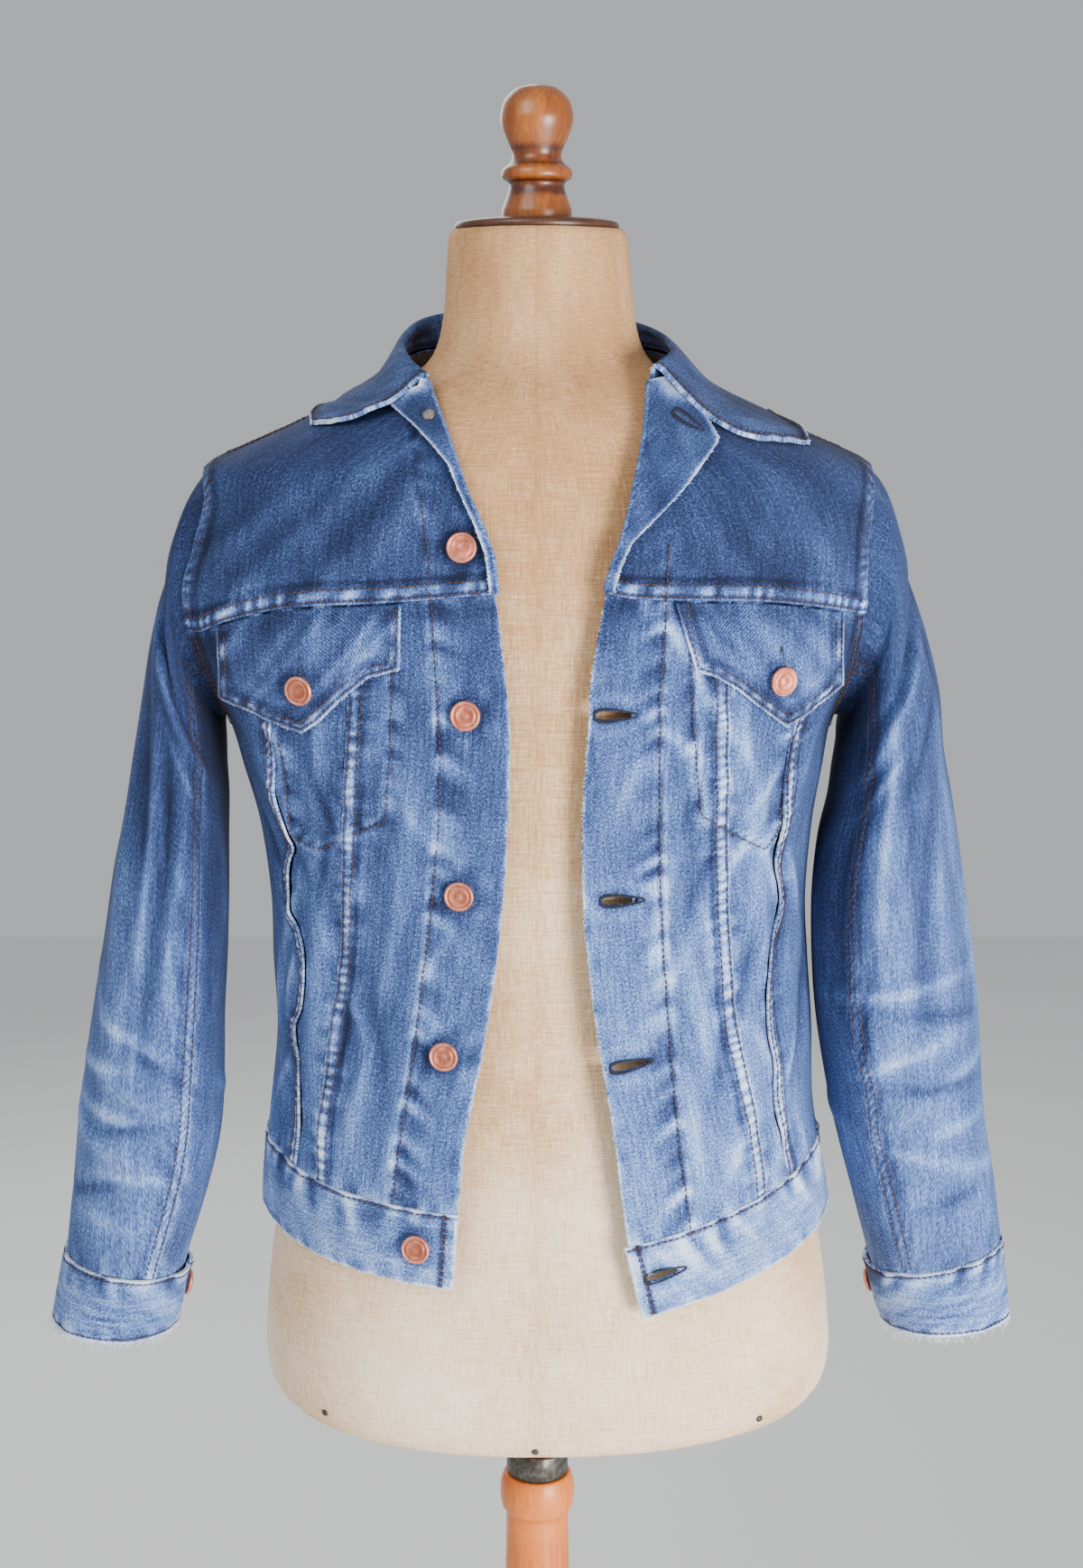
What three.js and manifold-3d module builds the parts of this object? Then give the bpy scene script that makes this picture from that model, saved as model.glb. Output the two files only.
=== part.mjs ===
// A denim trucker jacket, worn open on a limbless linen dress form that stands on a turned wooden post.
// Millimetres, +Z up, the front faces -Y, +X is the wearer's left.
// The origin is the middle of the underside of the round base.
import * as THREE from "three";
import { mergeVertices } from "three/addons/utils/BufferGeometryUtils.js";
import Module from "manifold-3d";

const wasm = await Module();
wasm.setup();

// Cloth
const CLOTH = 1.6; // wall of one panel, two plies at the seams
const STRIP = 2.4; // wall of the waistband, cuffs, collar and flaps
const SEAM_GAP = 0.3; // between sewn pieces
const FOLD_GAP = 2.2; // between a yoke and the lapel that lies on it
const LAPEL_RISE = 1.8; // how far a lapel's free edge stands up beyond that
const LEAF_LIFT = 1.2; // from the yokes to the back of the collar's leaf
const FLAP_LIFT = 0.5; // from the panel to the back of a pocket flap
const FLAP_CURL = 2.5; // how far a flap's point curls away from the panel
const FLAP_DROP = 1.5; // from the yoke seam down to a pocket flap
const BAND_OUT = 0.8; // how far the waistband stands out beyond the panels

// Waist, hem and yoke
const BAND_HEIGHT = 45;
const HEM_FRONT = 830;
const PANEL_MIDDLE = 1050; // a height at which every panel's side lines can be read
const SIDE_SEAM = 96; // degrees round from the front
const SHOULDER_SEAM = 90;
const BACK_SEAM_TOP = 148;
const BACK_SEAM_HEM = 158;
const BACK_SEAM_LOW = 870;
const BACK_YOKE_SEAM = 1214;
const YOKE_BLEND = 30; // degrees in which the yoke seam goes over from the front to the back
const YOKE_CLEAR = 0.6; // keeps the yokes' chords off the panels' chords

// Buttons and buttonholes
const BUTTON_RADIUS = 8.5;
const BUTTON_THICK = 2.6;
const SHANK_RADIUS = 3;
const SHANK_HEIGHT = 1.1;
const TACK_RADIUS = 3.8;
const TACK_CLEAR = 0.5; // over the lapel, which rises towards its edge
const HOLE_LENGTH = 23;
const HOLE_WIDTH = 5;
const HOLE_DEPTH = 12; // of the cutter

// Sleeves
const SLEEVE_SEAM = 125; // degrees from the outer line to each long seam
const SLEEVE_INSET = 0.25; // degrees from a long seam to each half's edge
const SLEEVE_ROWS = 15;
const CLOSE_ROWS = 3; // rows close together at the top of a sleeve
const CLOSE_STEP = 0.55;
const CUFF_LAP = 14; // degrees that a cuff's ends pass each other
const CUFF_OPENING = -165;
const CUFF_LAP_GAP = 0.5;
const CUFF_LIFT_FROM = 0.78; // shares of the cuff's length between which its end rises
const CUFF_LIFT_TO = 0.97;
const RING_STEP = 38; // from one sleeve ring to the next, down the sleeve
const SLEEVE_ARC = 0.95; // millimetres of girth for each degree
const ARMHOLE_CLEAR = 0.35; // from the armhole's edge to the sleeve
const SLEEVE_SINK = 0.9; // from the body's outer face in to the sleeve's first ring
const ARMHOLE_FROM = 90; // the armhole cutter's span along X
const ARMHOLE_TO = 290;
const ARMHOLE_STEPS = 44;
const BODY_ARC = 2.6; // millimetres of the body's girth for each degree

// Stand
const BASE_RADIUS = 175;

// The jacket's outside, level by level: how far it reaches to the right and left sides,
// the front and the back, where it is widest (middle), and how square the section is.
const TORSO = [
  { z: 800, right: 170, left: 181, front: 123, back: 110, middle: 8, square: 2.3 },
  { z: 830, right: 169.5, left: 181.5, front: 122, back: 109, middle: 8, square: 2.3 },
  { z: 850, right: 171, left: 181, front: 121, back: 109, middle: 8, square: 2.3 },
  { z: 880, right: 169, left: 175.5, front: 119.5, back: 108, middle: 8, square: 2.3 },
  { z: 916, right: 163.5, left: 170.5, front: 118.5, back: 106, middle: 7, square: 2.3 },
  { z: 960, right: 160, left: 169, front: 118, back: 104, middle: 6, square: 2.3 },
  { z: 1003, right: 161.5, left: 165.5, front: 118, back: 103, middle: 5, square: 2.3 },
  { z: 1040, right: 162, left: 163.5, front: 118, back: 104, middle: 5, square: 2.3 },
  { z: 1087, right: 167.5, left: 166.5, front: 119, back: 107, middle: 4, square: 2.35 },
  { z: 1120, right: 176, left: 171.5, front: 120, back: 110, middle: 3, square: 2.4 },
  { z: 1150, right: 185, left: 177, front: 120.5, back: 112, middle: 3, square: 2.4 },
  { z: 1180, right: 202, left: 192, front: 120, back: 113, middle: 2, square: 2.4 },
  { z: 1205, right: 216, left: 201, front: 119.5, back: 113, middle: 2, square: 2.35 },
  { z: 1230, right: 219, left: 204, front: 118, back: 112, middle: 1, square: 2.3 },
  { z: 1255, right: 211, left: 205, front: 115, back: 110.5, middle: 1, square: 2.25 },
  { z: 1278, right: 200, left: 203, front: 110.5, back: 107, middle: 0, square: 2.2 },
  { z: 1297, right: 194, left: 196, front: 105, back: 102.5, middle: 0, square: 2.15 },
  { z: 1305, right: 179, left: 183, front: 102, back: 100, middle: 0, square: 2.1 },
  { z: 1315, right: 157, left: 160, front: 98, back: 96.5, middle: 0, square: 2.05 },
  { z: 1325, right: 134, left: 136, front: 93, back: 91.5, middle: 0, square: 2 },
  { z: 1335, right: 112, left: 114, front: 87.5, back: 86, middle: 0, square: 2 },
  { z: 1345, right: 95, left: 97, front: 81, back: 80, middle: 0, square: 2 },
  { z: 1356, right: 80, left: 82, front: 74, back: 73, middle: 0, square: 2 },
  { z: 1368, right: 70, left: 72, front: 66, back: 66, middle: 0, square: 2 },
];

// The three long lines on each front, as distances out from the middle.
const FRONT_SEAMS = {
  right: [
    { z: 872, edge: 46, inner: 131, outer: 142 },
    { z: 900, edge: 43, inner: 129.5, outer: 140 },
    { z: 926, edge: 40.8, inner: 128, outer: 138 },
    { z: 950, edge: 34.8, inner: 124, outer: 138.5 },
    { z: 981, edge: 28.9, inner: 120, outer: 139.3 },
    { z: 1013, edge: 24, inner: 115.5, outer: 132 },
    { z: 1050, edge: 19.7, inner: 112.5, outer: 138 },
    { z: 1085, edge: 16.9, inner: 111, outer: 142.5 },
    { z: 1116, edge: 15.2, inner: 109, outer: 146 },
    { z: 1160, edge: 14.7, inner: 106.5, outer: 149.5 },
    { z: 1186, edge: 17, inner: 105, outer: 151 },
    { z: 1232, edge: 22.4, inner: 104, outer: 152 },
  ],
  left: [
    { z: 856, edge: 52.5, inner: 137, outer: 149 },
    { z: 873, edge: 49.6, inner: 136, outer: 147 },
    { z: 900, edge: 47, inner: 132.5, outer: 143.5 },
    { z: 926, edge: 43.3, inner: 127.5, outer: 139.5 },
    { z: 954, edge: 38.6, inner: 121, outer: 135.5 },
    { z: 980, edge: 34.3, inner: 116, outer: 132.7 },
    { z: 1007, edge: 30.7, inner: 113, outer: 131.3 },
    { z: 1055, edge: 26, inner: 110, outer: 137 },
    { z: 1085, edge: 25.3, inner: 109, outer: 136 },
    { z: 1115, edge: 25.5, inner: 108.5, outer: 139.5 },
    { z: 1161, edge: 28.6, inner: 107.6, outer: 148.3 },
    { z: 1186, edge: 30, inner: 107.4, outer: 149 },
    { z: 1233, edge: 38, inner: 107, outer: 150 },
  ],
};

// The yoke seam's height against the distance out from the middle.
const YOKE_SEAM = {
  right: [
    { x: 20, z: 1232 },
    { x: 74, z: 1227 },
    { x: 138, z: 1222 },
    { x: 172, z: 1213.5 },
    { x: 195, z: 1204.5 },
  ],
  left: [
    { x: 36, z: 1233.3 },
    { x: 52, z: 1229 },
    { x: 123, z: 1226 },
    { x: 156, z: 1221.6 },
    { x: 186, z: 1215 },
  ],
};

// Where each lapel folds back, and where its free edge lies.
const LAPEL = {
  right: [
    { z: 1233, fold: 22.3, edge: 25.5 },
    { z: 1252, fold: 24.4, edge: 27.6 },
    { z: 1269, fold: 30.9, edge: 34.1 },
    { z: 1286, fold: 38.9, edge: 42.2 },
    { z: 1299, fold: 43.5, edge: 47.5 },
    { z: 1310, fold: 47.3, edge: 57 },
    { z: 1320, fold: 51, edge: 67.5 },
    { z: 1330, fold: 55, edge: 80.5 },
    { z: 1335, fold: 57, edge: 77 },
    { z: 1339, fold: 58.6, edge: 64 },
    { z: 1343, fold: 60, edge: 63 },
  ],
  left: [
    { z: 1235, fold: 38.6, edge: 42.5 },
    { z: 1248, fold: 42.6, edge: 46.6 },
    { z: 1259, fold: 46.8, edge: 52 },
    { z: 1271, fold: 50.3, edge: 64.4 },
    { z: 1286, fold: 53.8, edge: 79.3 },
    { z: 1298, fold: 56.2, edge: 89.4 },
    { z: 1311, fold: 59, edge: 100 },
    { z: 1323, fold: 60.8, edge: 93 },
    { z: 1335, fold: 61.8, edge: 79 },
    { z: 1347, fold: 62.8, edge: 67.5 },
  ],
};

// The neck seam's height against the angle round from the front.
const NECK_SEAM = [
  { angle: 0, z: 1344 },
  { angle: 40, z: 1345 },
  { angle: 60, z: 1351 },
  { angle: 90, z: 1360 },
  { angle: 130, z: 1366 },
  { angle: 180, z: 1367 },
];

// The hem's height against the angle, from the right front corner (-) to the left one (+).
const HEM = [
  { angle: -180, z: 838 },
  { angle: -90, z: 846 },
  { angle: -74, z: 846 },
  { angle: -60, z: 843 },
  { angle: -45, z: 837.5 },
  { angle: -30, z: 833.5 },
  { angle: -15, z: 830 },
  { angle: -8, z: 830 },
  { angle: 0, z: 830 },
  { angle: 4, z: 812 },
  { angle: 8, z: 808.5 },
  { angle: 15, z: 811 },
  { angle: 30, z: 820 },
  { angle: 45, z: 829 },
  { angle: 60, z: 837 },
  { angle: 74, z: 843 },
  { angle: 90, z: 846 },
  { angle: 180, z: 838 },
];

// The armhole, seen from the side: how far it reaches to the front and the back of middle.
const ARMHOLE = {
  right: { top: 1296.5, bottom: 1149, middle: 3, half: 56, square: 2.25 },
  left: { top: 1298, bottom: 1148, middle: 3, half: 56, square: 2.25 },
};

// Sleeve rings from the shoulder to the cuff. Each ring runs through an outer point (x, z) and
// an inner point (x, z); half is its half depth from front to back about middle, bulge pushes
// its front and back outwards, and turn swings its front edge in towards the body.
const SLEEVE = {
  right: [
    { s: 0, ox: 193.5, oz: 1296.5, ix: 181, iz: 1149, middle: 3, half: 56, bulge: 18, turn: 0 },
    { s: 1, ox: 203, oz: 1281, ix: 189, iz: 1148, middle: 3, half: 56.5, bulge: 14, turn: 0 },
    { s: 2, ox: 211, oz: 1260, ix: 189, iz: 1144, middle: 2, half: 58.5, bulge: 10, turn: 0 },
    { s: 3, ox: 220, oz: 1230, ix: 189, iz: 1138, middle: 1, half: 61.5, bulge: 6, turn: 1 },
    { s: 4, ox: 227.5, oz: 1200, ix: 188.5, iz: 1129, middle: 0, half: 65, bulge: 3, turn: 2 },
    { s: 5, ox: 234, oz: 1167, ix: 188, iz: 1116, middle: -1, half: 68, bulge: 1, turn: 4 },
    { s: 6, ox: 241, oz: 1133, ix: 187, iz: 1098, middle: -2, half: 70, bulge: 0, turn: 5 },
    { s: 7, ox: 248, oz: 1098, ix: 187.5, iz: 1073, middle: -3, half: 70, bulge: 0, turn: 6 },
    { s: 8, ox: 257, oz: 1060, ix: 188, iz: 1040, middle: -4, half: 68, bulge: 0, turn: 7 },
    { s: 9, ox: 264, oz: 1018, ix: 189.5, iz: 1003, middle: -5, half: 65, bulge: 0, turn: 7 },
    { s: 10, ox: 271, oz: 979, ix: 192, iz: 965, middle: -6, half: 61, bulge: 0, turn: 7 },
    { s: 11, ox: 277.5, oz: 940, ix: 193, iz: 928, middle: -8, half: 57, bulge: 0, turn: 6 },
    { s: 12, ox: 283.5, oz: 900, ix: 195.5, iz: 893, middle: -9, half: 52, bulge: 0, turn: 5 },
    { s: 13, ox: 288, oz: 860, ix: 204, iz: 856, middle: -10, half: 47.5, bulge: 0, turn: 4 },
    { s: 14, ox: 293.5, oz: 816, ix: 220.5, iz: 804.5, middle: -11, half: 42.5, bulge: 0, turn: 3 },
  ],
  left: [
    { s: 0, ox: 196, oz: 1298, ix: 173, iz: 1148, middle: 3, half: 56, bulge: 0, turn: 0 },
    { s: 1, ox: 206, oz: 1283, ix: 183, iz: 1147.5, middle: 3, half: 56.5, bulge: 7, turn: 0 },
    { s: 2, ox: 213, oz: 1260, ix: 183.5, iz: 1143, middle: 2, half: 58.5, bulge: 6, turn: 0 },
    { s: 3, ox: 221, oz: 1230, ix: 182, iz: 1137, middle: 1, half: 61, bulge: 4, turn: 0 },
    { s: 4, ox: 232, oz: 1199, ix: 181, iz: 1128, middle: 0, half: 64.5, bulge: 2, turn: 2 },
    { s: 5, ox: 240.5, oz: 1166, ix: 179, iz: 1115, middle: -1, half: 67.5, bulge: 1, turn: 2 },
    { s: 6, ox: 244.5, oz: 1131, ix: 176.5, iz: 1097, middle: -2, half: 69, bulge: 0, turn: 3 },
    { s: 7, ox: 251.5, oz: 1098, ix: 170.5, iz: 1073, middle: -3, half: 69, bulge: 0, turn: 6 },
    { s: 8, ox: 258, oz: 1060, ix: 167.5, iz: 1040, middle: -4, half: 67, bulge: 0, turn: 8 },
    { s: 9, ox: 264.5, oz: 1018, ix: 168, iz: 1004, middle: -5, half: 64, bulge: 0, turn: 8 },
    { s: 10, ox: 269.5, oz: 979, ix: 171, iz: 966, middle: -6, half: 60, bulge: 0, turn: 7 },
    { s: 11, ox: 272.5, oz: 940, ix: 177, iz: 928, middle: -8, half: 56, bulge: 0, turn: 3 },
    { s: 12, ox: 276.5, oz: 900, ix: 184.5, iz: 893, middle: -9, half: 51.5, bulge: 0, turn: 3 },
    { s: 13, ox: 284, oz: 858, ix: 195.5, iz: 852, middle: -10, half: 47.5, bulge: 0, turn: 3 },
    { s: 14, ox: 289.5, oz: 822, ix: 208, iz: 806, middle: -9, half: 42, bulge: 0, turn: 3 },
  ],
};

// Cuffs: the same ring columns, at the lower and upper edges.
const CUFF = {
  right: [
    { s: 0, ox: 304.5, oz: 771, ix: 229, iz: 764, middle: -12, half: 42, bulge: 0, turn: 2 },
    { s: 1, ox: 295.5, oz: 815, ix: 218.8, iz: 803.5, middle: -11, half: 44, bulge: 0, turn: 3 },
  ],
  left: [
    { s: 0, ox: 298, oz: 770, ix: 219.5, iz: 764, middle: -6, half: 37, bulge: 0, turn: 2 },
    { s: 1, ox: 291.2, oz: 821, ix: 206.2, iz: 805, middle: -9, half: 43.5, bulge: 0, turn: 3 },
  ],
};

// The waistband's ends, as distances out from the middle.
const BAND_ENDS = {
  right: { bottom: 48.4, top: 45.2 },
  left: { bottom: 56.5, top: 45.5 },
};

// Collar stations from the right front end (-) round the back to the left one (+): the angle on
// the neck seam, the crest of the roll (kx, ky, kz), the leaf's free edge (ex, ey, ez) and how
// far the middle of the leaf bows forward.
const COLLAR = [
  { angle: -39, kx: -62, ky: -66, kz: 1351, ex: -129, ey: -46, ez: 1323, bow: 17 },
  { angle: -58, kx: -73, ky: -42, kz: 1360, ex: -131, ey: -16, ez: 1328, bow: 9 },
  { angle: -85, kx: -78, ky: -8, kz: 1369, ex: -124, ey: 12, ez: 1330, bow: 3 },
  { angle: -112, kx: -72, ky: 24, kz: 1380, ex: -110, ey: 42, ez: 1333, bow: 0 },
  { angle: -138, kx: -58, ky: 50, kz: 1386, ex: -82, ey: 66, ez: 1337, bow: 0 },
  { angle: -160, kx: -30, ky: 66, kz: 1388, ex: -42, ey: 83, ez: 1339, bow: 0 },
  { angle: -180, kx: 0, ky: 71, kz: 1388, ex: 0, ey: 88, ez: 1339, bow: 0 },
  { angle: -200, kx: 29, ky: 66, kz: 1386, ex: 43, ey: 83, ez: 1338, bow: 0 },
  { angle: -222, kx: 56, ky: 50, kz: 1382, ex: 84, ey: 66, ez: 1335, bow: 0 },
  { angle: -248, kx: 72, ky: 24, kz: 1375, ex: 115, ey: 42, ez: 1331, bow: 0 },
  { angle: -275, kx: 79, ky: -8, kz: 1367, ex: 138, ey: 12, ez: 1325, bow: 3 },
  { angle: -302, kx: 76, ky: -42, kz: 1362, ex: 150, ey: -18, ez: 1317, bow: 10 },
  { angle: -320.5, kx: 66, ky: -63, kz: 1356, ex: 154, ey: -46, ez: 1309, bow: 20 },
];

// The collar's cross-section round its roll: out from the neck and up, from the crest.
const ROLL_INSIDE = { out: -2.6, up: -2.2 };
const ROLL_OUTSIDE = { out: 4.6, up: -2.4 };
const STAND_SHARE = 0.55; // of the way up the stand, where it leans in
const STAND_LEAN = -0.8;
const STAND_START = 0.8; // above the neck seam
const LEAF_SHARES = [0.3, 0.52, 0.76, 1];

// Pocket flaps: the lower edge's height against the distance out from the middle, and how far
// the top of the flap's inner end lies in from its bottom.
const FLAP_LEAN = { right: 1, left: 11 };
const FLAP = {
  right: [
    { x: 75, z: 1190 },
    { x: 92, z: 1185.5 },
    { x: 108, z: 1172 },
    { x: 120, z: 1159.5 },
    { x: 129.5, z: 1152.7 },
    { x: 142, z: 1156.5 },
    { x: 161, z: 1163 },
    { x: 180, z: 1168.5 },
  ],
  left: [
    { x: 87, z: 1189 },
    { x: 98, z: 1185.5 },
    { x: 110, z: 1178 },
    { x: 124, z: 1166.5 },
    { x: 138.5, z: 1155 },
    { x: 148, z: 1160 },
    { x: 160, z: 1167.5 },
    { x: 173, z: 1176 },
  ],
};

// Buttons on the right front, and buttonholes on the left one: distance out from the middle,
// height, and the hole's tilt in degrees.
const FRONT_BUTTONS = [
  { name: "yoke_button", x: 40.7, z: 1256.5, out: 0 },
  { name: "front_button_1", x: 39.1, z: 1165, out: 0 },
  { name: "front_button_2", x: 43.2, z: 1062.6, out: 0 },
  { name: "front_button_3", x: 52.5, z: 968.8, out: 0 },
  { name: "waistband_button", x: 69.2, z: 853.4, out: BAND_OUT },
];
const NECK_TACK = { x: 58.4, z: 1325 };
const POCKET_BUTTONS = { right: { x: 130, z: 1177.5 }, left: { x: 135, z: 1182 } };
const FRONT_HOLES = [
  { x: 44, z: 1165, tilt: 0 },
  { x: 48, z: 1059.5, tilt: 0 },
  { x: 54, z: 963.4, tilt: 9 },
];
const BAND_HOLE = { x: 74, z: 838, tilt: 12 };
const LAPEL_HOLE = { x: 83, z: 1321, tilt: -33, length: 20, width: 4 };

// The large soft folds of the body: place (angle and height), slant of the fold from upright in
// degrees, half length, half width and height, which is negative for a hollow.
const TORSO_FOLDS = [
  { angle: -50, z: 1010, slant: 8, long: 70, wide: 11, high: 4 },
  { angle: -42, z: 1015, slant: -6, long: 50, wide: 9, high: -3 },
  { angle: -58, z: 1120, slant: -14, long: 40, wide: 10, high: 3 },
  { angle: -64, z: 930, slant: 10, long: 40, wide: 10, high: -3 },
  { angle: -30, z: 1000, slant: 3, long: 90, wide: 14, high: -2 },
  { angle: 48, z: 1060, slant: -8, long: 60, wide: 10, high: 4 },
  { angle: 56, z: 1010, slant: 10, long: 55, wide: 9, high: -3 },
  { angle: 60, z: 1130, slant: 16, long: 36, wide: 10, high: 3 },
  { angle: 42, z: 950, slant: -4, long: 60, wide: 12, high: 2.5 },
  { angle: 26, z: 1010, slant: 2, long: 90, wide: 13, high: -2 },
  { angle: -118, z: 1010, slant: 10, long: 80, wide: 12, high: 4 },
  { angle: -132, z: 930, slant: -8, long: 50, wide: 12, high: -3 },
  { angle: 122, z: 1000, slant: -9, long: 75, wide: 12, high: 4 },
  { angle: 137, z: 940, slant: 7, long: 55, wide: 12, high: -3 },
  { angle: 176, z: 1010, slant: 4, long: 85, wide: 14, high: 3 },
];

// The large folds of each sleeve: angle from the outer line (front is +), ring, slant, half
// length and half width in millimetres, and height.
const SLEEVE_FOLDS = {
  right: [
    { angle: 60, s: 3.2, slant: 62, long: 45, wide: 9, high: -4 },
    { angle: 95, s: 4.6, slant: 50, long: 40, wide: 9, high: 4 },
    { angle: 40, s: 7.5, slant: 4, long: 110, wide: 10, high: 4 },
    { angle: 80, s: 8, slant: -3, long: 100, wide: 12, high: -4 },
    { angle: 70, s: 11.2, slant: 70, long: 34, wide: 7, high: 3 },
    { angle: 60, s: 12.2, slant: 78, long: 36, wide: 7, high: 3 },
    { angle: -60, s: 9, slant: 10, long: 90, wide: 12, high: 3 },
    { angle: -90, s: 12, slant: 70, long: 34, wide: 8, high: -3 },
  ],
  left: [
    { angle: 60, s: 3.4, slant: 62, long: 45, wide: 9, high: -4 },
    { angle: 100, s: 4.8, slant: 50, long: 40, wide: 9, high: 4 },
    { angle: 90, s: 7.8, slant: -4, long: 110, wide: 11, high: 4 },
    { angle: 128, s: 7.4, slant: 3, long: 90, wide: 11, high: -4 },
    { angle: 70, s: 10.4, slant: 80, long: 40, wide: 7, high: 3 },
    { angle: 95, s: 11.5, slant: 60, long: 34, wide: 7, high: 3 },
    { angle: -60, s: 9, slant: -8, long: 90, wide: 12, high: 3 },
    { angle: -95, s: 11.6, slant: 74, long: 34, wide: 8, high: -3 },
  ],
};

// The dress form, level by level, in the same columns as the jacket.
const FORM = [
  { z: 716.5, right: 151, left: 164, front: 101, back: 96, middle: 4, square: 2.25 },
  { z: 721, right: 159, left: 172, front: 107, back: 102, middle: 4, square: 2.25 },
  { z: 731, right: 167.5, left: 181, front: 110.5, back: 105.5, middle: 4, square: 2.25 },
  { z: 748, right: 171, left: 184.3, front: 112, back: 107, middle: 4, square: 2.25 },
  { z: 770, right: 170.7, left: 183, front: 112, back: 107, middle: 4, square: 2.25 },
  { z: 800, right: 168, left: 180, front: 111.5, back: 106, middle: 4, square: 2.25 },
  { z: 825, right: 164.5, left: 176, front: 110, back: 104, middle: 5, square: 2.25 },
  { z: 860, right: 156, left: 167, front: 107, back: 100, middle: 5, square: 2.25 },
  { z: 905, right: 144, left: 155, front: 103, back: 95, middle: 5, square: 2.2 },
  { z: 955, right: 137, left: 145, front: 101, back: 91, middle: 5, square: 2.2 },
  { z: 1010, right: 140, left: 145, front: 102, back: 91, middle: 4, square: 2.2 },
  { z: 1070, right: 149, left: 150, front: 105.5, back: 96, middle: 3, square: 2.2 },
  { z: 1130, right: 157, left: 157, front: 108, back: 101, middle: 2, square: 2.2 },
  { z: 1185, right: 163, left: 164, front: 108, back: 103, middle: 1, square: 2.2 },
  { z: 1235, right: 168, left: 170, front: 106, back: 102.5, middle: 1, square: 2.2 },
  { z: 1268, right: 171, left: 173, front: 102.5, back: 100, middle: 0, square: 2.15 },
  { z: 1290, right: 168, left: 170, front: 98.5, back: 96.5, middle: 0, square: 2.1 },
  { z: 1303, right: 160, left: 163, front: 95, back: 94, middle: 0, square: 2.05 },
  { z: 1314, right: 150, left: 152, front: 91.5, back: 91, middle: 0, square: 2 },
  { z: 1324, right: 131, left: 133, front: 87, back: 86.5, middle: 0, square: 2 },
  { z: 1333, right: 111, left: 113, front: 81, back: 81, middle: 0, square: 2 },
  { z: 1343, right: 88, left: 91, front: 73, back: 74, middle: 0, square: 2 },
  { z: 1353, right: 69, left: 72, front: 64, back: 65, middle: 0, square: 2 },
  { z: 1364, right: 60, left: 62.5, front: 57.5, back: 58.5, middle: 0, square: 2 },
  { z: 1385, right: 55, left: 57, front: 54.5, back: 55, middle: 0, square: 2 },
  { z: 1410, right: 53.2, left: 54.9, front: 53, back: 53.5, middle: 0, square: 2 },
  { z: 1429, right: 51.5, left: 52.4, front: 51.2, back: 52, middle: 0, square: 2 },
  { z: 1432, right: 49.5, left: 50.4, front: 49, back: 50, middle: 0, square: 2 },
];

// Turned profiles: radius against height.
const CAP_PROFILE = [
  { r: 47.5, z: 1432.3 },
  { r: 47.8, z: 1434.5 },
  { r: 46, z: 1436.4 },
  { r: 38, z: 1437.6 },
];
const FINIAL_PROFILE = [
  { r: 20.1, z: 1438.3 },
  { r: 20.3, z: 1443 },
  { r: 19.4, z: 1446 },
  { r: 16.2, z: 1455 },
  { r: 16.6, z: 1459 },
  { r: 20.2, z: 1461.5 },
  { r: 20, z: 1466 },
  { r: 16, z: 1469.5 },
  { r: 14.2, z: 1473 },
  { r: 14.8, z: 1477 },
  { r: 18, z: 1484 },
  { r: 20.6, z: 1491 },
  { r: 21, z: 1497 },
  { r: 18.6, z: 1505 },
  { r: 12.5, z: 1511 },
  { r: 5, z: 1513.3 },
];
const STEM_PROFILE = [
  { r: 17.4, z: 674.4 },
  { r: 18.6, z: 716.2 },
];
const FERRULE_PROFILE = [
  { r: 19, z: 657.6 },
  { r: 19.6, z: 658.6 },
  { r: 19.6, z: 673 },
  { r: 19, z: 674.1 },
];
const POST_PROFILE = [
  { r: 27, z: 60.3 },
  { r: 29, z: 75 },
  { r: 24, z: 92 },
  { r: 22.5, z: 140 },
  { r: 25.5, z: 300 },
  { r: 24, z: 450 },
  { r: 20.6, z: 588 },
  { r: 19.9, z: 624 },
  { r: 20.2, z: 631 },
  { r: 22.6, z: 635 },
  { r: 23.7, z: 642 },
  { r: 23.4, z: 650 },
  { r: 21.6, z: 656 },
  { r: 20.4, z: 657.3 },
];
const BASE_PROFILE = [
  { r: BASE_RADIUS - 4, z: 0 },
  { r: BASE_RADIUS, z: 4 },
  { r: BASE_RADIUS, z: 18 },
  { r: BASE_RADIUS - 5, z: 26 },
  { r: BASE_RADIUS - 25, z: 31 },
  { r: 70, z: 37 },
  { r: 44, z: 45 },
  { r: 34, z: 54 },
  { r: 32, z: 60 },
];

const SIDES = [
  { name: "right", sign: -1 },
  { name: "left", sign: 1 },
];

const radians = THREE.MathUtils.degToRad;
const mix = THREE.MathUtils.lerp;

function material(color, roughness, metalness = 0) {
  return new THREE.MeshStandardMaterial({ color, roughness, metalness });
}
const denim = () => material(0x4a6a9c, 0.92);
const copper = () => material(0xd98568, 0.35, 0.9);
const linen = () => material(0xd9bd98, 0.95);
const wood = () => material(0xb06f38, 0.55);
const iron = () => material(0x56534d, 0.5, 0.8);

// Reads a column of a table at a value of its key, along straight lines between the rows.
function straight(rows, key, column, at) {
  const last = rows.length - 1;
  if (at <= rows[0][key]) return rows[0][column];
  if (at >= rows[last][key]) return rows[last][column];
  const i = rows.findIndex((row) => row[key] > at) - 1;
  const share = (at - rows[i][key]) / (rows[i + 1][key] - rows[i][key]);
  return mix(rows[i][column], rows[i + 1][column], share);
}

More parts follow.
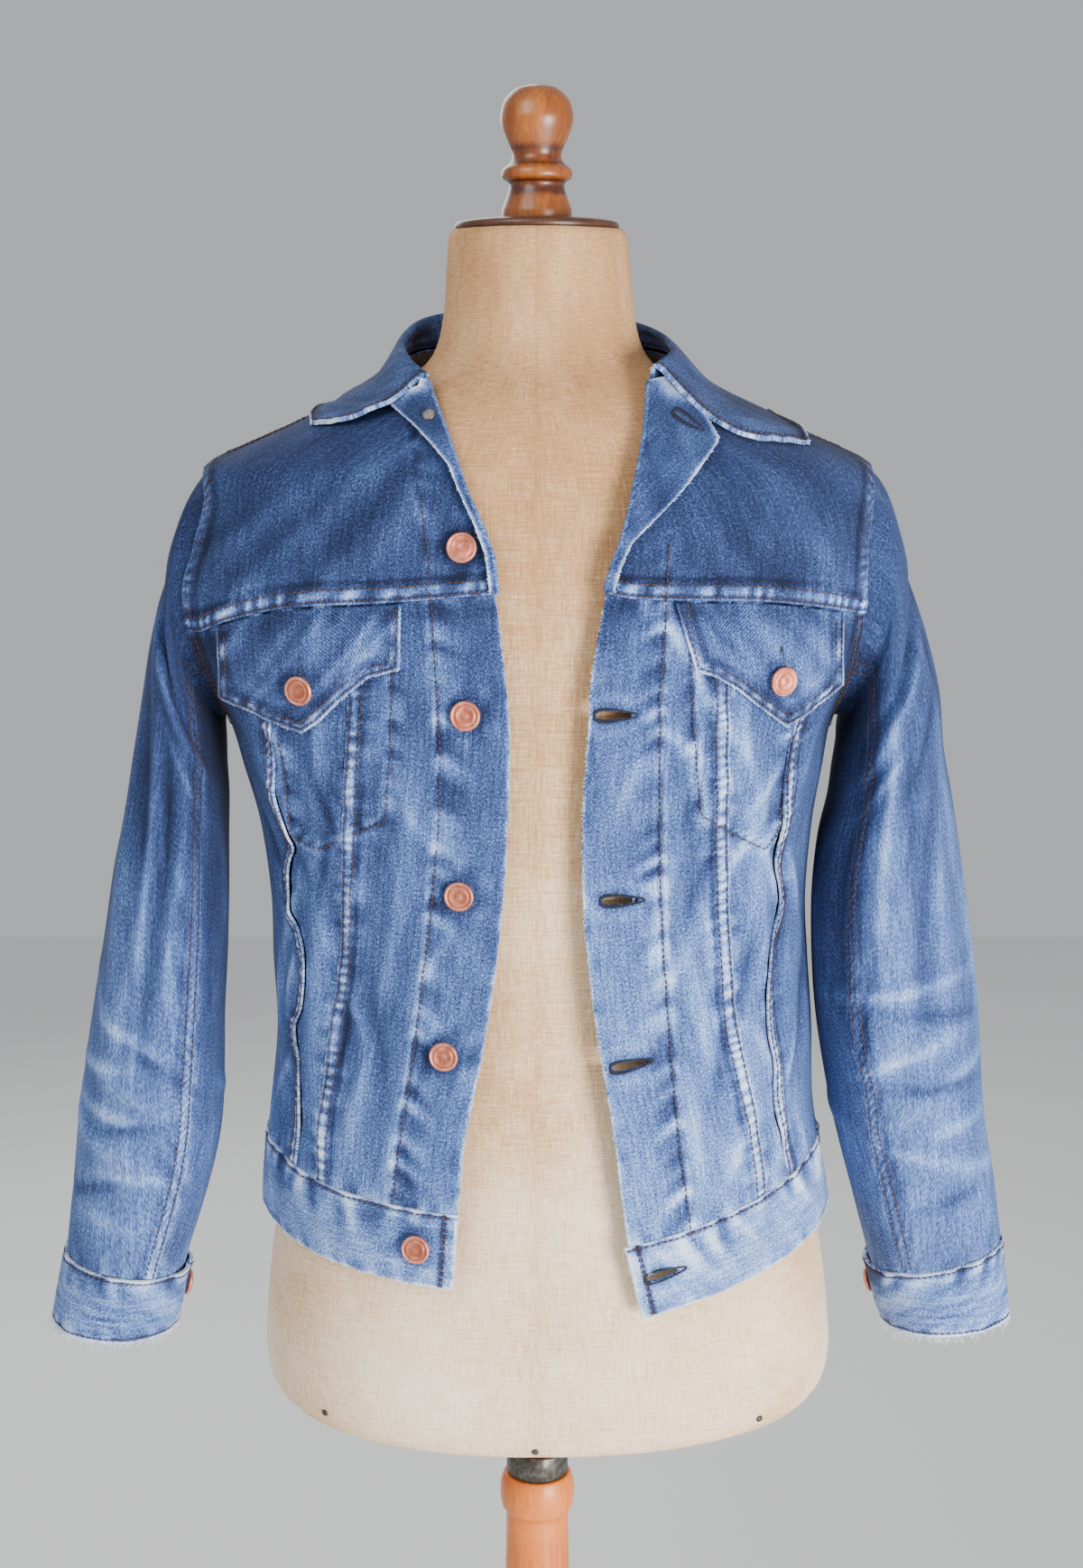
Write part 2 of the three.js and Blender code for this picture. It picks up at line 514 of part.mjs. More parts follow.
// The same along a smooth curve through the rows.
function smooth(rows, key, column, at) {
  const last = rows.length - 1;
  if (at <= rows[0][key]) return rows[0][column];
  if (at >= rows[last][key]) return rows[last][column];
  const i = rows.findIndex((row) => row[key] > at) - 1;
  const span = rows[i + 1][key] - rows[i][key];
  const slope = (a, b) => (rows[b][column] - rows[a][column]) / (rows[b][key] - rows[a][key]);
  const before = slope(Math.max(i - 1, 0), i + 1) * span;
  const after = slope(i, Math.min(i + 2, last)) * span;
  const u = (at - rows[i][key]) / span;
  const u2 = u * u;
  const u3 = u2 * u;
  return (
    (2 * u3 - 3 * u2 + 1) * rows[i][column] +
    (u3 - 2 * u2 + u) * before +
    (3 * u2 - 2 * u3) * rows[i + 1][column] +
    (u3 - u2) * after
  );
}

// A point on a level section: the angle runs from the front through the left side.
function sectionPoint(table, angle, z) {
  const across = Math.sin(radians(angle));
  const ahead = Math.cos(radians(angle));
  const power = 2 / smooth(table, "z", "square", z);
  const reach = smooth(table, "z", across > 0 ? "left" : "right", z);
  const middle = smooth(table, "z", "middle", z);
  const depth = ahead > 0 ? smooth(table, "z", "front", z) + middle : smooth(table, "z", "back", z) - middle;
  return new THREE.Vector3(
    Math.sign(across) * reach * Math.abs(across) ** power,
    middle - Math.sign(ahead) * depth * Math.abs(ahead) ** power,
    z,
  );
}

// The outward direction of the jacket's body at an angle and a height.
function torsoNormal(angle, z) {
  const along = sectionPoint(TORSO, angle + 1, z).sub(sectionPoint(TORSO, angle - 1, z));
  const up = sectionPoint(TORSO, angle, z + 1).sub(sectionPoint(TORSO, angle, z - 1));
  return along.cross(up).normalize();
}

// The height of one soft fold at a distance from its middle, across and up.
function foldHeight(fold, across, up) {
  const slant = radians(fold.slant);
  const along = across * Math.sin(slant) + up * Math.cos(slant);
  const beside = across * Math.cos(slant) - up * Math.sin(slant);
  return fold.high * Math.exp(-((along / fold.long) ** 2) - (beside / fold.wide) ** 2);
}

function torsoRelief(angle, z) {
  return TORSO_FOLDS.reduce((sum, fold) => {
    const turned = ((angle - fold.angle + 540) % 360) - 180;
    return sum + foldHeight(fold, turned * BODY_ARC, z - fold.z);
  }, 0);
}

// A point of the jacket's body, moved out by a distance.
function torso(angle, z, out = 0) {
  const point = sectionPoint(TORSO, angle, z);
  return point.addScaledVector(torsoNormal(angle, z), out + torsoRelief(angle, z));
}

// The angle at which the front of a section reaches a distance from the middle.
function angleAt(side, x, z) {
  const reach = smooth(TORSO, "z", side.name, z);
  const power = smooth(TORSO, "z", "square", z) / 2;
  return side.sign * THREE.MathUtils.radToDeg(Math.asin(Math.min(1, x / reach) ** power));
}

function frontLine(side, column) {
  return (z) => angleAt(side, smooth(FRONT_SEAMS[side.name], "z", column, z), z);
}

function yokeSeam(angle) {
  const side = angle > 0 ? SIDES[1] : SIDES[0];
  const turned = Math.abs(angle);
  const rows = YOKE_SEAM[side.name];
  if (turned <= SHOULDER_SEAM) {
    const x = Math.abs(sectionPoint(TORSO, angle, BACK_YOKE_SEAM).x);
    return smooth(rows, "x", "z", x);
  }
  const share = Math.min(1, (turned - SHOULDER_SEAM) / YOKE_BLEND);
  return mix(rows[rows.length - 1].z, BACK_YOKE_SEAM, share);
}

const wrapped = (angle) => (angle > 180 ? angle - 360 : angle);
const yokeLow = (angle) => yokeSeam(wrapped(angle)) + YOKE_CLEAR;
const neckSeam = (angle) => smooth(NECK_SEAM, "angle", "z", Math.abs(angle));
const hem = (angle) => smooth(HEM, "angle", "z", wrapped(angle));
const bandTop = (angle) => hem(angle) + BAND_HEIGHT;
const backSeam = (z) => {
  const share = (z - BACK_SEAM_LOW) / (BACK_YOKE_SEAM - BACK_SEAM_LOW);
  return mix(BACK_SEAM_HEM, BACK_SEAM_TOP, share);
};

// A closed wall between two grids of points with the same rows and columns.
function wall(outside, inside) {
  const rows = outside.length;
  const columns = outside[0].length;
  const points = [...outside.flat(), ...inside.flat()];
  const faces = [];
  const outer = (i, j) => i * columns + j;
  const inner = (i, j) => rows * columns + i * columns + j;
  const quad = (a, b, c, d) => faces.push([a, b, c], [a, c, d]);
  for (let i = 0; i < rows - 1; i++) {
    for (let j = 0; j < columns - 1; j++) {
      quad(outer(i, j), outer(i, j + 1), outer(i + 1, j + 1), outer(i + 1, j));
      quad(inner(i, j), inner(i + 1, j), inner(i + 1, j + 1), inner(i, j + 1));
    }
    quad(outer(i, 0), outer(i + 1, 0), inner(i + 1, 0), inner(i, 0));
    quad(outer(i + 1, columns - 1), outer(i, columns - 1), inner(i, columns - 1), inner(i + 1, columns - 1));
  }
  for (let j = 0; j < columns - 1; j++) {
    quad(outer(0, j + 1), outer(0, j), inner(0, j), inner(0, j + 1));
    quad(outer(rows - 1, j), outer(rows - 1, j + 1), inner(rows - 1, j + 1), inner(rows - 1, j));
  }
  return closedMesh(points, faces);
}

// A geometry from points and faces, turned so that its faces point out.
function closedMesh(points, faces) {
  const volume = faces.reduce((sum, [a, b, c]) => {
    return sum + points[a].dot(points[b].clone().cross(points[c]));
  }, 0);
  const index = faces.flatMap(([a, b, c]) => (volume > 0 ? [a, b, c] : [a, c, b]));
  const geometry = new THREE.BufferGeometry();
  geometry.setAttribute("position", new THREE.Float32BufferAttribute(points.flatMap((p) => p.toArray()), 3));
  geometry.setIndex(index);
  return geometry;
}

function solid(geometry) {
  const bare = geometry.clone();
  bare.deleteAttribute("normal");
  bare.deleteAttribute("uv");
  const merged = mergeVertices(bare, 1e-4);
  return new wasm.Manifold(
    new wasm.Mesh({
      numProp: 3,
      vertProperties: new Float32Array(merged.attributes.position.array),
      triVerts: new Uint32Array(merged.index.array),
    }),
  );
}

function geometryOf(manifold) {
  const mesh = manifold.getMesh();
  const geometry = new THREE.BufferGeometry();
  geometry.setAttribute("position", new THREE.BufferAttribute(new Float32Array(mesh.vertProperties), 3));
  geometry.setIndex(new THREE.BufferAttribute(new Uint32Array(mesh.triVerts), 1));
  return geometry;
}

// Cuts tools out of a wall and keeps its largest body.
function cut(geometry, tools) {
  const left = tools.reduce((rest, tool) => rest.subtract(solid(tool)), solid(geometry));
  const bodies = left.decompose();
  bodies.sort((a, b) => b.volume() - a.volume());
  return geometryOf(bodies[0]);
}

// The angle and height grid of a panel between two side lines and two edges.
function panelGrid(from, to, low, high, rows, columns) {
  const grid = [];
  for (let i = 0; i <= rows; i++) {
    const share = i / rows;
    const line = [];
    for (let j = 0; j <= columns; j++) {
      let angle = mix(from(PANEL_MIDDLE), to(PANEL_MIDDLE), j / columns);
      let z = 0;
      for (let pass = 0; pass < 6; pass++) {
        z = mix(low(angle) + SEAM_GAP / 2, high(angle) - SEAM_GAP / 2, share);
        angle = mix(from(z), to(z), j / columns);
      }
      const degree = sectionPoint(TORSO, angle + 0.5, z).distanceTo(sectionPoint(TORSO, angle - 0.5, z));
      const inset = SEAM_GAP / 2 / degree;
      if (j === 0) angle += inset;
      if (j === columns) angle -= inset;
      line.push({ angle, z });
    }
    grid.push(line);
  }
  return grid;
}

function torsoPanel(from, to, low, high, rows, columns, thick = CLOTH, out = 0) {
  const grid = panelGrid(from, to, low, high, rows, columns);
  const outside = grid.map((line) => line.map(({ angle, z }) => torso(angle, z, out)));
  const inside = grid.map((line) => line.map(({ angle, z }) => torso(angle, z, out - thick)));
  return wall(outside, inside);
}

// A place on a surface: x along it, y up it and z out of it.
function placeOn(point, normal, tilt = 0) {
  const across = new THREE.Vector3(0, 0, 1).cross(normal).normalize();
  const up = normal.clone().cross(across);
  return new THREE.Matrix4()
    .makeBasis(across, up, normal)
    .multiply(new THREE.Matrix4().makeRotationZ(radians(tilt)))
    .setPosition(point);
}

// A gaping buttonhole: a lens, long along x, cut right through the wall.
function holeCutter(point, normal, tilt, length = HOLE_LENGTH, width = HOLE_WIDTH) {
  const lens = new THREE.Shape();
  lens.moveTo(-length / 2, 0);
  lens.quadraticCurveTo(-length / 4, width * 0.9, length / 4, width / 2);
  lens.quadraticCurveTo(length / 2, width / 3, length / 2, 0);
  lens.quadraticCurveTo(length / 2, -width / 3, length / 4, -width / 2);
  lens.quadraticCurveTo(-length / 4, -width * 0.9, -length / 2, 0);
  const options = { depth: HOLE_DEPTH, bevelEnabled: false, curveSegments: 3 };
  const cutter = new THREE.ExtrudeGeometry(lens, options);
  cutter.translate(0, 0, -HOLE_DEPTH / 2);
  return cutter.applyMatrix4(placeOn(point, normal, tilt));
}

function frontSurface(side, x, z, out = 0) {
  const angle = angleAt(side, x, z);
  return { point: torso(angle, z, out), normal: torsoNormal(angle, z) };
}

function frontHole({ x, z, tilt }) {
  const { point, normal } = frontSurface(SIDES[1], x, z);
  return holeCutter(point, normal, tilt);
}

// The armhole's outline, seen from the side. The angle starts at the top, front is +.
function armholePoint(side, angle, shrink = 0) {
  const hole = ARMHOLE[side.name];
  const power = 2 / hole.square;
  const c = Math.cos(radians(angle));
  const s = Math.sin(radians(angle));
  const tall = (hole.top - hole.bottom) / 2 - shrink;
  return {
    y: hole.middle - Math.sign(s) * (hole.half - shrink) * Math.abs(s) ** power,
    z: (hole.top + hole.bottom) / 2 + Math.sign(c) * tall * Math.abs(c) ** power,
  };
}

function armholeCutter(side) {
  const outline = new THREE.Shape();
  for (let i = 0; i < ARMHOLE_STEPS; i++) {
    const { y, z } = armholePoint(side, (360 * i) / ARMHOLE_STEPS);
    if (i === 0) outline.moveTo(y, z);
    else outline.lineTo(y, z);
  }
  const depth = ARMHOLE_TO - ARMHOLE_FROM;
  const cutter = new THREE.ExtrudeGeometry(outline, { depth, bevelEnabled: false });
  const across = new THREE.Vector3(1, 0, 0);
  const basis = new THREE.Matrix4().makeBasis(new THREE.Vector3(0, 1, 0), new THREE.Vector3(0, 0, 1), across);
  cutter.applyMatrix4(basis);
  return cutter.translate(side.sign > 0 ? ARMHOLE_FROM : -ARMHOLE_TO, 0, 0);
}

// How far out the jacket's body is at a place seen from the side.
function bodyReach(side, y, z) {
  const middle = smooth(TORSO, "z", "middle", z);
  const depth = y < middle ? smooth(TORSO, "z", "front", z) + middle : smooth(TORSO, "z", "back", z) - middle;
  const square = smooth(TORSO, "z", "square", z);
  const reach = smooth(TORSO, "z", side.name, z);
  return reach * Math.max(0, 1 - Math.abs((y - middle) / depth) ** square) ** (1 / square);
}

// A point on a ring: the angle starts at the outer line, front is +.
function ringPoint(side, table, s, angle, square = 2.1) {
  const column = (name) => smooth(table, "s", name, s);
  const power = 2 / square;
  const c = Math.cos(radians(angle));
  const q = Math.sin(radians(angle));
  const away = Math.sign(c) * Math.abs(c) ** power;
  const ahead = Math.sign(q) * Math.abs(q) ** power;
  const x = mix(column("ix"), column("ox"), (1 + away) / 2) + column("bulge") * ahead * ahead;
  return new THREE.Vector3(
    side.sign * (x - column("turn") * ahead),
    column("middle") - column("half") * ahead,
    mix(column("iz"), column("oz"), (1 + away) / 2),
  );
}

function ringNormal(side, table, s, angle) {
  const step = 0.05;
  const around = ringPoint(side, table, s, angle + 1).sub(ringPoint(side, table, s, angle - 1));
  const along = ringPoint(side, table, s + step, angle).sub(ringPoint(side, table, s - step, angle));
  const normal = around.cross(along).normalize();
  const middle = ringPoint(side, table, s, 0).add(ringPoint(side, table, s, 180)).multiplyScalar(0.5);
  const out = ringPoint(side, table, s, angle).sub(middle);
  return normal.dot(out) < 0 ? normal.negate() : normal;
}

// The sleeve's folds, which fade out at the armhole and at the cuff.
function sleeveRelief(side, s, angle) {
  const last = SLEEVE[side.name].length - 1;
  const fade = THREE.MathUtils.clamp(s - 0.8, 0, 1) * THREE.MathUtils.clamp(last - s, 0, 1);
  return SLEEVE_FOLDS[side.name].reduce((sum, fold) => {
    const turned = ((angle - fold.angle + 540) % 360) - 180;
    return sum + fade * foldHeight(fold, turned * SLEEVE_ARC, (s - fold.s) * RING_STEP);
  }, 0);
}

// A sleeve's point, moved out by a distance. Its first ring lies in the armhole.
function sleevePoint(side, s, angle, out) {
  const table = SLEEVE[side.name];
  if (s === 0) {
    const { y, z } = armholePoint(side, angle, ARMHOLE_CLEAR - out);
    return new THREE.Vector3(side.sign * (bodyReach(side, y, z) - SLEEVE_SINK), y, z);
  }
  const normal = ringNormal(side, table, s, angle);
  return ringPoint(side, table, s, angle).addScaledVector(normal, out + sleeveRelief(side, s, angle));
}

function sleeveHalf(side, from, to, columns) {
  const last = SLEEVE[side.name].length - 1;
  const grids = [0, -CLOTH].map((out) => {
    const rows = [];
    for (let i = 0; i <= SLEEVE_ROWS; i++) {
      const open = Math.max(0, i - CLOSE_ROWS) / (SLEEVE_ROWS - CLOSE_ROWS);
      const s = mix(Math.min(i, CLOSE_ROWS) * CLOSE_STEP, last, open);
      const row = [];
      for (let j = 0; j <= columns; j++) {
        row.push(sleevePoint(side, s, mix(from, to, j / columns), out));
      }
      rows.push(row);
    }
    return rows;
  });
  return wall(grids[0], grids[1]);
}

// A cuff wraps round with its ends one over the other.
function cuff(side) {
  const table = CUFF[side.name];
  const rows = 2;
  const columns = 26;
  const turn = 360 + CUFF_LAP;
  const rise = STRIP + CUFF_LAP_GAP;
  const lift = (share) => rise * THREE.MathUtils.smoothstep(share, CUFF_LIFT_FROM, CUFF_LIFT_TO);
  const grids = [0, -STRIP].map((out) => {
    const grid = [];
    for (let i = 0; i <= rows; i++) {
      const row = [];
      for (let j = 0; j <= columns; j++) {
        const share = j / columns;
        const angle = CUFF_OPENING + turn * share;
        const normal = ringNormal(side, table, mix(0.05, 0.95, i / rows), angle);
        const point = ringPoint(side, table, i / rows, angle);
        row.push(point.addScaledVector(normal, out + lift(share)));
      }
      grid.push(row);
    }
    return grid;
  });
  return wall(grids[0], grids[1]);
}

function cuffButtonPlace(side) {
  const angle = CUFF_OPENING + CUFF_LAP / 2;
  const table = CUFF[side.name];
  const normal = ringNormal(side, table, 0.5, angle);
  const point = ringPoint(side, table, 0.5, angle).addScaledVector(normal, STRIP + CUFF_LAP_GAP);
  return { point, normal };
}

// A front yoke with its lapel: a row runs from the shoulder seam to the fold, round the fold,
// and back over itself to the lapel's free edge.
function frontYoke(side) {
  const rows = 12;
  const flat = 11;
  const bends = [-30, 30];
  const over = 4;
  const lapel = LAPEL[side.name];
  const foldAngle = (z) => angleAt(side, straight(lapel, "z", "fold", z), z);
  const high = (angle) => neckSeam(angle);
  const shoulder = () => side.sign * SHOULDER_SEAM;
  const grid = side.sign < 0
    ? panelGrid(shoulder, foldAngle, yokeLow, high, rows, flat)
    : panelGrid(foldAngle, shoulder, yokeLow, high, rows, flat).map((line) => line.reverse());
  const make = (thick) =>
    grid.map((line) => {
      const row = line.map(({ angle, z }) => torso(angle, z, -thick));
      const fold = line[flat];
      const normal = torsoNormal(fold.angle, fold.z);
      const open = new THREE.Vector3(0, 0, 1).cross(normal).normalize().multiplyScalar(-side.sign);
      const centre = torso(fold.angle, fold.z, FOLD_GAP / 2);
      for (const bend of bends) {
        const radius = FOLD_GAP / 2 + thick;
        const point = centre.clone().addScaledVector(open, radius * Math.cos(radians(bend)));
        row.push(point.addScaledVector(normal, radius * Math.sin(radians(bend))));
      }
      const from = straight(lapel, "z", "fold", fold.z);
      const to = straight(lapel, "z", "edge", fold.z);
      for (let j = 0; j < over; j++) {
        const share = j / (over - 1);
        const angle = angleAt(side, mix(from, to, share), fold.z);
        row.push(torso(angle, fold.z, FOLD_GAP + thick + LAPEL_RISE * share));
      }
      return row;
    });
  return wall(make(0), make(CLOTH));
}

// How far a point lies outside the jacket's smooth body, and the way out there.
function bodyDistance(point) {
  const level = ({ x, y, z }) => {
    const middle = smooth(TORSO, "z", "middle", z);
    const ahead = smooth(TORSO, "z", "front", z) + middle;
    const behind = smooth(TORSO, "z", "back", z) - middle;
    const depth = y < middle ? ahead : behind;
    const square = smooth(TORSO, "z", "square", z);
    const reach = smooth(TORSO, "z", x > 0 ? "left" : "right", z);
    return (Math.abs(x / reach) ** square + Math.abs((y - middle) / depth) ** square) ** (1 / square);
  };
  const slope = (axis) => {
    const step = 0.4;
    const ahead = point.clone().setComponent(axis, point.getComponent(axis) + step);
    const behind = point.clone().setComponent(axis, point.getComponent(axis) - step);
    return (level(ahead) - level(behind)) / (2 * step);
  };
  const gradient = new THREE.Vector3(slope(0), slope(1), slope(2));
  return { distance: (level(point) - 1) / gradient.length(), out: gradient.normalize() };
}

// Moves a point straight out until it is clear of the jacket's body by a distance.
function pushedClear(point, clearance) {
  for (let pass = 0; pass < 5; pass++) {
    const { distance, out } = bodyDistance(point);
    if (distance < clearance) point.addScaledVector(out, clearance - distance);
  }
  return point;
}

// The collar: each station rises from the neck seam to the roll and falls to the leaf's edge.
// Its two faces can be grown apart, to trim what lies against it.
function collar(grow = 0) {
  const steps = 28;
  const rowsOut = [];
  const rowsIn = [];
  const first = COLLAR[0].angle;
  const last = COLLAR[COLLAR.length - 1].angle;
  const stations = COLLAR.map((row) => ({ ...row, turn: -row.angle }));
  for (let i = 0; i <= steps; i++) {
    const turn = mix(-first, -last, i / steps);
    const column = (name) => smooth(stations, "turn", name, turn);
    const angle = turn > 180 ? 360 - turn : -turn;
    const seam = sectionPoint(TORSO, angle, neckSeam(angle)).add(new THREE.Vector3(0, 0, STAND_START));
    const crest = new THREE.Vector3(column("kx"), column("ky"), column("kz"));
    const edge = new THREE.Vector3(column("ex"), column("ey"), column("ez"));
    const out = edge.clone().sub(crest).setZ(0).normalize();
    const up = new THREE.Vector3(0, 0, 1);
    const profile = [
      seam,
      seam.clone().lerp(crest, STAND_SHARE).addScaledVector(out, STAND_LEAN),
      crest.clone().addScaledVector(out, ROLL_INSIDE.out).addScaledVector(up, ROLL_INSIDE.up),
      crest.clone(),
      crest.clone().addScaledVector(out, ROLL_OUTSIDE.out).addScaledVector(up, ROLL_OUTSIDE.up),
    ];
    for (const share of LEAF_SHARES) {
      const point = crest.clone().lerp(edge, share);
      point.z = mix(edge.z, crest.z, (1 - share) ** 2);
      point.y -= column("bow") * Math.sin(Math.PI * share);
      profile.push(pushedClear(point, STRIP + LEAF_LIFT));
    }
    const normals = profile.map((point, k) => {
      const before = profile[Math.max(k - 1, 0)];
      const after = profile[Math.min(k + 1, profile.length - 1)];
      const along = after.clone().sub(before).normalize();
      const sideways = out.clone().cross(up).normalize();
      return along.cross(sideways).normalize();
    });
    const face = (depth) => profile.map((point, k) => point.clone().addScaledVector(normals[k], depth));
    rowsOut.push(face(-grow));
    rowsIn.push(face(STRIP + grow));
  }
  return wall(rowsOut, rowsIn);
}

// A pocket flap hangs from the yoke seam over the panels.
function pocketFlap(side) {
  const edge = FLAP[side.name];
  const rows = 3;
  const columns = [];
  edge.forEach((row, i) => {
    columns.push(row.x);
    if (i < edge.length - 1) columns.push((row.x + edge[i + 1].x) / 2);
  });
  const point = columns.reduce((best, x) => Math.min(best, straight(edge, "x", "z", x)), Infinity);
  const make = (out) => {
    const grid = [];
    for (let i = 0; i <= rows; i++) {
      grid.push(
        columns.map((low_x, j) => {
          const low = straight(edge, "x", "z", low_x);
          const x = low_x - (FLAP_LEAN[side.name] * (1 - j / (columns.length - 1)) * i) / rows;
          const top = yokeSeam(angleAt(side, x, BACK_YOKE_SEAM)) - FLAP_DROP;
          const z = mix(low, top, i / rows);
          const curl = FLAP_CURL * Math.max(0, (top - z) / (top - point)) ** 2;
          return torso(angleAt(side, x, z), z, FLAP_LIFT + curl + out);
        }),
      );
    }
    return grid;
  };
  return wall(make(STRIP), make(0));
}

function flapSurface(side, x, z) {
  const edge = FLAP[side.name];
  const top = yokeSeam(angleAt(side, x, BACK_YOKE_SEAM)) - FLAP_DROP;
  const lowest = Math.min(...edge.map((row) => row.z));
  const curl = FLAP_CURL * ((top - z) / (top - lowest)) ** 2;
  return frontSurface(side, x, z, FLAP_LIFT + STRIP + curl);
}

// A turned solid: its profile closed down to the axis at both ends.
function turned(profile, segments) {
  const points = profile.map(({ r, z }) => new THREE.Vector2(r, z));
  points.unshift(new THREE.Vector2(0, profile[0].z));
  points.push(new THREE.Vector2(0, profile[profile.length - 1].z));
  const geometry = new THREE.LatheGeometry(points, segments);
  return geometry.rotateX(Math.PI / 2);
}

function buttonGeometry(radius) {
  const profile = [
    new THREE.Vector2(0, 0),
    new THREE.Vector2(SHANK_RADIUS, 0),
    new THREE.Vector2(SHANK_RADIUS, SHANK_HEIGHT),
    new THREE.Vector2(radius, SHANK_HEIGHT + 0.5),
    new THREE.Vector2(radius * 0.93, SHANK_HEIGHT + BUTTON_THICK),
    new THREE.Vector2(0, SHANK_HEIGHT + BUTTON_THICK - 0.4),
  ];
  return new THREE.LatheGeometry(profile, 12);
}

function tackGeometry() {
  const profile = [
    new THREE.Vector2(0, 0),
    new THREE.Vector2(TACK_RADIUS, 0),
    new THREE.Vector2(TACK_RADIUS * 0.8, 1.2),
    new THREE.Vector2(0, 1.5),
  ];
  return new THREE.LatheGeometry(profile, 12);
}

function formBody() {
  const around = 28;
  const points = [];
  const faces = [];
  FORM.forEach(({ z }) => {
    for (let j = 0; j < around; j++) points.push(sectionPoint(FORM, (360 * j) / around, z));
  });
  const rings = FORM.length;
  const bottom = points.push(new THREE.Vector3(0, 0, FORM[0].z)) - 1;
  const top = points.push(new THREE.Vector3(0, 0, FORM[rings - 1].z)) - 1;
  for (let j = 0; j < around; j++) {
    const next = (j + 1) % around;
    for (let i = 0; i < rings - 1; i++) {
      const a = i * around;
      const b = (i + 1) * around;
      faces.push([a + j, a + next, b + next], [a + j, b + next, b + j]);
    }
    faces.push([bottom, next, j], [top, (rings - 1) * around + j, (rings - 1) * around + next]);
  }
  return closedMesh(points, faces);
}

const jacketOnForm = new THREE.Group();
jacketOnForm.name = "denim_jacket_on_dress_form";
const jacket = new THREE.Group();
const dressForm = new THREE.Group();
jacketOnForm.add(jacket, dressForm);

function add(group, name, geometry, finish) {
  const mesh = new THREE.Mesh(geometry, finish);
  mesh.name = name;
  group.add(mesh);
  return mesh;
}

function addButton(name, { point, normal }, radius = BUTTON_RADIUS) {
  const geometry = radius === TACK_RADIUS ? tackGeometry() : buttonGeometry(radius);
  const button = add(jacket, name, geometry, copper());
  button.position.copy(point).addScaledVector(normal, SEAM_GAP);
  button.quaternion.setFromUnitVectors(new THREE.Vector3(0, 1, 0), normal);
}

function addFronts(side) {
  const edge = frontLine(side, "edge");
  const inner = frontLine(side, "inner");
  const outer = frontLine(side, "outer");
  const sideSeam = () => side.sign * SIDE_SEAM;
  const between = (a, b, rows, columns) =>
    side.sign > 0
      ? torsoPanel(a, b, bandTop, yokeSeam, rows, columns)
      : torsoPanel(b, a, bandTop, yokeSeam, rows, columns);
  const hole = armholeCutter(side);
  const holes = side.sign > 0 ? FRONT_HOLES.map(frontHole) : [];
  add(jacket, side.name + "_front_centre", cut(between(edge, inner, 14, 5), holes), denim());
  add(jacket, side.name + "_front_middle", between(inner, outer, 14, 3), denim());
  add(jacket, side.name + "_front_side", cut(between(outer, sideSeam, 14, 5), [hole]), denim());
  add(jacket, side.name + "_front_yoke", cut(frontYoke(side), yokeCutters(side)), denim());
}

// The armhole, the collar, and the buttonhole through the left lapel's turned-back layer only.
function yokeCutters(side) {
  if (side.sign < 0) return [armholeCutter(side), collar(SEAM_GAP)];
  const above = FOLD_GAP + (CLOTH + HOLE_DEPTH) / 2;
  const { point, normal } = frontSurface(side, LAPEL_HOLE.x, LAPEL_HOLE.z, above);
  const lapelHole = holeCutter(point, normal, LAPEL_HOLE.tilt, LAPEL_HOLE.length, LAPEL_HOLE.width);
  return [armholeCutter(side), collar(SEAM_GAP), lapelHole];
}

function addBack() {
  const holes = SIDES.map(armholeCutter);
  for (const side of SIDES) {
    const panel = side.sign > 0
      ? torsoPanel(() => SIDE_SEAM, backSeam, bandTop, yokeSeam, 11, 5)
      : torsoPanel((z) => -backSeam(z), () => -SIDE_SEAM, bandTop, yokeSeam, 11, 5);
    add(jacket, side.name + "_back_side", cut(panel, holes), denim());
  }
  const yoke = (angle) => yokeSeam(wrapped(angle));
  const centre = torsoPanel(backSeam, (z) => 360 - backSeam(z), bandTop, yoke, 11, 6);
  add(jacket, "back_centre", centre, denim());
  const neck = (angle) => neckSeam(wrapped(angle));
  const yokePanel = torsoPanel(() => SHOULDER_SEAM, () => 360 - SHOULDER_SEAM, yokeLow, neck, 8, 18);
  add(jacket, "back_yoke", cut(yokePanel, holes), denim());
}

function addWaistband() {
  const end = (side, z) => {
    const { bottom, top } = BAND_ENDS[side.name];
    return angleAt(side, mix(bottom, top, (z - HEM_FRONT) / BAND_HEIGHT), z);
  };
  const from = (z) => end(SIDES[1], z);
  const to = (z) => 360 + end(SIDES[0], z);
  const strip = torsoPanel(from, to, hem, bandTop, 2, 40, STRIP, BAND_OUT);
  add(jacket, "waistband", cut(strip, [frontHole(BAND_HOLE)]), denim());
}

function addSleeves(side) {
  const top = SLEEVE_SEAM - SLEEVE_INSET;
  const under = SLEEVE_SEAM + SLEEVE_INSET;
  add(jacket, side.name + "_top_sleeve", sleeveHalf(side, -top, top, 11), denim());
  add(jacket, side.name + "_under_sleeve", sleeveHalf(side, under, 360 - under, 5), denim());
  add(jacket, side.name + "_cuff", cuff(side), denim());
}

for (const side of SIDES) {
  addFronts(side);
  addSleeves(side);
  add(jacket, side.name + "_pocket_flap", pocketFlap(side), denim());
}
addBack();
addWaistband();
add(jacket, "collar", collar(), denim());

const tackOut = FOLD_GAP + CLOTH + TACK_CLEAR;
addButton("neck_tack", frontSurface(SIDES[0], NECK_TACK.x, NECK_TACK.z, tackOut), TACK_RADIUS);
for (const { name, x, z, out } of FRONT_BUTTONS) addButton(name, frontSurface(SIDES[0], x, z, out));
for (const side of SIDES) {
  const { x, z } = POCKET_BUTTONS[side.name];
  addButton(side.name + "_pocket_button", flapSurface(side, x, z));
}
for (const side of SIDES) addButton(side.name + "_cuff_button", cuffButtonPlace(side));

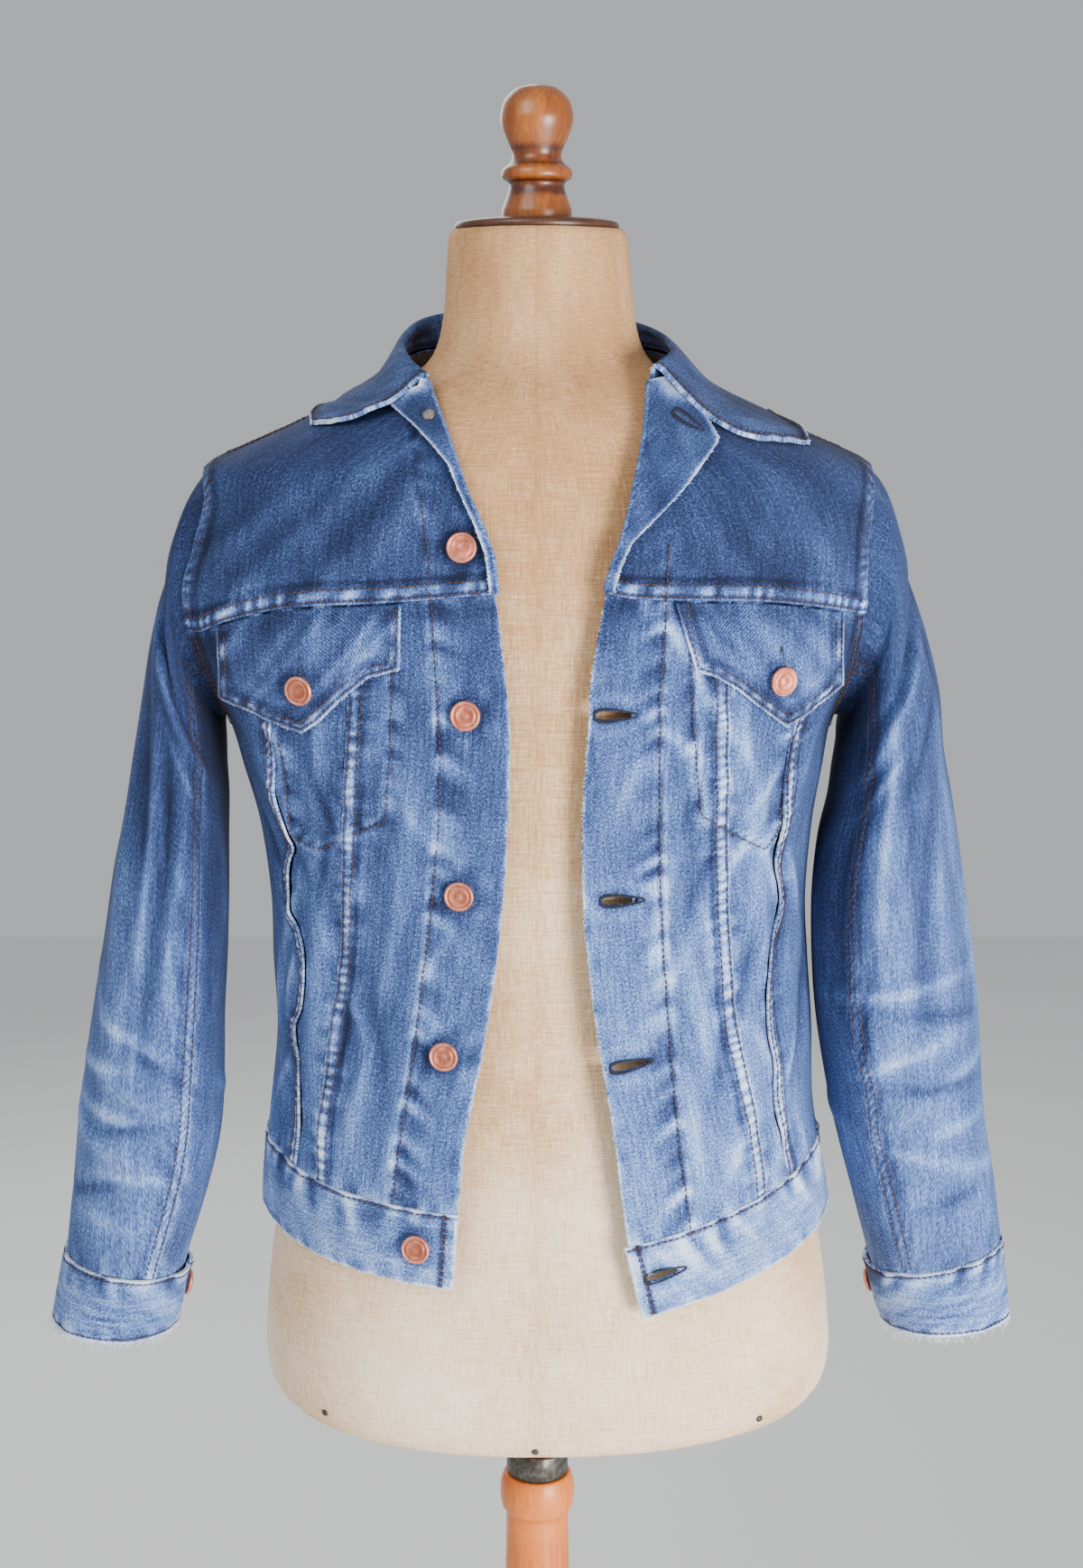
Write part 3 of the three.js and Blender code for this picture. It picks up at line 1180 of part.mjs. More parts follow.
add(dressForm, "form_body", formBody(), linen());
add(dressForm, "neck_cap", turned(CAP_PROFILE, 24), wood());
add(dressForm, "finial", turned(FINIAL_PROFILE, 14), wood());
add(dressForm, "stem", turned(STEM_PROFILE, 18), wood());
add(dressForm, "ferrule", turned(FERRULE_PROFILE, 18), iron());
add(dressForm, "post", turned(POST_PROFILE, 14), wood());
add(dressForm, "base", turned(BASE_PROFILE, 28), wood());

export default jacketOnForm;
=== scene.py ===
import math

import bpy
import numpy as np
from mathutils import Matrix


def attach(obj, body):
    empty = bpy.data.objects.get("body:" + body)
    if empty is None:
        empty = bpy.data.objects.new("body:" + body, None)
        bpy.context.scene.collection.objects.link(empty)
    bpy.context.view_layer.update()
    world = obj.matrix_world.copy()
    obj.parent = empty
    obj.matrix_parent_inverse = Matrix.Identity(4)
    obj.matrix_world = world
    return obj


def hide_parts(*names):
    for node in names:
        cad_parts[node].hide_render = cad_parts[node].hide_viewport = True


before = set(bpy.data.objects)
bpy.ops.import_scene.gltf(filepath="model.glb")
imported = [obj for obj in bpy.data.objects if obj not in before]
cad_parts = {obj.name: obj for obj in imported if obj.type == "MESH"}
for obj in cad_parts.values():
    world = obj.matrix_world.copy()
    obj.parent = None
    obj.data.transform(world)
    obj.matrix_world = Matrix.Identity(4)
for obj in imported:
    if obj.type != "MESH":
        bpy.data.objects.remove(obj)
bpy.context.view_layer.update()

MM = 0.001
STEP = 2.7  # from point to point of the cloth
EDGE_MARKS = (0.0, 0.7, 1.6, 2.8, 4.4)  # closer points beside a cut edge

# Cloth
CLOTH = 1.4  # a shell's thickness
STRIP = 2.2  # of the waistband, cuffs, collar and flaps
SPARE = 0.2  # the solids' walls are thicker than the shells by this
SEAM_GAP = 0.3
FOLD_GAP = 2.2  # between a yoke and the lapel that lies on it
LAPEL_RISE = 1.8  # more than that at the lapel's edge
LEAF_LIFT = 1.2  # from the body to the collar's leaf
FLAP_LIFT = 0.5
FLAP_CURL = 2.5
FLAP_DROP = 1.5
BAND_OUT = 0.8  # from the panels' face to the waistband's

# Seams: angles run from the front through the wearer's left side, in degrees
BAND_HEIGHT = 45
HEM_FRONT = 830
PANEL_MIDDLE = 1050  # the height at which a panel's width is taken
SIDE_SEAM = 96
SHOULDER_SEAM = 90
BACK_SEAM_TOP = 148
BACK_SEAM_HEM = 158
BACK_SEAM_LOW = 870
BACK_YOKE_SEAM = 1214
YOKE_BLEND = 30
SLEEVE_SEAM = 125
SLEEVE_INSET = 0.25  # of each half from that seam
CUFF_LAP = 14
CUFF_OPENING = -165
CUFF_LAP_GAP = 0.5
RING_STEP = 38  # from one sleeve ring to the next
SLEEVE_BLEND = 0.55  # of a ring's step, from the armhole to the sleeve's own rings
SLEEVE_ARC = 0.95  # millimetres for a degree round a sleeve
BODY_ARC = 2.6  # and round the body
FORM_ARC = 2.3  # and round the form
ARMHOLE_CLEAR = 0.35
SLEEVE_SINK = 0.9
ARMHOLE_FROM = 90  # armholes lie farther out than this
ARMHOLE_CENTRE, ARMHOLE_RADIUS = 1222, 62  # to measure along their edges
ARMHOLE_ROWS = (1.6, 6.4)  # of stitches, out from the armhole
FLAP_ROWS = (2.0, 5.6)  # and in from a flap's edge

# Lengths that only set how many points a piece has
BAND_LENGTH = 880
YOKE_WIDTH, YOKE_HEIGHT = 170, 125
COLLAR_LENGTH = 560
FLAP_HEIGHT = 50
CUFF_LENGTH, CUFF_HEIGHT = 250, 48

# Buttons
BUTTON_RADIUS = 8.5
SHANK_RADIUS = 3
SHANK_HEIGHT = 1.1
BUTTON_THICK = 2.6
BUTTON_TOP = SHANK_HEIGHT + BUTTON_THICK
TACK_RADIUS = 3.8
TACK_CLEAR = 0.5

# Lamps: name, place and size in metres, and power. They point at a height over the middle.
LAMPS = (
    ("key", (1.6, -2.0, 0.75), 1.1, 115),
    ("top", (-1.2, -1.8, 2.6), 1.4, 38),
    ("back", (-0.8, 2.2, 2.2), 1.6, 30),
)
LAMP_AIM = 1.05

# Thread
STITCH = 2.7
STITCH_GAP = 1.0
THREAD = 0.48  # its radius
THREAD_LIFT = 0.3
WHIP_THREAD, FLAP_WHIP_THREAD, FRAY_THREAD = 0.5, 0.4, 0.2  # radii
WHIP_LONGER, WHIP_WIDER = 3.6, 4.2  # by which a worked rim is larger than its buttonhole

# The photograph's camera
CAMERA_PLACE = (0.0027, -1.3479, 1.35)  # in metres
CAMERA_TILT = 10.3  # down, in degrees
LENS_PIXELS = 2500
PICTURE_HEIGHT = 1737


def table(names, *rows):
    """Named columns from rows of numbers."""
    return {name: np.array(column, float) for name, column in zip(names.split(), zip(*rows))}


TORSO = table(
    "z right left front back middle square",
    (800, 170, 181, 123, 110, 8, 2.3), (830, 169.5, 181.5, 122, 109, 8, 2.3),
    (850, 171, 181, 121, 109, 8, 2.3), (880, 169, 175.5, 119.5, 108, 8, 2.3),
    (916, 163.5, 170.5, 118.5, 106, 7, 2.3), (960, 160, 169, 118, 104, 6, 2.3),
    (1003, 161.5, 165.5, 118, 103, 5, 2.3), (1040, 162, 163.5, 118, 104, 5, 2.3),
    (1087, 167.5, 166.5, 119, 107, 4, 2.35), (1120, 176, 171.5, 120, 110, 3, 2.4),
    (1150, 185, 177, 120.5, 112, 3, 2.4), (1180, 202, 192, 120, 113, 2, 2.4),
    (1205, 216, 201, 119.5, 113, 2, 2.35), (1230, 219, 204, 118, 112, 1, 2.3),
    (1255, 211, 205, 115, 110.5, 1, 2.25), (1278, 200, 203, 110.5, 107, 0, 2.2),
    (1297, 194, 196, 105, 102.5, 0, 2.15), (1305, 179, 183, 102, 100, 0, 2.1),
    (1315, 157, 160, 98, 96.5, 0, 2.05), (1325, 134, 136, 93, 91.5, 0, 2),
    (1335, 112, 114, 87.5, 86, 0, 2), (1345, 95, 97, 81, 80, 0, 2), (1356, 80, 82, 74, 73, 0, 2),
    (1368, 70, 72, 66, 66, 0, 2),
)

FRONT_SEAMS = {
    "right": table(
        "z edge inner outer",
        (872, 46, 131, 144.5), (889, 44.2, 130, 142.9), (916, 41.6, 128.7, 138.9),
        (947, 35.4, 124.5, 141.1), (969, 31, 121.6, 143.5), (985, 28.3, 119.5, 136.2),
        (1006, 25, 116.4, 132.5), (1026, 22.2, 114.4, 135.8), (1041, 20.5, 113, 142.2),
        (1065, 18.4, 111.8, 143.2), (1083, 17, 111, 139.2), (1091, 16.6, 110.6, 142),
        (1112, 15.4, 109.3, 148.2), (1129, 14.9, 108, 149.1), (1156, 14.7, 106.6, 150.9),
        (1186, 17, 105, 152), (1232, 22.4, 104, 152),
    ),
    "left": table(
        "z edge inner outer",
        (856, 52.5, 137, 150.5), (883, 48.7, 134.8, 149.4), (894, 47.5, 133.2, 146.1),
        (923, 43.7, 128, 139.8), (951, 39.1, 121.5, 138.1), (974, 35.2, 116.8, 134.5),
        (996, 32, 114, 132.9), (1017, 29.5, 112.4, 134.4), (1034, 27.7, 111.2, 139.6),
        (1050, 26.3, 110.2, 140.9), (1068, 25.6, 109.5, 135.6), (1076, 25.4, 109.2, 135.7),
        (1097, 25.3, 108.8, 140), (1113, 25.5, 108.5, 140.8), (1142, 27.3, 108, 143.5),
        (1160, 28.5, 107.6, 148.5), (1186, 30, 107.4, 149.5), (1233, 38, 107, 150),
    ),
}

YOKE_SEAM = {
    "right": table("x z", (20, 1232), (74, 1227), (138, 1222), (172, 1213.5), (195, 1204.5)),
    "left": table("x z", (36, 1233.3), (52, 1229), (123, 1226), (156, 1221.6), (186, 1215)),
}

LAPEL = {
    "right": table(
        "z fold edge",
        (1233, 22.3, 25.5), (1252, 24.4, 27.6), (1269, 30.9, 34.1), (1286, 38.9, 42.2),
        (1299, 43.5, 47.5), (1310, 47.3, 57), (1320, 51, 67.5), (1330, 55, 80.5), (1335, 57, 77),
        (1339, 58.6, 64), (1343, 60, 63),
    ),
    "left": table(
        "z fold edge",
        (1235, 38.6, 42.5), (1248, 42.6, 46.6), (1259, 46.8, 52), (1271, 50.3, 64.4), (1286, 53.8, 79.3),
        (1298, 56.2, 89.4), (1311, 59, 100), (1323, 60.8, 93), (1335, 61.8, 79), (1347, 62.8, 67.5),
    ),
}

NECK_SEAM = table("angle z", (0, 1344), (40, 1345), (60, 1351), (90, 1360), (130, 1366), (180, 1367))

HEM = table(
    "angle z",
    (-180, 838), (-90, 846), (-74, 846), (-60, 843), (-45, 837.5), (-30, 833.5), (-15, 830), (-8, 830),
    (0, 830), (4, 812), (8, 808.5), (15, 811), (30, 820), (45, 829), (60, 837), (74, 843), (90, 846),
    (180, 838),
)

ARMHOLE = {
    "right": {"top": 1296.5, "bottom": 1149, "middle": 3, "half": 56, "square": 2.25},
    "left": {"top": 1298, "bottom": 1148, "middle": 3, "half": 56, "square": 2.25},
}

RING_COLUMNS = "s ox oz ix iz middle half bulge turn"
SLEEVE = {
    "right": table(
        RING_COLUMNS,
        (0, 193.5, 1296.5, 181, 1149, 3, 56, 18, 0), (1, 203, 1281, 189, 1148, 3, 56.5, 14, 0),
        (2, 211, 1260, 189, 1144, 2, 58.5, 10, 0), (3, 220, 1230, 189, 1138, 1, 61.5, 6, 1),
        (4, 227.5, 1200, 188.5, 1129, 0, 65, 3, 2), (5, 234, 1167, 188, 1116, -1, 68, 1, 4),
        (6, 241, 1133, 187, 1098, -2, 70, 0, 5), (7, 248, 1098, 187.5, 1073, -3, 70, 0, 6),
        (8, 257, 1060, 188, 1040, -4, 68, 0, 7), (9, 264, 1018, 189.5, 1003, -5, 65, 0, 7),
        (10, 271, 979, 192, 965, -6, 61, 0, 7), (11, 277.5, 940, 193, 928, -8, 57, 0, 6),
        (12, 283.5, 900, 195.5, 893, -9, 52, 0, 5), (13, 288, 860, 204, 856, -10, 47.5, 0, 4),
        (14, 293.5, 816, 220.5, 804.5, -11, 42.5, 0, 3),
    ),
    "left": table(
        RING_COLUMNS,
        (0, 196, 1298, 173, 1148, 3, 56, 0, 0), (1, 206, 1283, 183, 1147.5, 3, 56.5, 7, 0),
        (2, 213, 1260, 183.5, 1143, 2, 58.5, 6, 0), (3, 221, 1230, 182, 1137, 1, 61, 4, 0),
        (4, 232, 1199, 181, 1128, 0, 64.5, 2, 2), (5, 240.5, 1166, 179, 1115, -1, 67.5, 1, 2),
        (6, 244.5, 1131, 176.5, 1097, -2, 69, 0, 3), (7, 251.5, 1098, 170.5, 1073, -3, 69, 0, 6),
        (8, 258, 1060, 167.5, 1040, -4, 67, 0, 8), (9, 264.5, 1018, 168, 1004, -5, 64, 0, 8),
        (10, 269.5, 979, 171, 966, -6, 60, 0, 7), (11, 272.5, 940, 177, 928, -8, 56, 0, 3),
        (12, 276.5, 900, 184.5, 893, -9, 51.5, 0, 3), (13, 284, 858, 195.5, 852, -10, 47.5, 0, 3),
        (14, 289.5, 822, 208, 806, -9, 42, 0, 3),
    ),
}
CUFF = {
    "right": table(
        RING_COLUMNS,
        (0, 304.5, 771, 229, 764, -12, 42, 0, 2), (1, 295.5, 815, 218.8, 803.5, -11, 44, 0, 3),
    ),
    "left": table(
        RING_COLUMNS,
        (0, 298, 770, 219.5, 764, -6, 37, 0, 2), (1, 291.2, 821, 206.2, 805, -9, 43.5, 0, 3),
    ),
}

BAND_ENDS = {"right": (48.4, 45.2), "left": (56.5, 45.5)}  # bottom and top, out from the middle

COLLAR = table(
    "turn kx ky kz ex ey ez bow",
    (39, -62, -66, 1351, -129, -46, 1323, 17), (58, -73, -42, 1360, -131, -16, 1328, 9),
    (85, -78, -8, 1369, -124, 12, 1330, 3), (112, -72, 24, 1380, -110, 42, 1333, 0),
    (138, -58, 50, 1386, -82, 66, 1337, 0), (160, -30, 66, 1388, -42, 83, 1339, 0),
    (180, 0, 71, 1388, 0, 88, 1339, 0), (200, 29, 66, 1386, 43, 83, 1338, 0),
    (222, 56, 50, 1382, 84, 66, 1335, 0), (248, 72, 24, 1375, 115, 42, 1331, 0),
    (275, 79, -8, 1367, 138, 12, 1325, 3), (302, 76, -42, 1362, 150, -18, 1317, 10),
    (320.5, 66, -63, 1356, 154, -46, 1309, 20),
)
ROLL_INSIDE = (-2.6, -2.2)  # out from the crest and up
ROLL_OUTSIDE = (4.6, -2.4)
STAND_SHARE = 0.55
STAND_LEAN = -0.8
STAND_START = 0.8
LEAF_SHARES = (0.3, 0.52, 0.76, 1)

FLAP_LEAN = {"right": 1, "left": 11}
FLAP = {
    "right": table(
        "x z",
        (75, 1190), (92, 1185.5), (108, 1172), (120, 1159.5), (129.5, 1152.7), (142, 1156.5),
        (161, 1163), (180, 1168.5),
    ),
    "left": table(
        "x z",
        (87, 1189), (98, 1185.5), (110, 1178), (124, 1166.5), (138.5, 1155), (148, 1160), (160, 1167.5),
        (173, 1176),
    ),
}

FRONT_BUTTONS = {
    "yoke_button": (40.7, 1256.5, 0),
    "front_button_1": (39.1, 1165, 0),
    "front_button_2": (43.2, 1062.6, 0),
    "front_button_3": (52.5, 968.8, 0),
    "waistband_button": (69.2, 853.4, BAND_OUT),
}
NECK_TACK = (58.4, 1325)
POCKET_BUTTONS = {"right": (130, 1177.5), "left": (135, 1182)}
HOLE_LENGTH, HOLE_WIDTH = 23, 5
HOLE_MARKS_ACROSS = np.arange(-4.8, 4.9, 1.2)  # more rows and columns of points at a buttonhole
HOLE_MARKS_ALONG = np.arange(-12, 12.1, 1.5)
FRONT_HOLES = ((44, 1165, 0), (48, 1059.5, 0), (54, 963.4, 9))
BAND_HOLE = (74, 838, 12)
LAPEL_HOLE = (83, 1321, -33)
LAPEL_HOLE_SIZE = (18, 2.6)
FLAP_HOLE_RISE = 11  # above the flap's button
FLAP_HOLE_SIZES = ((13, 1.6), (15.5, 4.2))  # the opening and the worked rim

FOLD_COLUMNS = "angle at slant long wide high"
TORSO_FOLDS = table(
    FOLD_COLUMNS,
    (-50, 1010, 8, 70, 11, 4), (-42, 1015, -6, 50, 9, -3), (-58, 1120, -14, 40, 10, 3),
    (-64, 930, 10, 40, 10, -3), (-30, 1000, 3, 90, 14, -2), (48, 1060, -8, 60, 10, 4),
    (56, 1010, 10, 55, 9, -3), (60, 1130, 16, 36, 10, 3), (42, 950, -4, 60, 12, 2.5),
    (26, 1010, 2, 90, 13, -2), (-118, 1010, 10, 80, 12, 4), (-132, 930, -8, 50, 12, -3),
    (122, 1000, -9, 75, 12, 4), (137, 940, 7, 55, 12, -3), (176, 1010, 4, 85, 14, 3),
)
SLEEVE_FOLDS = {
    "right": table(
        FOLD_COLUMNS,
        (60, 3.2, 62, 45, 9, -4), (95, 4.6, 50, 40, 9, 4), (40, 7.5, 4, 110, 10, 4),
        (80, 8, -3, 100, 12, -4), (70, 11.2, 70, 34, 7, 3), (60, 12.2, 78, 36, 7, 3),
        (-60, 9, 10, 90, 12, 3), (-90, 12, 70, 34, 8, -3),
    ),
    "left": table(
        FOLD_COLUMNS,
        (60, 3.4, 62, 45, 9, -4), (100, 4.8, 50, 40, 9, 4), (90, 7.8, -4, 110, 11, 4),
        (128, 7.4, 3, 90, 11, -4), (70, 10.4, 80, 40, 7, 3), (95, 11.5, 60, 34, 7, 3),
        (-60, 9, -8, 90, 12, 3), (-95, 11.6, 74, 34, 8, -3),
    ),
}

# Smaller creases, in the same columns. Ridges also fade paler, hollows stay darker.
TORSO_CREASES = table(
    FOLD_COLUMNS,
    (-24, 1196, 20, 26, 4, 0.9), (-27, 1170, 35, 20, 4, -0.8), (-31, 1128, 28, 30, 5, 1.0),
    (-34, 1105, -30, 22, 4, -0.9), (-20, 1110, 8, 36, 5, 0.7), (-27, 1040, 12, 44, 5, 0.8),
    (-33, 985, -8, 40, 5, -0.9), (-37, 940, 14, 34, 5, 0.9), (-28, 905, 6, 24, 5, 0.8),
    (-24, 892, -10, 22, 4, -0.7), (-44, 1080, 20, 26, 4, -1.0), (-52, 1150, -40, 22, 5, 0.9),
    (-60, 1040, 34, 26, 5, 1.0), (-66, 1075, -28, 26, 5, -0.9), (-72, 985, 20, 30, 6, 1.0),
    (-78, 905, -24, 30, 6, 0.9), (20, 1200, -34, 34, 4, 1.2), (25, 1188, -28, 26, 4, -1.0),
    (29, 1165, -42, 32, 4, 1.1), (33, 1120, 26, 30, 5, 0.9), (27, 1100, -12, 40, 5, -0.8),
    (22, 1050, 6, 40, 5, 0.8), (30, 1000, -10, 46, 5, 0.9), (36, 960, 12, 36, 5, -0.9),
    (29, 915, -4, 30, 5, 0.9), (44, 1010, 24, 24, 5, -1.0), (50, 960, -32, 22, 5, 0.9),
    (54, 905, 18, 26, 5, 0.9), (64, 1060, -30, 28, 5, 1.0), (70, 985, 26, 30, 6, -0.9),
    (-100, 1090, 24, 34, 7, 1.0), (-110, 950, -30, 34, 7, 1.0), (-128, 1070, 16, 44, 8, -0.9),
    (-140, 1150, -12, 38, 7, 0.8), (-150, 985, 10, 46, 8, 0.9), (-166, 1100, -6, 56, 8, -0.8),
    (170, 930, 12, 40, 8, 0.9), (158, 1060, -14, 48, 8, 0.9), (146, 1140, 18, 36, 7, -0.8),
    (128, 1080, -24, 36, 7, 0.9), (112, 960, 28, 34, 7, -1.0), (104, 1110, -20, 30, 7, 0.9),
    (150, 900, 60, 30, 6, 0.7), (-160, 895, -64, 34, 6, 0.7), (-150, 1290, 50, 50, 10, 0.9),
    (152, 1285, -46, 46, 10, 0.8), (-19, 1272, 14, 40, 7, 1.1), (-27, 1268, 30, 46, 7, -1.2),
    (-33, 1276, 38, 50, 7, 1.3), (-42, 1258, 46, 54, 8, -0.9), (-46, 1272, 50, 50, 8, 0.9),
    (-58, 1262, 56, 42, 7, -0.6), (-36, 1240, 70, 40, 6, 0.7), (26, 1262, -24, 44, 7, 0.9),
    (34, 1250, -38, 44, 7, -0.8), (46, 1264, -30, 52, 8, 0.9), (54, 1244, -60, 36, 7, 0.7),
    (60, 1272, -50, 40, 7, -0.5), (-17, 1090, -24, 22, 3, 0.8), (-19, 1020, 30, 22, 3, 0.8),
    (-22, 950, 24, 20, 3, -0.7), (-30, 1215, 12, 22, 4, 1.0), (-38, 1150, 16, 26, 4, 1.0),
    (-41, 1110, -14, 22, 4, -0.9), (-36, 1060, 22, 24, 4, 0.9), (-40, 1000, -26, 26, 4, 1.0),
    (-44, 960, 26, 22, 4, -0.9), (-48, 910, -16, 22, 4, 0.9), (-55, 1080, -40, 22, 4, -0.9),
    (-62, 1000, 30, 26, 4, 1.0), (-68, 940, 40, 24, 4, 0.9), (14, 1130, 18, 30, 4, 0.7),
    (18, 1215, -26, 26, 4, 1.1), (22, 1150, -52, 26, 4, 1.1), (24, 1010, 30, 24, 4, 0.8),
    (31, 1070, 22, 24, 4, -0.8), (33, 1040, -18, 26, 4, 0.9), (38, 1145, -24, 26, 4, 1.0),
    (41, 1085, 30, 24, 4, 1.0), (40, 905, 28, 24, 4, 0.9), (46, 1120, 40, 26, 4, 1.0),
    (52, 1065, -34, 26, 4, 1.1), (58, 1020, 36, 22, 4, -0.9), (60, 950, 30, 24, 4, 0.9),
    (66, 900, -20, 24, 4, 0.9),
)
SLEEVE_CREASES = {
    "right": table(
        FOLD_COLUMNS,
        (69, 8.0, 2, 120, 4, 1.3), (84, 6.6, 4, 60, 5, -1.0), (100, 7.6, -6, 70, 5, 0.8),
        (116, 6.2, 8, 60, 6, -0.9), (52, 4.6, 10, 60, 5, 0.8), (28, 2.3, 20, 44, 6, 0.8),
        (52, 2.9, 54, 34, 5, -1.0), (74, 3.9, 60, 34, 5, 1.1), (100, 5.6, 42, 30, 5, 1.0),
        (112, 4.3, 48, 26, 5, -0.9), (20, 5.5, -8, 70, 7, 0.8), (58, 6.4, 8, 60, 6, -0.9),
        (10, 8.4, 6, 70, 7, -0.8), (62, 9.4, -6, 48, 6, 0.9), (96, 9.0, 10, 44, 6, 0.9),
        (30, 9.9, 62, 24, 4, 0.9), (64, 10.3, 78, 32, 4, 1.2), (92, 10.7, 66, 26, 4, -1.1),
        (40, 10.9, 96, 32, 4, 1.2), (76, 11.8, 100, 30, 4, -1.2), (50, 11.6, 84, 34, 4, 1.3),
        (22, 11.9, 70, 22, 4, 0.9), (86, 12.6, 88, 30, 4, 1.2), (44, 12.9, 104, 30, 4, -1.1),
        (64, 13.3, 80, 24, 4, 0.9), (-30, 4.2, -20, 50, 8, 0.9), (-74, 6.0, 30, 44, 8, -1.0),
        (-104, 8.6, -24, 40, 7, 1.0), (-40, 11.0, 64, 30, 5, 1.1), (-70, 12.6, -70, 28, 5, -1.0),
        (-110, 11.3, 84, 26, 5, 1.0), (160, 7.8, 8, 50, 7, 0.8), (175, 11.2, 70, 24, 5, 0.9),
    ),
    "left": table(
        FOLD_COLUMNS,
        (95, 6.8, 1, 110, 4, 1.3), (76, 6.6, -4, 70, 5, -0.8), (50, 7.8, 4, 80, 6, 0.8),
        (112, 9.8, 14, 30, 4, -1.2), (30, 4.4, -10, 60, 6, -0.8), (24, 2.2, 16, 46, 6, 0.8),
        (50, 3.0, 58, 34, 5, -1.0), (78, 4.2, 56, 34, 5, 1.1), (104, 5.8, 44, 30, 5, 1.0),
        (60, 5.4, 30, 36, 5, -0.8), (34, 6.8, -6, 66, 7, 0.8), (66, 8.4, 10, 60, 6, -0.9),
        (14, 9.2, -4, 66, 7, 0.8), (112, 9.6, -8, 44, 6, 0.9), (84, 9.5, 88, 50, 4, 1.3),
        (58, 10.0, 100, 34, 4, -1.1), (100, 10.6, 74, 30, 4, 1.1), (40, 10.9, 80, 26, 4, 1.0),
        (74, 11.1, 94, 34, 4, -1.2), (54, 11.8, 84, 28, 4, 1.1), (92, 12.2, 104, 26, 4, 1.0),
        (70, 12.9, 78, 26, 4, -1.0), (36, 12.5, 96, 24, 4, 0.9), (-34, 4.4, 18, 50, 8, -0.9),
        (-70, 6.4, -28, 44, 8, 1.0), (-100, 9.0, 22, 40, 7, 1.0), (-44, 11.2, -66, 30, 5, 1.0),
        (-76, 12.4, 72, 28, 5, -1.0), (-112, 11.0, -80, 26, 5, 1.0), (165, 8.2, -8, 50, 7, 0.8),
        (180, 11.6, -70, 24, 5, 0.9),
    ),
}

# Stitched lines on the fronts: distance out from the middle and height.
PLACKET = {
    "right": table(
        "z x",
        (866, 85), (902, 80.5), (962, 71), (1026, 62.5), (1058, 58.6), (1100, 54.6), (1141, 53.2),
        (1211, 56.6), (1250, 59), (1284, 63.5), (1318, 68.6), (1338, 72),
    ),
    "left": table(
        "z x",
        (855, 90), (885, 86.1), (924, 81), (956, 78), (994, 74.5), (1031, 71.6), (1068, 69.1),
        (1171, 67.9), (1221, 70.5), (1262, 72.5),
    ),
}
POCKET_BAG = {
    "right": (
        (79, 1200), (81.5, 1140), (84.7, 1103.6), (101.5, 1095.4), (123.5, 1083.1), (140.3, 1088.7),
        (146, 1150),
    ),
    "left": (
        (84, 1200), (88, 1144.7), (92.3, 1106.7), (107.2, 1096.4), (127.6, 1083.4), (137.7, 1089),
        (146, 1150),
    ),
}

FORM = table(
    "z right left front back middle square",
    (716.5, 151, 164, 101, 96, 4, 2.25), (721, 159, 172, 107, 102, 4, 2.25),
    (731, 167.5, 181, 110.5, 105.5, 4, 2.25), (748, 171, 184.3, 112, 107, 4, 2.25),
    (770, 170.7, 183, 112, 107, 4, 2.25), (800, 168, 180, 111.5, 106, 4, 2.25),
    (825, 164.5, 176, 110, 104, 5, 2.25), (860, 156, 167, 107, 100, 5, 2.25),
    (905, 144, 155, 103, 95, 5, 2.2), (955, 137, 145, 101, 91, 5, 2.2),
    (1010, 140, 145, 102, 91, 4, 2.2), (1070, 149, 150, 105.5, 96, 3, 2.2),
    (1130, 157, 157, 108, 101, 2, 2.2), (1185, 163, 164, 108, 103, 1, 2.2),
    (1235, 168, 170, 106, 102.5, 1, 2.2), (1268, 171, 173, 102.5, 100, 0, 2.15),
    (1290, 168, 170, 98.5, 96.5, 0, 2.1), (1303, 160, 163, 95, 94, 0, 2.05),
    (1314, 150, 152, 91.5, 91, 0, 2), (1324, 131, 133, 87, 86.5, 0, 2), (1333, 111, 113, 81, 81, 0, 2),
    (1343, 88, 91, 73, 74, 0, 2), (1353, 69, 72, 64, 65, 0, 2), (1364, 60, 62.5, 57.5, 58.5, 0, 2),
    (1385, 55, 57, 54.5, 55, 0, 2), (1410, 53.2, 54.9, 53, 53.5, 0, 2),
    (1429, 51.5, 52.4, 51.2, 52, 0, 2), (1432, 49.5, 50.4, 49, 50, 0, 2),
)

CAP_PROFILE = ((47.5, 1432.3), (47.8, 1434.5), (46, 1436.4), (38, 1437.6))
FINIAL_PROFILE = (
    (20.1, 1438.3), (20.3, 1443), (19.4, 1446), (16.2, 1455), (16.6, 1459), (20.2, 1461.5), (20, 1466),
    (16, 1469.5), (14.2, 1473), (14.8, 1477), (18, 1484), (20.6, 1491), (21, 1497), (18.6, 1505),
    (12.5, 1511), (5, 1513.3),
)
STEM_PROFILE = ((17.4, 674.4), (18.6, 716.2))
FERRULE_PROFILE = ((19, 657.6), (19.6, 658.6), (19.6, 673), (19, 674.1))
POST_PROFILE = (
    (27, 60.3), (29, 75), (24, 92), (22.5, 140), (25.5, 300), (24, 450), (20.6, 588), (19.9, 624),
    (20.2, 631), (22.6, 635), (23.7, 642), (23.4, 650), (21.6, 656), (20.4, 657.3),
)
BASE_PROFILE = (
    (171, 0), (175, 4), (175, 18), (170, 26), (150, 31), (70, 37), (44, 45), (34, 54), (32, 60),
)

# How pale the cloth is at each height and at each ring of a sleeve, and the form's painted light at each of
# its heights, brighter lower down
BODY_TONES = (
    (810, 0.68), (870, 0.45), (950, 0.32), (1080, 0.08), (1190, -0.06), (1226, -0.2), (1240, -0.46),
    (1300, -0.44), (1370, -0.3),
)
SLEEVE_TONES = ((0, -0.3), (3, -0.25), (6, -0.05), (9, 0.2), (12, 0.42), (14, 0.36))
FORM_PAINTED_LIGHT = ((716, 0.9), (760, 1.1), (900, 0.75), (1200, 0.0), (1340, -0.35), (1432, -0.35))

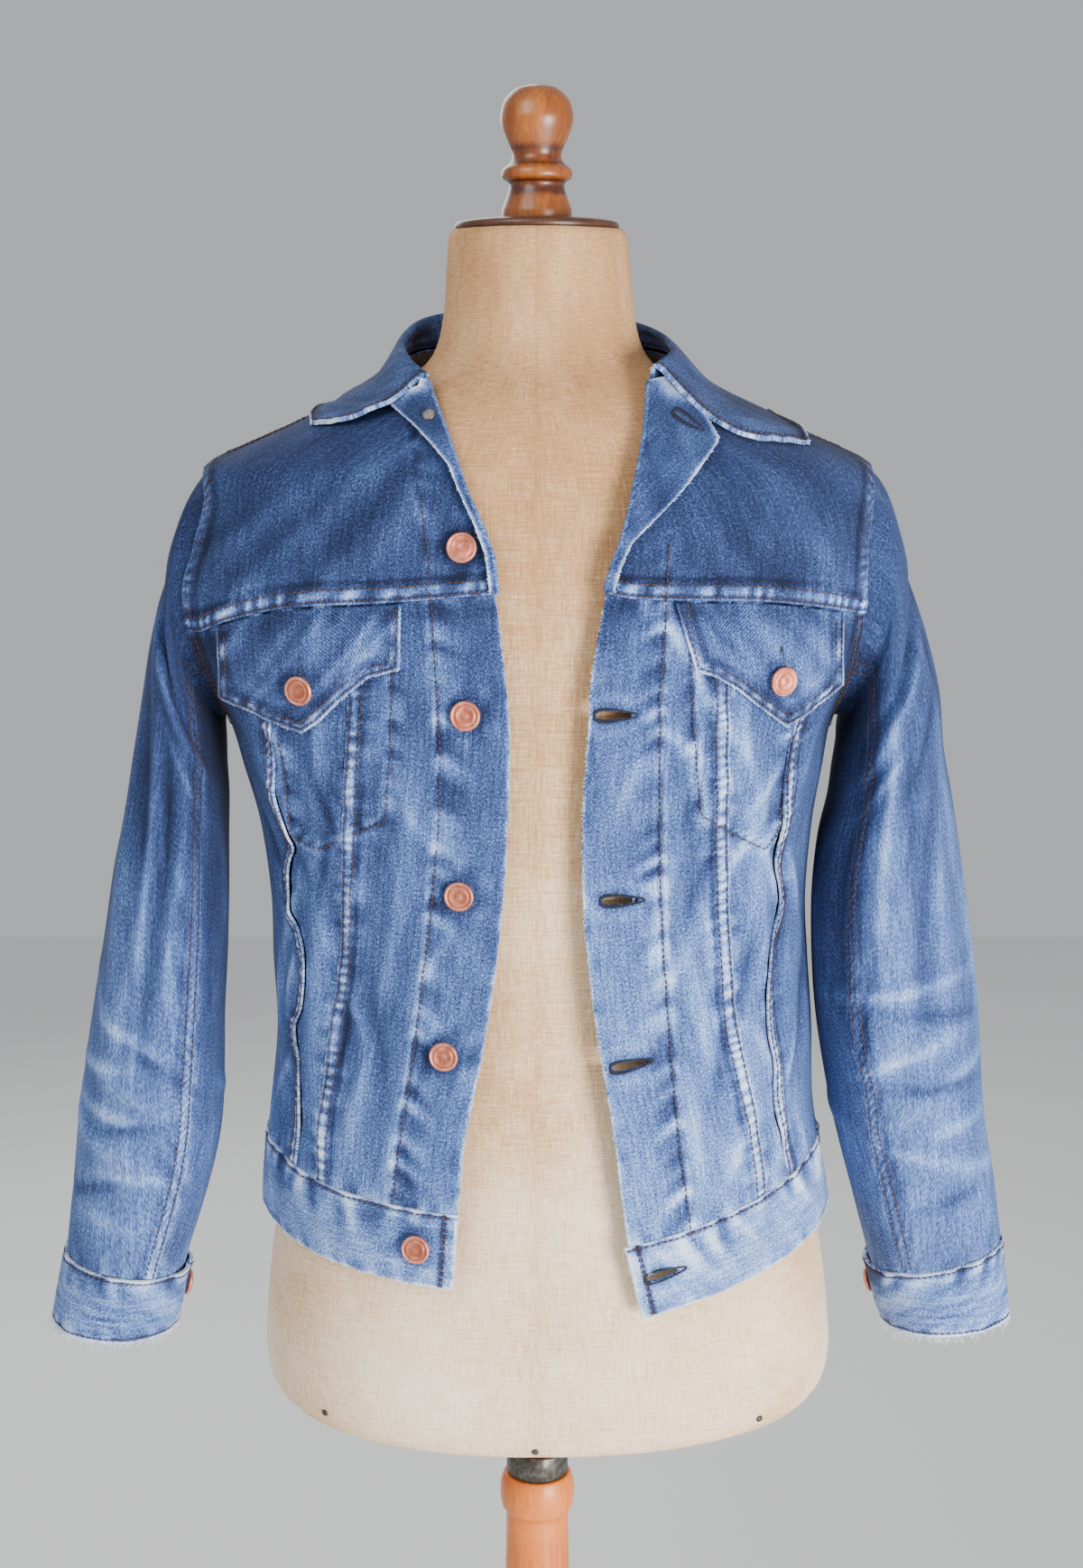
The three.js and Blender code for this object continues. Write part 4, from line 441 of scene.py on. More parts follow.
# How strong a sleeve's sewn looks are lower down, how dark it is above, and where its shadow starts
SLEEVE_LOWER = {"right": 0.55, "left": 0.35}
SLEEVE_DIM = {"right": -0.4, "left": 0.0}
SLEEVE_SHADOW = {"right": 124, "left": 103}

# Shares of a lapel from its fold to its edge, and the angles of the bend at its fold
LAPEL_SHARES = np.concatenate([[0, 0.04, 0.09], np.linspace(0.15, 0.93, 24), [0.965, 1]])
FOLD_TURNS = (-60, -30, 0, 30, 60)

# The nails' places on the form, across and up
FORM_NAILS = (("left", 134, 731), ("middle", -1, 724), ("right", -128, 734))

SIGN = {"right": -1, "left": 1}


def smooth(rows, key, column, at):
    """Reads a column of a table along a smooth curve through its rows."""
    xs, ys = rows[key], rows[column]
    last = len(xs) - 1
    at = np.clip(np.asarray(at, float), xs[0], xs[-1])
    i = np.clip(np.searchsorted(xs, at, side="right") - 1, 0, last - 1)
    before, after = np.maximum(i - 1, 0), np.minimum(i + 2, last)
    span = xs[i + 1] - xs[i]
    start = (ys[i + 1] - ys[before]) / (xs[i + 1] - xs[before]) * span
    end = (ys[after] - ys[i]) / (xs[after] - xs[i]) * span
    u = (at - xs[i]) / span
    low = (2 * u**3 - 3 * u**2 + 1) * ys[i] + (u**3 - 2 * u**2 + u) * start
    return low + (3 * u**2 - 2 * u**3) * ys[i + 1] + (u**3 - u**2) * end


def straight(rows, key, column, at):
    """Reads a column of a table along straight lines between its rows."""
    return np.interp(at, rows[key], rows[column])


def mix(a, b, share):
    """A share of the way from one value to another."""
    return a + (b - a) * share


def ease(value, low, high):
    """Rises softly from 0 to 1 between two values."""
    share = np.clip((value - low) / (high - low), 0, 1)
    return share * share * (3 - 2 * share)


def bump(distance, width):
    """A soft bump of that width, 1 high."""
    return np.exp(-((distance / width) ** 2))


def unit(vectors):
    return vectors / np.maximum(np.linalg.norm(vectors, axis=-1, keepdims=True), 1e-9)


def ripple(along, seed, period):
    """An uneven wave from -1 to 1 with about that period."""
    knots = np.random.default_rng(seed).uniform(-1, 1, 1024)
    at = np.asarray(along, float) / (period / 2) + 7
    i = np.floor(at).astype(int)
    share = at - i
    share = share * share * (3 - 2 * share)
    return mix(knots[i % 1024], knots[(i + 1) % 1024], share)


def ladder(along, seed, period):
    """A nearly even wave, as puckers between two rows of stitches have."""
    drift = ripple(along, seed, period * 9)
    strength = 0.65 + 0.35 * ripple(along, seed + 1, period * 5)
    return strength * np.sin(2 * np.pi * (along / period + drift))


def tone_at(tones, at):
    """Reads a tone from pairs of a place and a tone."""
    return np.interp(at, *zip(*tones))


def rounded(value, power):
    """A sine or cosine bent towards a squarer or a flatter curve."""
    return np.sign(value) * np.abs(value) ** power


def at_height(rows, z, *columns):
    """Reads several columns of a table of sections."""
    return [smooth(rows, "z", column, z) for column in columns]


def depths(rows, z):
    """A section's middle line, and how far its front and back are from that."""
    middle, front, back = at_height(rows, z, "middle", "front", "back")
    return middle, front + middle, back - middle


def section(rows, angle, z):
    """A point of a level section: the angle runs from the front through the left side."""
    across, ahead = np.sin(np.radians(angle)), np.cos(np.radians(angle))
    left, right, square = at_height(rows, z, "left", "right", "square")
    power = 2 / square
    reach = np.where(across > 0, left, right)
    middle, front, back = depths(rows, z)
    x = reach * rounded(across, power)
    y = middle - np.where(ahead > 0, front, back) * rounded(ahead, power)
    return np.stack([x, y, z + 0 * x], -1)


def section_normal(rows, angle, z):
    along = section(rows, angle + 1, z) - section(rows, angle - 1, z)
    up = section(rows, angle, z + 1) - section(rows, angle, z - 1)
    return unit(np.cross(along, up))


def fold_heights(folds, angle, at, arc, rise):
    """The sum of soft folds at an angle and a height or ring."""
    total = np.zeros(np.broadcast(angle, at).shape)
    for k in range(len(folds["angle"])):
        across = (((angle - folds["angle"][k] + 540) % 360) - 180) * arc
        up = (at - folds["at"][k]) * rise
        slant = math.radians(folds["slant"][k])
        along = across * math.sin(slant) + up * math.cos(slant)
        beside = across * math.cos(slant) - up * math.sin(slant)
        total = total + folds["high"][k] * bump(along, folds["long"][k]) * bump(beside, folds["wide"][k])
    return total


def wrapped(angle):
    """An angle between -180 and 180 degrees."""
    return np.where(angle > 180, angle - 360, angle)


def angle_at(side, x, z):
    """The angle at which the front of a section reaches a distance from the middle."""
    power = smooth(TORSO, "z", "square", z) / 2
    share = np.clip(x / smooth(TORSO, "z", side, z), 0, 1)
    return SIGN[side] * np.degrees(np.arcsin(share**power))


def front_line(side, column):
    """A long seam or the opening of a front, as angles at heights."""
    return lambda z: angle_at(side, smooth(FRONT_SEAMS[side], "z", column, z), z)


def yoke_seam(angle):
    """The height at which the yokes meet the panels under them."""
    angle = wrapped(angle)
    turned = np.abs(angle)
    x = np.abs(section(TORSO, angle, BACK_YOKE_SEAM + 0 * angle)[..., 0])
    front = {side: smooth(YOKE_SEAM[side], "x", "z", x) for side in SIGN}
    high = np.where(angle > 0, front["left"], front["right"])
    end = np.where(angle > 0, YOKE_SEAM["left"]["z"][-1], YOKE_SEAM["right"]["z"][-1])
    share = np.clip((turned - SHOULDER_SEAM) / YOKE_BLEND, 0, 1)
    return np.where(turned <= SHOULDER_SEAM, high, mix(end, BACK_YOKE_SEAM, share))


def yoke_low(angle):
    return yoke_seam(angle) - SEAM_GAP / 2


def neck_seam(angle):
    """The height at which the collar starts."""
    return smooth(NECK_SEAM, "angle", "z", np.abs(wrapped(angle)))


def hem(angle):
    """The height of the waistband's lower edge."""
    return smooth(HEM, "angle", "z", wrapped(angle))


def band_top(angle):
    return hem(angle) + BAND_HEIGHT


def back_seam(z):
    """The seam between the back's side and its centre, as angles at heights."""
    return mix(BACK_SEAM_HEM, BACK_SEAM_TOP, (z - BACK_SEAM_LOW) / (BACK_YOKE_SEAM - BACK_SEAM_LOW))


def body_relief(angle, z):
    return fold_heights(TORSO_FOLDS, angle, z, BODY_ARC, 1)


def body(angle, z, out=0):
    """A point of the jacket's body with its large folds, moved out by a distance."""
    height = out + body_relief(angle, z)
    return section(TORSO, angle, z) + section_normal(TORSO, angle, z) * height[..., None]


def front_surface(side, x, z, out=0):
    """Points and normals on a front, from distances out from the middle and heights."""
    x, z = np.asarray(x, float), np.asarray(z, float)
    angle = angle_at(side, x, z)
    return body(angle, z, out), section_normal(TORSO, angle, z)


def spacing(length, extra=()):
    """Shares of a length: points a step apart, closer beside both edges and at extra places."""
    near = np.array(EDGE_MARKS)
    inner = np.linspace(near[-1], length - near[-1], max(2, round((length - 2 * near[-1]) / STEP) + 1))
    marks = np.concatenate([near[:-1], inner, length - near[-2::-1], np.asarray(extra, float)])
    marks = np.unique(np.clip(marks, 0, length).round(3))
    gaps = np.diff(marks)
    return marks[np.concatenate([[True], gaps > 0.3])] / length


def panel_grid(first, last, low, high, across, up):
    """Angles and heights of a panel between two side lines and two edges."""
    middle = np.full((len(up), 1), float(PANEL_MIDDLE))
    share_u, share_v = across[None, :], up[:, None]
    angle = mix(first(middle), last(middle), share_u) + 0 * share_v
    for _ in range(6):
        z = mix(low(angle) + SEAM_GAP / 2, high(angle) - SEAM_GAP / 2, share_v)
        angle = mix(first(z), last(z), share_u)
    degree = np.linalg.norm(section(TORSO, angle + 0.5, z) - section(TORSO, angle - 0.5, z), axis=-1)
    inset = SEAM_GAP / 2 / degree
    angle = angle.copy()
    angle[:, 0] += inset[:, 0]
    angle[:, -1] -= inset[:, -1]
    return angle, z


def arcs(points):
    """Distances along each row from its first column, and along each column from its first row."""
    across = np.linalg.norm(np.diff(points, axis=1), axis=-1)
    up = np.linalg.norm(np.diff(points, axis=0), axis=-1)
    across = np.concatenate([np.zeros((len(points), 1)), np.cumsum(across, 1)], 1)
    up = np.concatenate([np.zeros((1, points.shape[1])), np.cumsum(up, 0)], 0)
    return across, up


def lengths(line):
    """The distance along a line to each of its points."""
    return np.concatenate([[0], np.cumsum(np.linalg.norm(np.diff(line, axis=0), axis=1))])


def read_along(values, steps, at):
    """Reads rows of numbers at distances along their line."""
    return np.stack([np.interp(at, steps, values[:, k]) for k in range(values.shape[1])], 1)


def edge_distance(points, where):
    """How far each point is from one edge of its grid, and how far along that edge."""
    across, up = arcs(points)
    return {
        "first": (across, up),
        "last": (across[:, -1:] - across, up),
        "low": (up, across),
        "high": (up[-1:] - up, across),
    }[where]


def edge(where, rows=(), band=0.0, pucker=0.0, period=6.0, wear=0.7, reach=9.0):
    """How one edge of a panel is sewn: its stitch rows, the raised band, puckers and wear."""
    return dict(where=where, rows=rows, band=band, pucker=pucker, period=period, wear=wear, reach=reach)


def sewn_looks(points, edges, seed):
    """Relief, fade and wear that a panel's sewn edges give it, with painted shade beyond its bands and along
    its stitch rows.
    """
    relief = np.zeros(points.shape[:2])
    fade, wear = relief.copy(), relief.copy()
    for k, e in enumerate(edges):
        away, along = edge_distance(points, e["where"])
        mark = seed * 31 + k * 7
        if e["band"]:  # a raised band with rungs across it, and a dark line where it ends
            inside = 1 - ease(away, e["band"], e["band"] + 1.4)
            rungs = ladder(along, mark, e["period"])
            centre = bump(away - e["band"] / 2, e["band"] * 0.4)
            relief += 0.75 * inside + 0.4 * rungs * centre
            fade += (1.35 * rungs + 0.45) * centre + 0.3 * inside
            # Painted shade: a dark line just beyond the raised band
            fade -= 0.85 * bump(away - e["band"] - 1.6, 1.5)
        for row in e["rows"]:
            relief -= 0.4 * bump(away - row, 0.9)
            # Painted shade along each row of stitches
            fade -= 0.95 * bump(away - row, 1.0)
        if e["pucker"]:  # waves that the sewing draws into the cloth beside it
            waves = ripple(along, mark + 3, e["period"] * 1.5)
            spread = bump(away - e["band"], e["reach"]) * (1 if not e["band"] else ease(away, 0, e["band"]))
            relief += e["pucker"] * 0.75 * waves * spread
            fade += e["pucker"] * 0.8 * waves * spread
        relief -= 0.5 * bump(away, 0.8)
        wear += e["wear"] * bump(away, 1.2) * (0.55 + 0.45 * ripple(along, mark + 5, 8))
    return relief, fade, wear


threads = {"brown": [], "dark": [], "pale": []}


def sew(points, normals):
    """A row of brown stitches along a line of points."""
    along = lengths(points)
    count = int(along[-1] / (STITCH + STITCH_GAP))
    if count < 1:
        return
    starts = np.arange(count) * (STITCH + STITCH_GAP) + STITCH_GAP / 2
    facing = unit(read_along(normals, along, starts + STITCH / 2))
    lift = facing * THREAD_LIFT
    ends = read_along(points, along, starts + STITCH) + lift
    threads["brown"].append((read_along(points, along, starts) + lift, ends, facing, THREAD))


def strands(colour, starts, ends, normals, radius):
    """Straight strands of thread, each from its start to its end."""
    threads[colour].append((starts, ends, unit(normals), radius))


def thread_mesh(name, parts, material):
    """Every stitch as a short rounded strand of three rings."""
    starts, ends, normals = (np.concatenate([part[k] for part in parts]) for k in range(3))
    radius = np.concatenate([np.full(len(part[0]), part[3]) for part in parts])[:, None]
    sideways = unit(np.cross(normals, unit(ends - starts)))
    rings = []
    for share, thick, rise in ((0, 0.55, -0.35), (0.5, 1.0, 0.25), (1, 0.55, -0.35)):
        centre = mix(starts, ends, share) + normals * radius * rise
        for side, high in ((1, 0), (0, 1), (-1, 0), (0, -1)):
            rings.append(centre + (sideways * side + normals * high) * radius * thick)
    faces = [(3, 2, 1, 0), (8, 9, 10, 11)]
    for ring in (0, 4):
        for k in range(4):
            faces.append((ring + k, ring + (k + 1) % 4, ring + 4 + (k + 1) % 4, ring + 4 + k))
    offsets = np.arange(len(starts))[:, None, None] * 12
    quads = (np.array(faces)[None] + offsets).reshape(-1, 4)
    return finished(name, np.stack(rings, 1).reshape(-1, 3), quads, material)


def finished(name, points, faces, material, smooth_faces=True):
    """A mesh object from points in millimetres and quads or lists of corners."""
    faces = faces.tolist() if isinstance(faces, np.ndarray) else faces
    mesh = bpy.data.meshes.new(name)
    mesh.from_pydata((np.asarray(points) * MM).tolist(), [], faces)
    flags = np.full(len(faces), smooth_faces) if isinstance(smooth_faces, bool) else smooth_faces
    mesh.polygons.foreach_set("use_smooth", flags)
    mesh.materials.append(material)
    piece = bpy.data.objects.new(name, mesh)
    bpy.context.scene.collection.objects.link(piece)
    return piece


def paint(piece, values):
    """Writes named numbers on the points of a mesh, for its material to read."""
    for name, numbers in values.items():
        layer = piece.data.attributes.new(name, "FLOAT", "POINT")
        layer.data.foreach_set("value", np.asarray(numbers, np.float32).ravel())


def paint_uv(piece, uv):
    """Writes a place in millimetres on each corner of a mesh."""
    corner = np.zeros(len(piece.data.loops), int)
    piece.data.loops.foreach_get("vertex_index", corner)
    layer = piece.data.uv_layers.new(name="millimetres")
    layer.data.foreach_set("uv", np.asarray(uv, np.float32).reshape(-1, 2)[corner].ravel())


def shell(name, outside, inside, looks, material, uv, keep=None):
    """A closed thin wall between two grids of points, open where a face isn't kept."""
    rows, columns = outside.shape[:2]
    count = rows * columns
    index = np.arange(count).reshape(rows, columns)
    quads = np.stack([index[:-1, :-1], index[:-1, 1:], index[1:, 1:], index[1:, :-1]], -1)
    quads = quads.reshape(-1, 4) if keep is None else quads[keep]
    edges = np.concatenate([quads[:, [k, (k + 1) % 4]] for k in range(4)])
    keys, backwards = edges[:, 0] * count + edges[:, 1], edges[:, 1] * count + edges[:, 0]
    rim = edges[~np.isin(keys, backwards)]
    rim = np.stack([rim[:, 1], rim[:, 0], rim[:, 0] + count, rim[:, 1] + count], -1)
    faces = np.concatenate([quads, quads[:, ::-1] + count, rim])
    points = np.concatenate([outside.reshape(-1, 3), inside.reshape(-1, 3)])
    a, b, c, d = (points[faces[:, k]] for k in range(4))
    volume = np.einsum("ij,ij->i", a, np.cross(b, c)) + np.einsum("ij,ij->i", a, np.cross(c, d))
    if volume.sum() < 0:
        faces = faces[:, ::-1]
    used, faces = np.unique(faces, return_inverse=True)
    faces = faces.reshape(-1, 4)
    flags = np.arange(len(faces)) < 2 * len(quads)
    piece = finished(name, points[used], faces, material, flags)
    paint_uv(piece, np.concatenate([uv.reshape(-1, 2)] * 2)[used])
    ahead, behind = looks.get("reverse", (np.zeros((rows, columns)), np.ones((rows, columns))))
    reverse = np.concatenate([ahead.ravel(), behind.ravel()])
    reverse[rim.ravel()] = 0
    # The fade carries the cloth's fade together with painted shade
    values = {key: np.concatenate([looks[key].ravel()] * 2)[used] for key in ("fade", "wear")}
    paint(piece, {**values, "reverse": reverse[used]})
    return piece


def denim_piece(node, outside, inside, looks, keep=None, lengthwise=False):
    """A cloth piece that stands for a node, with what its cut was. Its warp runs up, or lengthwise."""
    across, up = arcs(outside)
    uv = np.stack([up, across] if lengthwise else [across - across[:, -1:] / 2, up], -1)
    piece = shell(node + "_cloth", outside, inside, looks, denim, uv, keep)
    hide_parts(node)
    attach(piece, "root")
    return piece


def inside_outline(points, outline):
    """Whether each 2-D point lies in a closed outline."""
    x, y = points[..., 0], points[..., 1]
    found = np.zeros(x.shape, bool)
    for (x1, y1), (x2, y2) in zip(outline, np.roll(outline, -1, 0)):
        crosses = (y1 > y) != (y2 > y)
        at = x1 + (y - y1) * (x2 - x1) / (y2 - y1 if y2 != y1 else 1e-9)
        found ^= crosses & (x < at)
    return found


def nearest_on(points, line, closed):
    """The nearest place on a line of 2-D points, and how far it is."""
    ends = np.roll(line, -1, 0) if closed else line[1:]
    starts = line if closed else line[:-1]
    best = np.full(points.shape[:-1], np.inf)
    place = points.copy()
    for a, b in zip(starts, ends):
        d = b - a
        share = np.clip(((points - a) @ d) / max(d @ d, 1e-9), 0, 1)
        on = a + share[..., None] * d
        far = np.linalg.norm(points - on, axis=-1)
        closer = far < best
        best = np.where(closer, far, best)
        place = np.where(closer[..., None], on, place)
    return place, best


def offset_line(line, distance):
    """An open 2-D line moved to its left by a distance, with its corners kept."""
    line = np.asarray(line, float)
    ahead = np.roll(line, -1, 0) - line
    behind = line - np.roll(line, 1, 0)
    ahead[-1], behind[0] = behind[-1], ahead[0]
    normals = []
    for way in (ahead, behind):
        normals.append(np.stack([-way[:, 1], way[:, 0]], 1) / np.linalg.norm(way, axis=1, keepdims=True))
    middle = unit(normals[0] + normals[1])
    stretch = np.clip((middle * normals[0]).sum(1, keepdims=True), 0.5, 1)
    return line + middle * distance / stretch


def armhole_place(side, degrees, grow):
    """The y and z of a place on the armhole's outline, counted from its top."""
    hole = ARMHOLE[side]
    turn = np.radians(degrees)
    power = 2 / hole["square"]
    tall = (hole["top"] - hole["bottom"]) / 2 + grow
    y = hole["middle"] - (hole["half"] + grow) * rounded(np.sin(turn), power)
    return y, (hole["top"] + hole["bottom"]) / 2 + tall * rounded(np.cos(turn), power)


def armhole_outline(side, grow=0.0, steps=96):
    """The armhole seen from the side, as y and z."""
    return np.stack(armhole_place(side, np.arange(steps) * 360 / steps, grow), 1)


def angle_of(side, y, z, like=None):
    """The angle on the body of a place seen from the side."""
    middle, front, back = depths(TORSO, z)
    share = np.clip(np.abs(y - middle) / np.where(y < middle, front, back), 0, 1)
    ahead = np.where(y < middle, 1, -1) * share ** (smooth(TORSO, "z", "square", z) / 2)
    angle = SIGN[side] * np.degrees(np.arccos(np.clip(ahead, -1, 1)))
    return angle if like is None else np.where(like > 180, angle + 360, angle)


def snapped(inside, kept, place, old):
    """Moves the points inside a hole that a kept face still uses onto the hole's outline."""
    needed = np.zeros(inside.shape, bool)
    for i in (slice(0, -1), slice(1, None)):
        for j in (slice(0, -1), slice(1, None)):
            needed[i, j] |= kept
    return np.where((inside & needed)[..., None], place, old)


def faces_kept(inside):
    """The faces that have a corner outside a hole."""
    return ~(inside[:-1, :-1] & inside[:-1, 1:] & inside[1:, 1:] & inside[1:, :-1])


def cut_armhole(side, angle, z):
    """Trims a panel's grid along an armhole."""
    point = section(TORSO, angle, z)
    flat = point[..., 1:]
    outline = armhole_outline(side)
    inside = inside_outline(flat, outline) & (point[..., 0] * SIGN[side] > ARMHOLE_FROM)
    kept = faces_kept(inside)
    place, _ = nearest_on(flat, outline, True)
    flat = snapped(inside, kept, place, flat)
    moved = inside & (flat != point[..., 1:]).any(-1)
    new = angle_of(side, flat[..., 0], flat[..., 1], angle)
    return np.where(moved, new, angle), np.where(moved, flat[..., 1], z), kept


def hole_outline(x, z, tilt, length=HOLE_LENGTH, width=HOLE_WIDTH, steps=20):
    """A gaping buttonhole like a drop, wider at its outer end."""
    turn = np.arange(steps) * 2 * np.pi / steps
    along = np.cos(turn) * length / 2
    across = rounded(np.sin(turn), 0.7) * width / 2 * (0.85 - 0.42 * np.cos(turn))
    c, s = math.cos(math.radians(tilt)), math.sin(math.radians(tilt))
    return np.stack([x + along * c - across * s, z + along * s + across * c], 1)


def cut_hole(side, angle, z, hole):
    """Opens a buttonhole in a front's grid."""
    point = section(TORSO, angle, z)
    flat = np.stack([np.abs(point[..., 0]), point[..., 2]], -1)
    outline = hole_outline(*hole)
    inside = inside_outline(flat, outline) & (point[..., 0] * SIGN[side] > 0) & (point[..., 1] < 0)
    kept = faces_kept(inside)
    place, _ = nearest_on(flat, outline, True)
    flat = snapped(inside, kept, place, flat)
    new = angle_at(side, flat[..., 0], flat[..., 1])
    return np.where(inside, new, angle), np.where(inside, flat[..., 1], z), kept


def body_looks(angle, z):
    """The small creases of the cloth and its fade with painted shade, by where it is on the body."""
    creases = fold_heights(TORSO_CREASES, angle, z, BODY_ARC, 1) * mix(1, 0.45, ease(z, 1215, 1240))
    fade = tone_at(BODY_TONES, z) + 0.72 * creases + 0.1 * body_relief(angle, z) - 0.05
    turned = wrapped(angle)
    side = np.abs(turned)
    # Painted shade at the sides and just under the yokes; darker on the left yoke and paler on the left front
    fade = fade - 0.22 * ease(side, 64, 88) * (1 - ease(side, 106, 135))
    fade = fade - np.where(turned > 0, 0.1, 0) * ease(z, 1226, 1240)
    fade = fade + np.where(turned > 0, 0.3, 0) * (1 - ease(side, 34, 70)) * (1 - ease(z, 1180, 1240))
    fade = fade - 0.35 * bump(z - yoke_seam(angle) + 6, 6) * (z < yoke_seam(angle))
    return creases * 1.9, fade


def armhole_looks(angle, z):
    """The double-stitched band round both armholes, with painted shade just beyond the band and round the
    underarm.
    """
    relief, fade, wear = 0, 0, 0
    for side in SIGN:
        point = section(TORSO, angle, z)
        outline = armhole_outline(side)
        place, away = nearest_on(point[..., 1:], outline, True)
        here = point[..., 0] * SIGN[side] > ARMHOLE_FROM
        turn = np.arctan2(place[..., 0], place[..., 1] - ARMHOLE_CENTRE) * ARMHOLE_RADIUS
        band = np.where(here, 1 - ease(away, 8, 9.6), 0)
        rungs = ladder(turn, 11 + SIGN[side], 6.5)
        high = ease(point[..., 2], 1196, 1214)
        relief = relief + 0.75 * band * high + np.where(here, 0.35 * rungs * bump(away - 4, 3), 0)
        # Pale rungs on the band, and painted shade just beyond it
        look = (1.0 * rungs + 0.5) * bump(away - 4, 3.4) * high - 0.7 * bump(away - 9.6, 1.5)
        # Painted shade round the armhole's lower part, under the arm
        fade = fade + np.where(here, look - 0.8 * (1 - high) * bump(away, 26), 0)
        wear = wear + np.where(here, 0.5 * high * bump(away, 1.2), 0)
        for row in ARMHOLE_ROWS:
            relief = relief - np.where(here, 0.3 * bump(away - row, 1.0), 0)
    return relief, fade, wear


def rows_at(side, hole, low, high, tall):
    """Marks close together where a buttonhole crosses a panel of that height."""
    angle = angle_at(side, hole[0], hole[1])
    heights = hole[1] + HOLE_MARKS_ACROSS
    return (heights - low(angle)) / (high(angle) - low(angle)) * tall


def columns_at(side, hole, first, last, wide):
    """Marks close together along a buttonhole, across a panel of that width."""
    places = hole[0] + HOLE_MARKS_ALONG
    height = np.full(len(places), float(hole[1]))
    start, end = first(height), last(height)
    return (angle_at(side, places, height) - start) / (end - start) * wide


def dressed(angle, z, edges, seed, armholes):
    """A part of the jacket's body with its relief and looks, from its seams, creases and armholes."""
    base = body(angle, z)
    relief, fade, wear = sewn_looks(base, edges, seed)
    creases, body_fade_and_shade = body_looks(angle, z)
    around = armhole_looks(angle, z) if armholes else (0, 0, 0)
    looks = {"fade": fade + body_fade_and_shade + around[1], "wear": wear + around[2]}
    return dict(
        base=base, normal=section_normal(TORSO, angle, z), relief=relief + creases + around[0], looks=looks
    )


def body_panel(node, first, last, low, high, edges, seed, holes=(), armholes=False):
    """One flat-cut panel of the jacket's body."""
    level = np.array(float(PANEL_MIDDLE))
    middle = first(level)
    wide = abs(float(last(level) - middle)) * BODY_ARC
    tall = abs(float(high(middle) - low(middle)))
    rows = [mark for side, hole in holes for mark in rows_at(side, hole, low, high, tall)]
    columns = [mark for side, hole in holes for mark in columns_at(side, hole, first, last, wide)]
    across, up = spacing(wide, columns), spacing(tall, rows)
    angle, z = panel_grid(first, last, low, high, across, up)
    keep = np.ones((len(up) - 1, len(across) - 1), bool)
    if armholes:
        for side in SIGN:
            angle, z, kept = cut_armhole(side, angle, z)
            keep &= kept
    for side, hole in holes:
        angle, z, kept = cut_hole(side, angle, z, hole)
        keep &= kept
    return dict(dressed(angle, z, edges, seed, armholes), node=node, z=z, keep=keep, thick=CLOTH)


def face_of(panel):
    """A panel's points with its relief."""
    return panel["base"] + panel["normal"] * panel["relief"][..., None]


def row_line(panel, where, distance):
    """The points and normals of a panel at a distance from one edge."""
    away, _ = edge_distance(panel["base"], where)
    grids = (away, face_of(panel), panel["normal"])
    if where in ("low", "high"):
        grids = [np.swapaxes(grid, 0, 1) for grid in grids]
    if where in ("last", "high"):
        grids = [grid[:, ::-1] for grid in grids]
    away, *grids = grids
    points, facing = (
        np.array([[np.interp(distance, a, row[:, k]) for k in range(3)] for a, row in zip(away, grid)])
        for grid in grids
    )
    return points, unit(facing)


def sew_rows(panel, edges, clear_of_armholes=False):
    """Sews the stitch rows that a panel's edges ask for."""
    for e in edges:
        for distance in e["rows"]:
            points, normals = row_line(panel, e["where"], distance)
            if clear_of_armholes:
                free = np.ones(len(points), bool)
                for side in SIGN:
                    near = points[:, 0] * SIGN[side] > ARMHOLE_FROM
                    free &= ~(near & inside_outline(points[:, 1:], armhole_outline(side, 8)))
                runs = np.split(np.arange(len(points)), np.where(np.diff(free.astype(int)))[0] + 1)
                for run in runs:
                    if free[run[0]] and len(run) > 3:
                        sew(points[run], normals[run])
            else:
                sew(points, normals)


def finish_panel(panel, lengthwise=False):
    """Makes a panel's piece, as thick as the panel says."""
    outside = face_of(panel)
    inside = outside - panel["normal"] * panel["thick"]
    node_name, looks, smooth_grid, keep = (panel[key] for key in ("node", "looks", "base", "keep"))
    denim_piece(node_name, outside, inside, looks, keep, lengthwise)


def seen_from_front(panel, side):
    """A panel's points as distances out from the middle and heights."""
    return np.stack([panel["base"][..., 0] * SIGN[side], panel["base"][..., 2]], -1)


def placket_line(side):
    """The stitched line beside a front's opening."""
    return np.stack([PLACKET[side]["x"], PLACKET[side]["z"]], 1)


def change(panel, relief, fade):
    """Adds to a panel's relief and to its fade, which also carries painted shade."""
    panel["relief"] = panel["relief"] + relief
    panel["looks"]["fade"] = panel["looks"]["fade"] + fade


def line_looks(panel, side, line, pale, pucker, seed, reach=6.0, period=10.0):
    """Lets a stitched line across a front mark the cloth, with puckers on its inner side and painted shade
    along the line.
    """
    flat = seen_from_front(panel, side)
    place, away = nearest_on(flat, np.asarray(line, float), False)
    along = place[..., 1] + place[..., 0]
    inner = flat[..., 0] < place[..., 0]
    waves = ripple(along + 0.5 * away, seed, period) * bump(away, np.where(inner, reach, reach * 0.35))
    ridge = pale * bump(away - 2.6, 1.6) * np.where(inner, 0.3, 1)
    relief = pucker * waves - 0.4 * bump(away, 0.9) + 0.6 * ridge
    # The line itself is darkened as painted shade; the ridge beside it is paler
    change(panel, relief, 1.25 * pucker * waves - 0.5 * bump(away, 1.1) + ridge)


def sew_front_line(side, line, out):
    """Stitches along a line on a front, given as distances out and heights."""
    line = np.asarray(line, float)
    steps = lengths(line)
    x, z = read_along(line, steps, np.arange(0, steps[-1], 2.0)).T
    creases, _ = body_looks(angle_at(side, x, z), z)
    sew(*front_surface(side, x, z, out + creases))


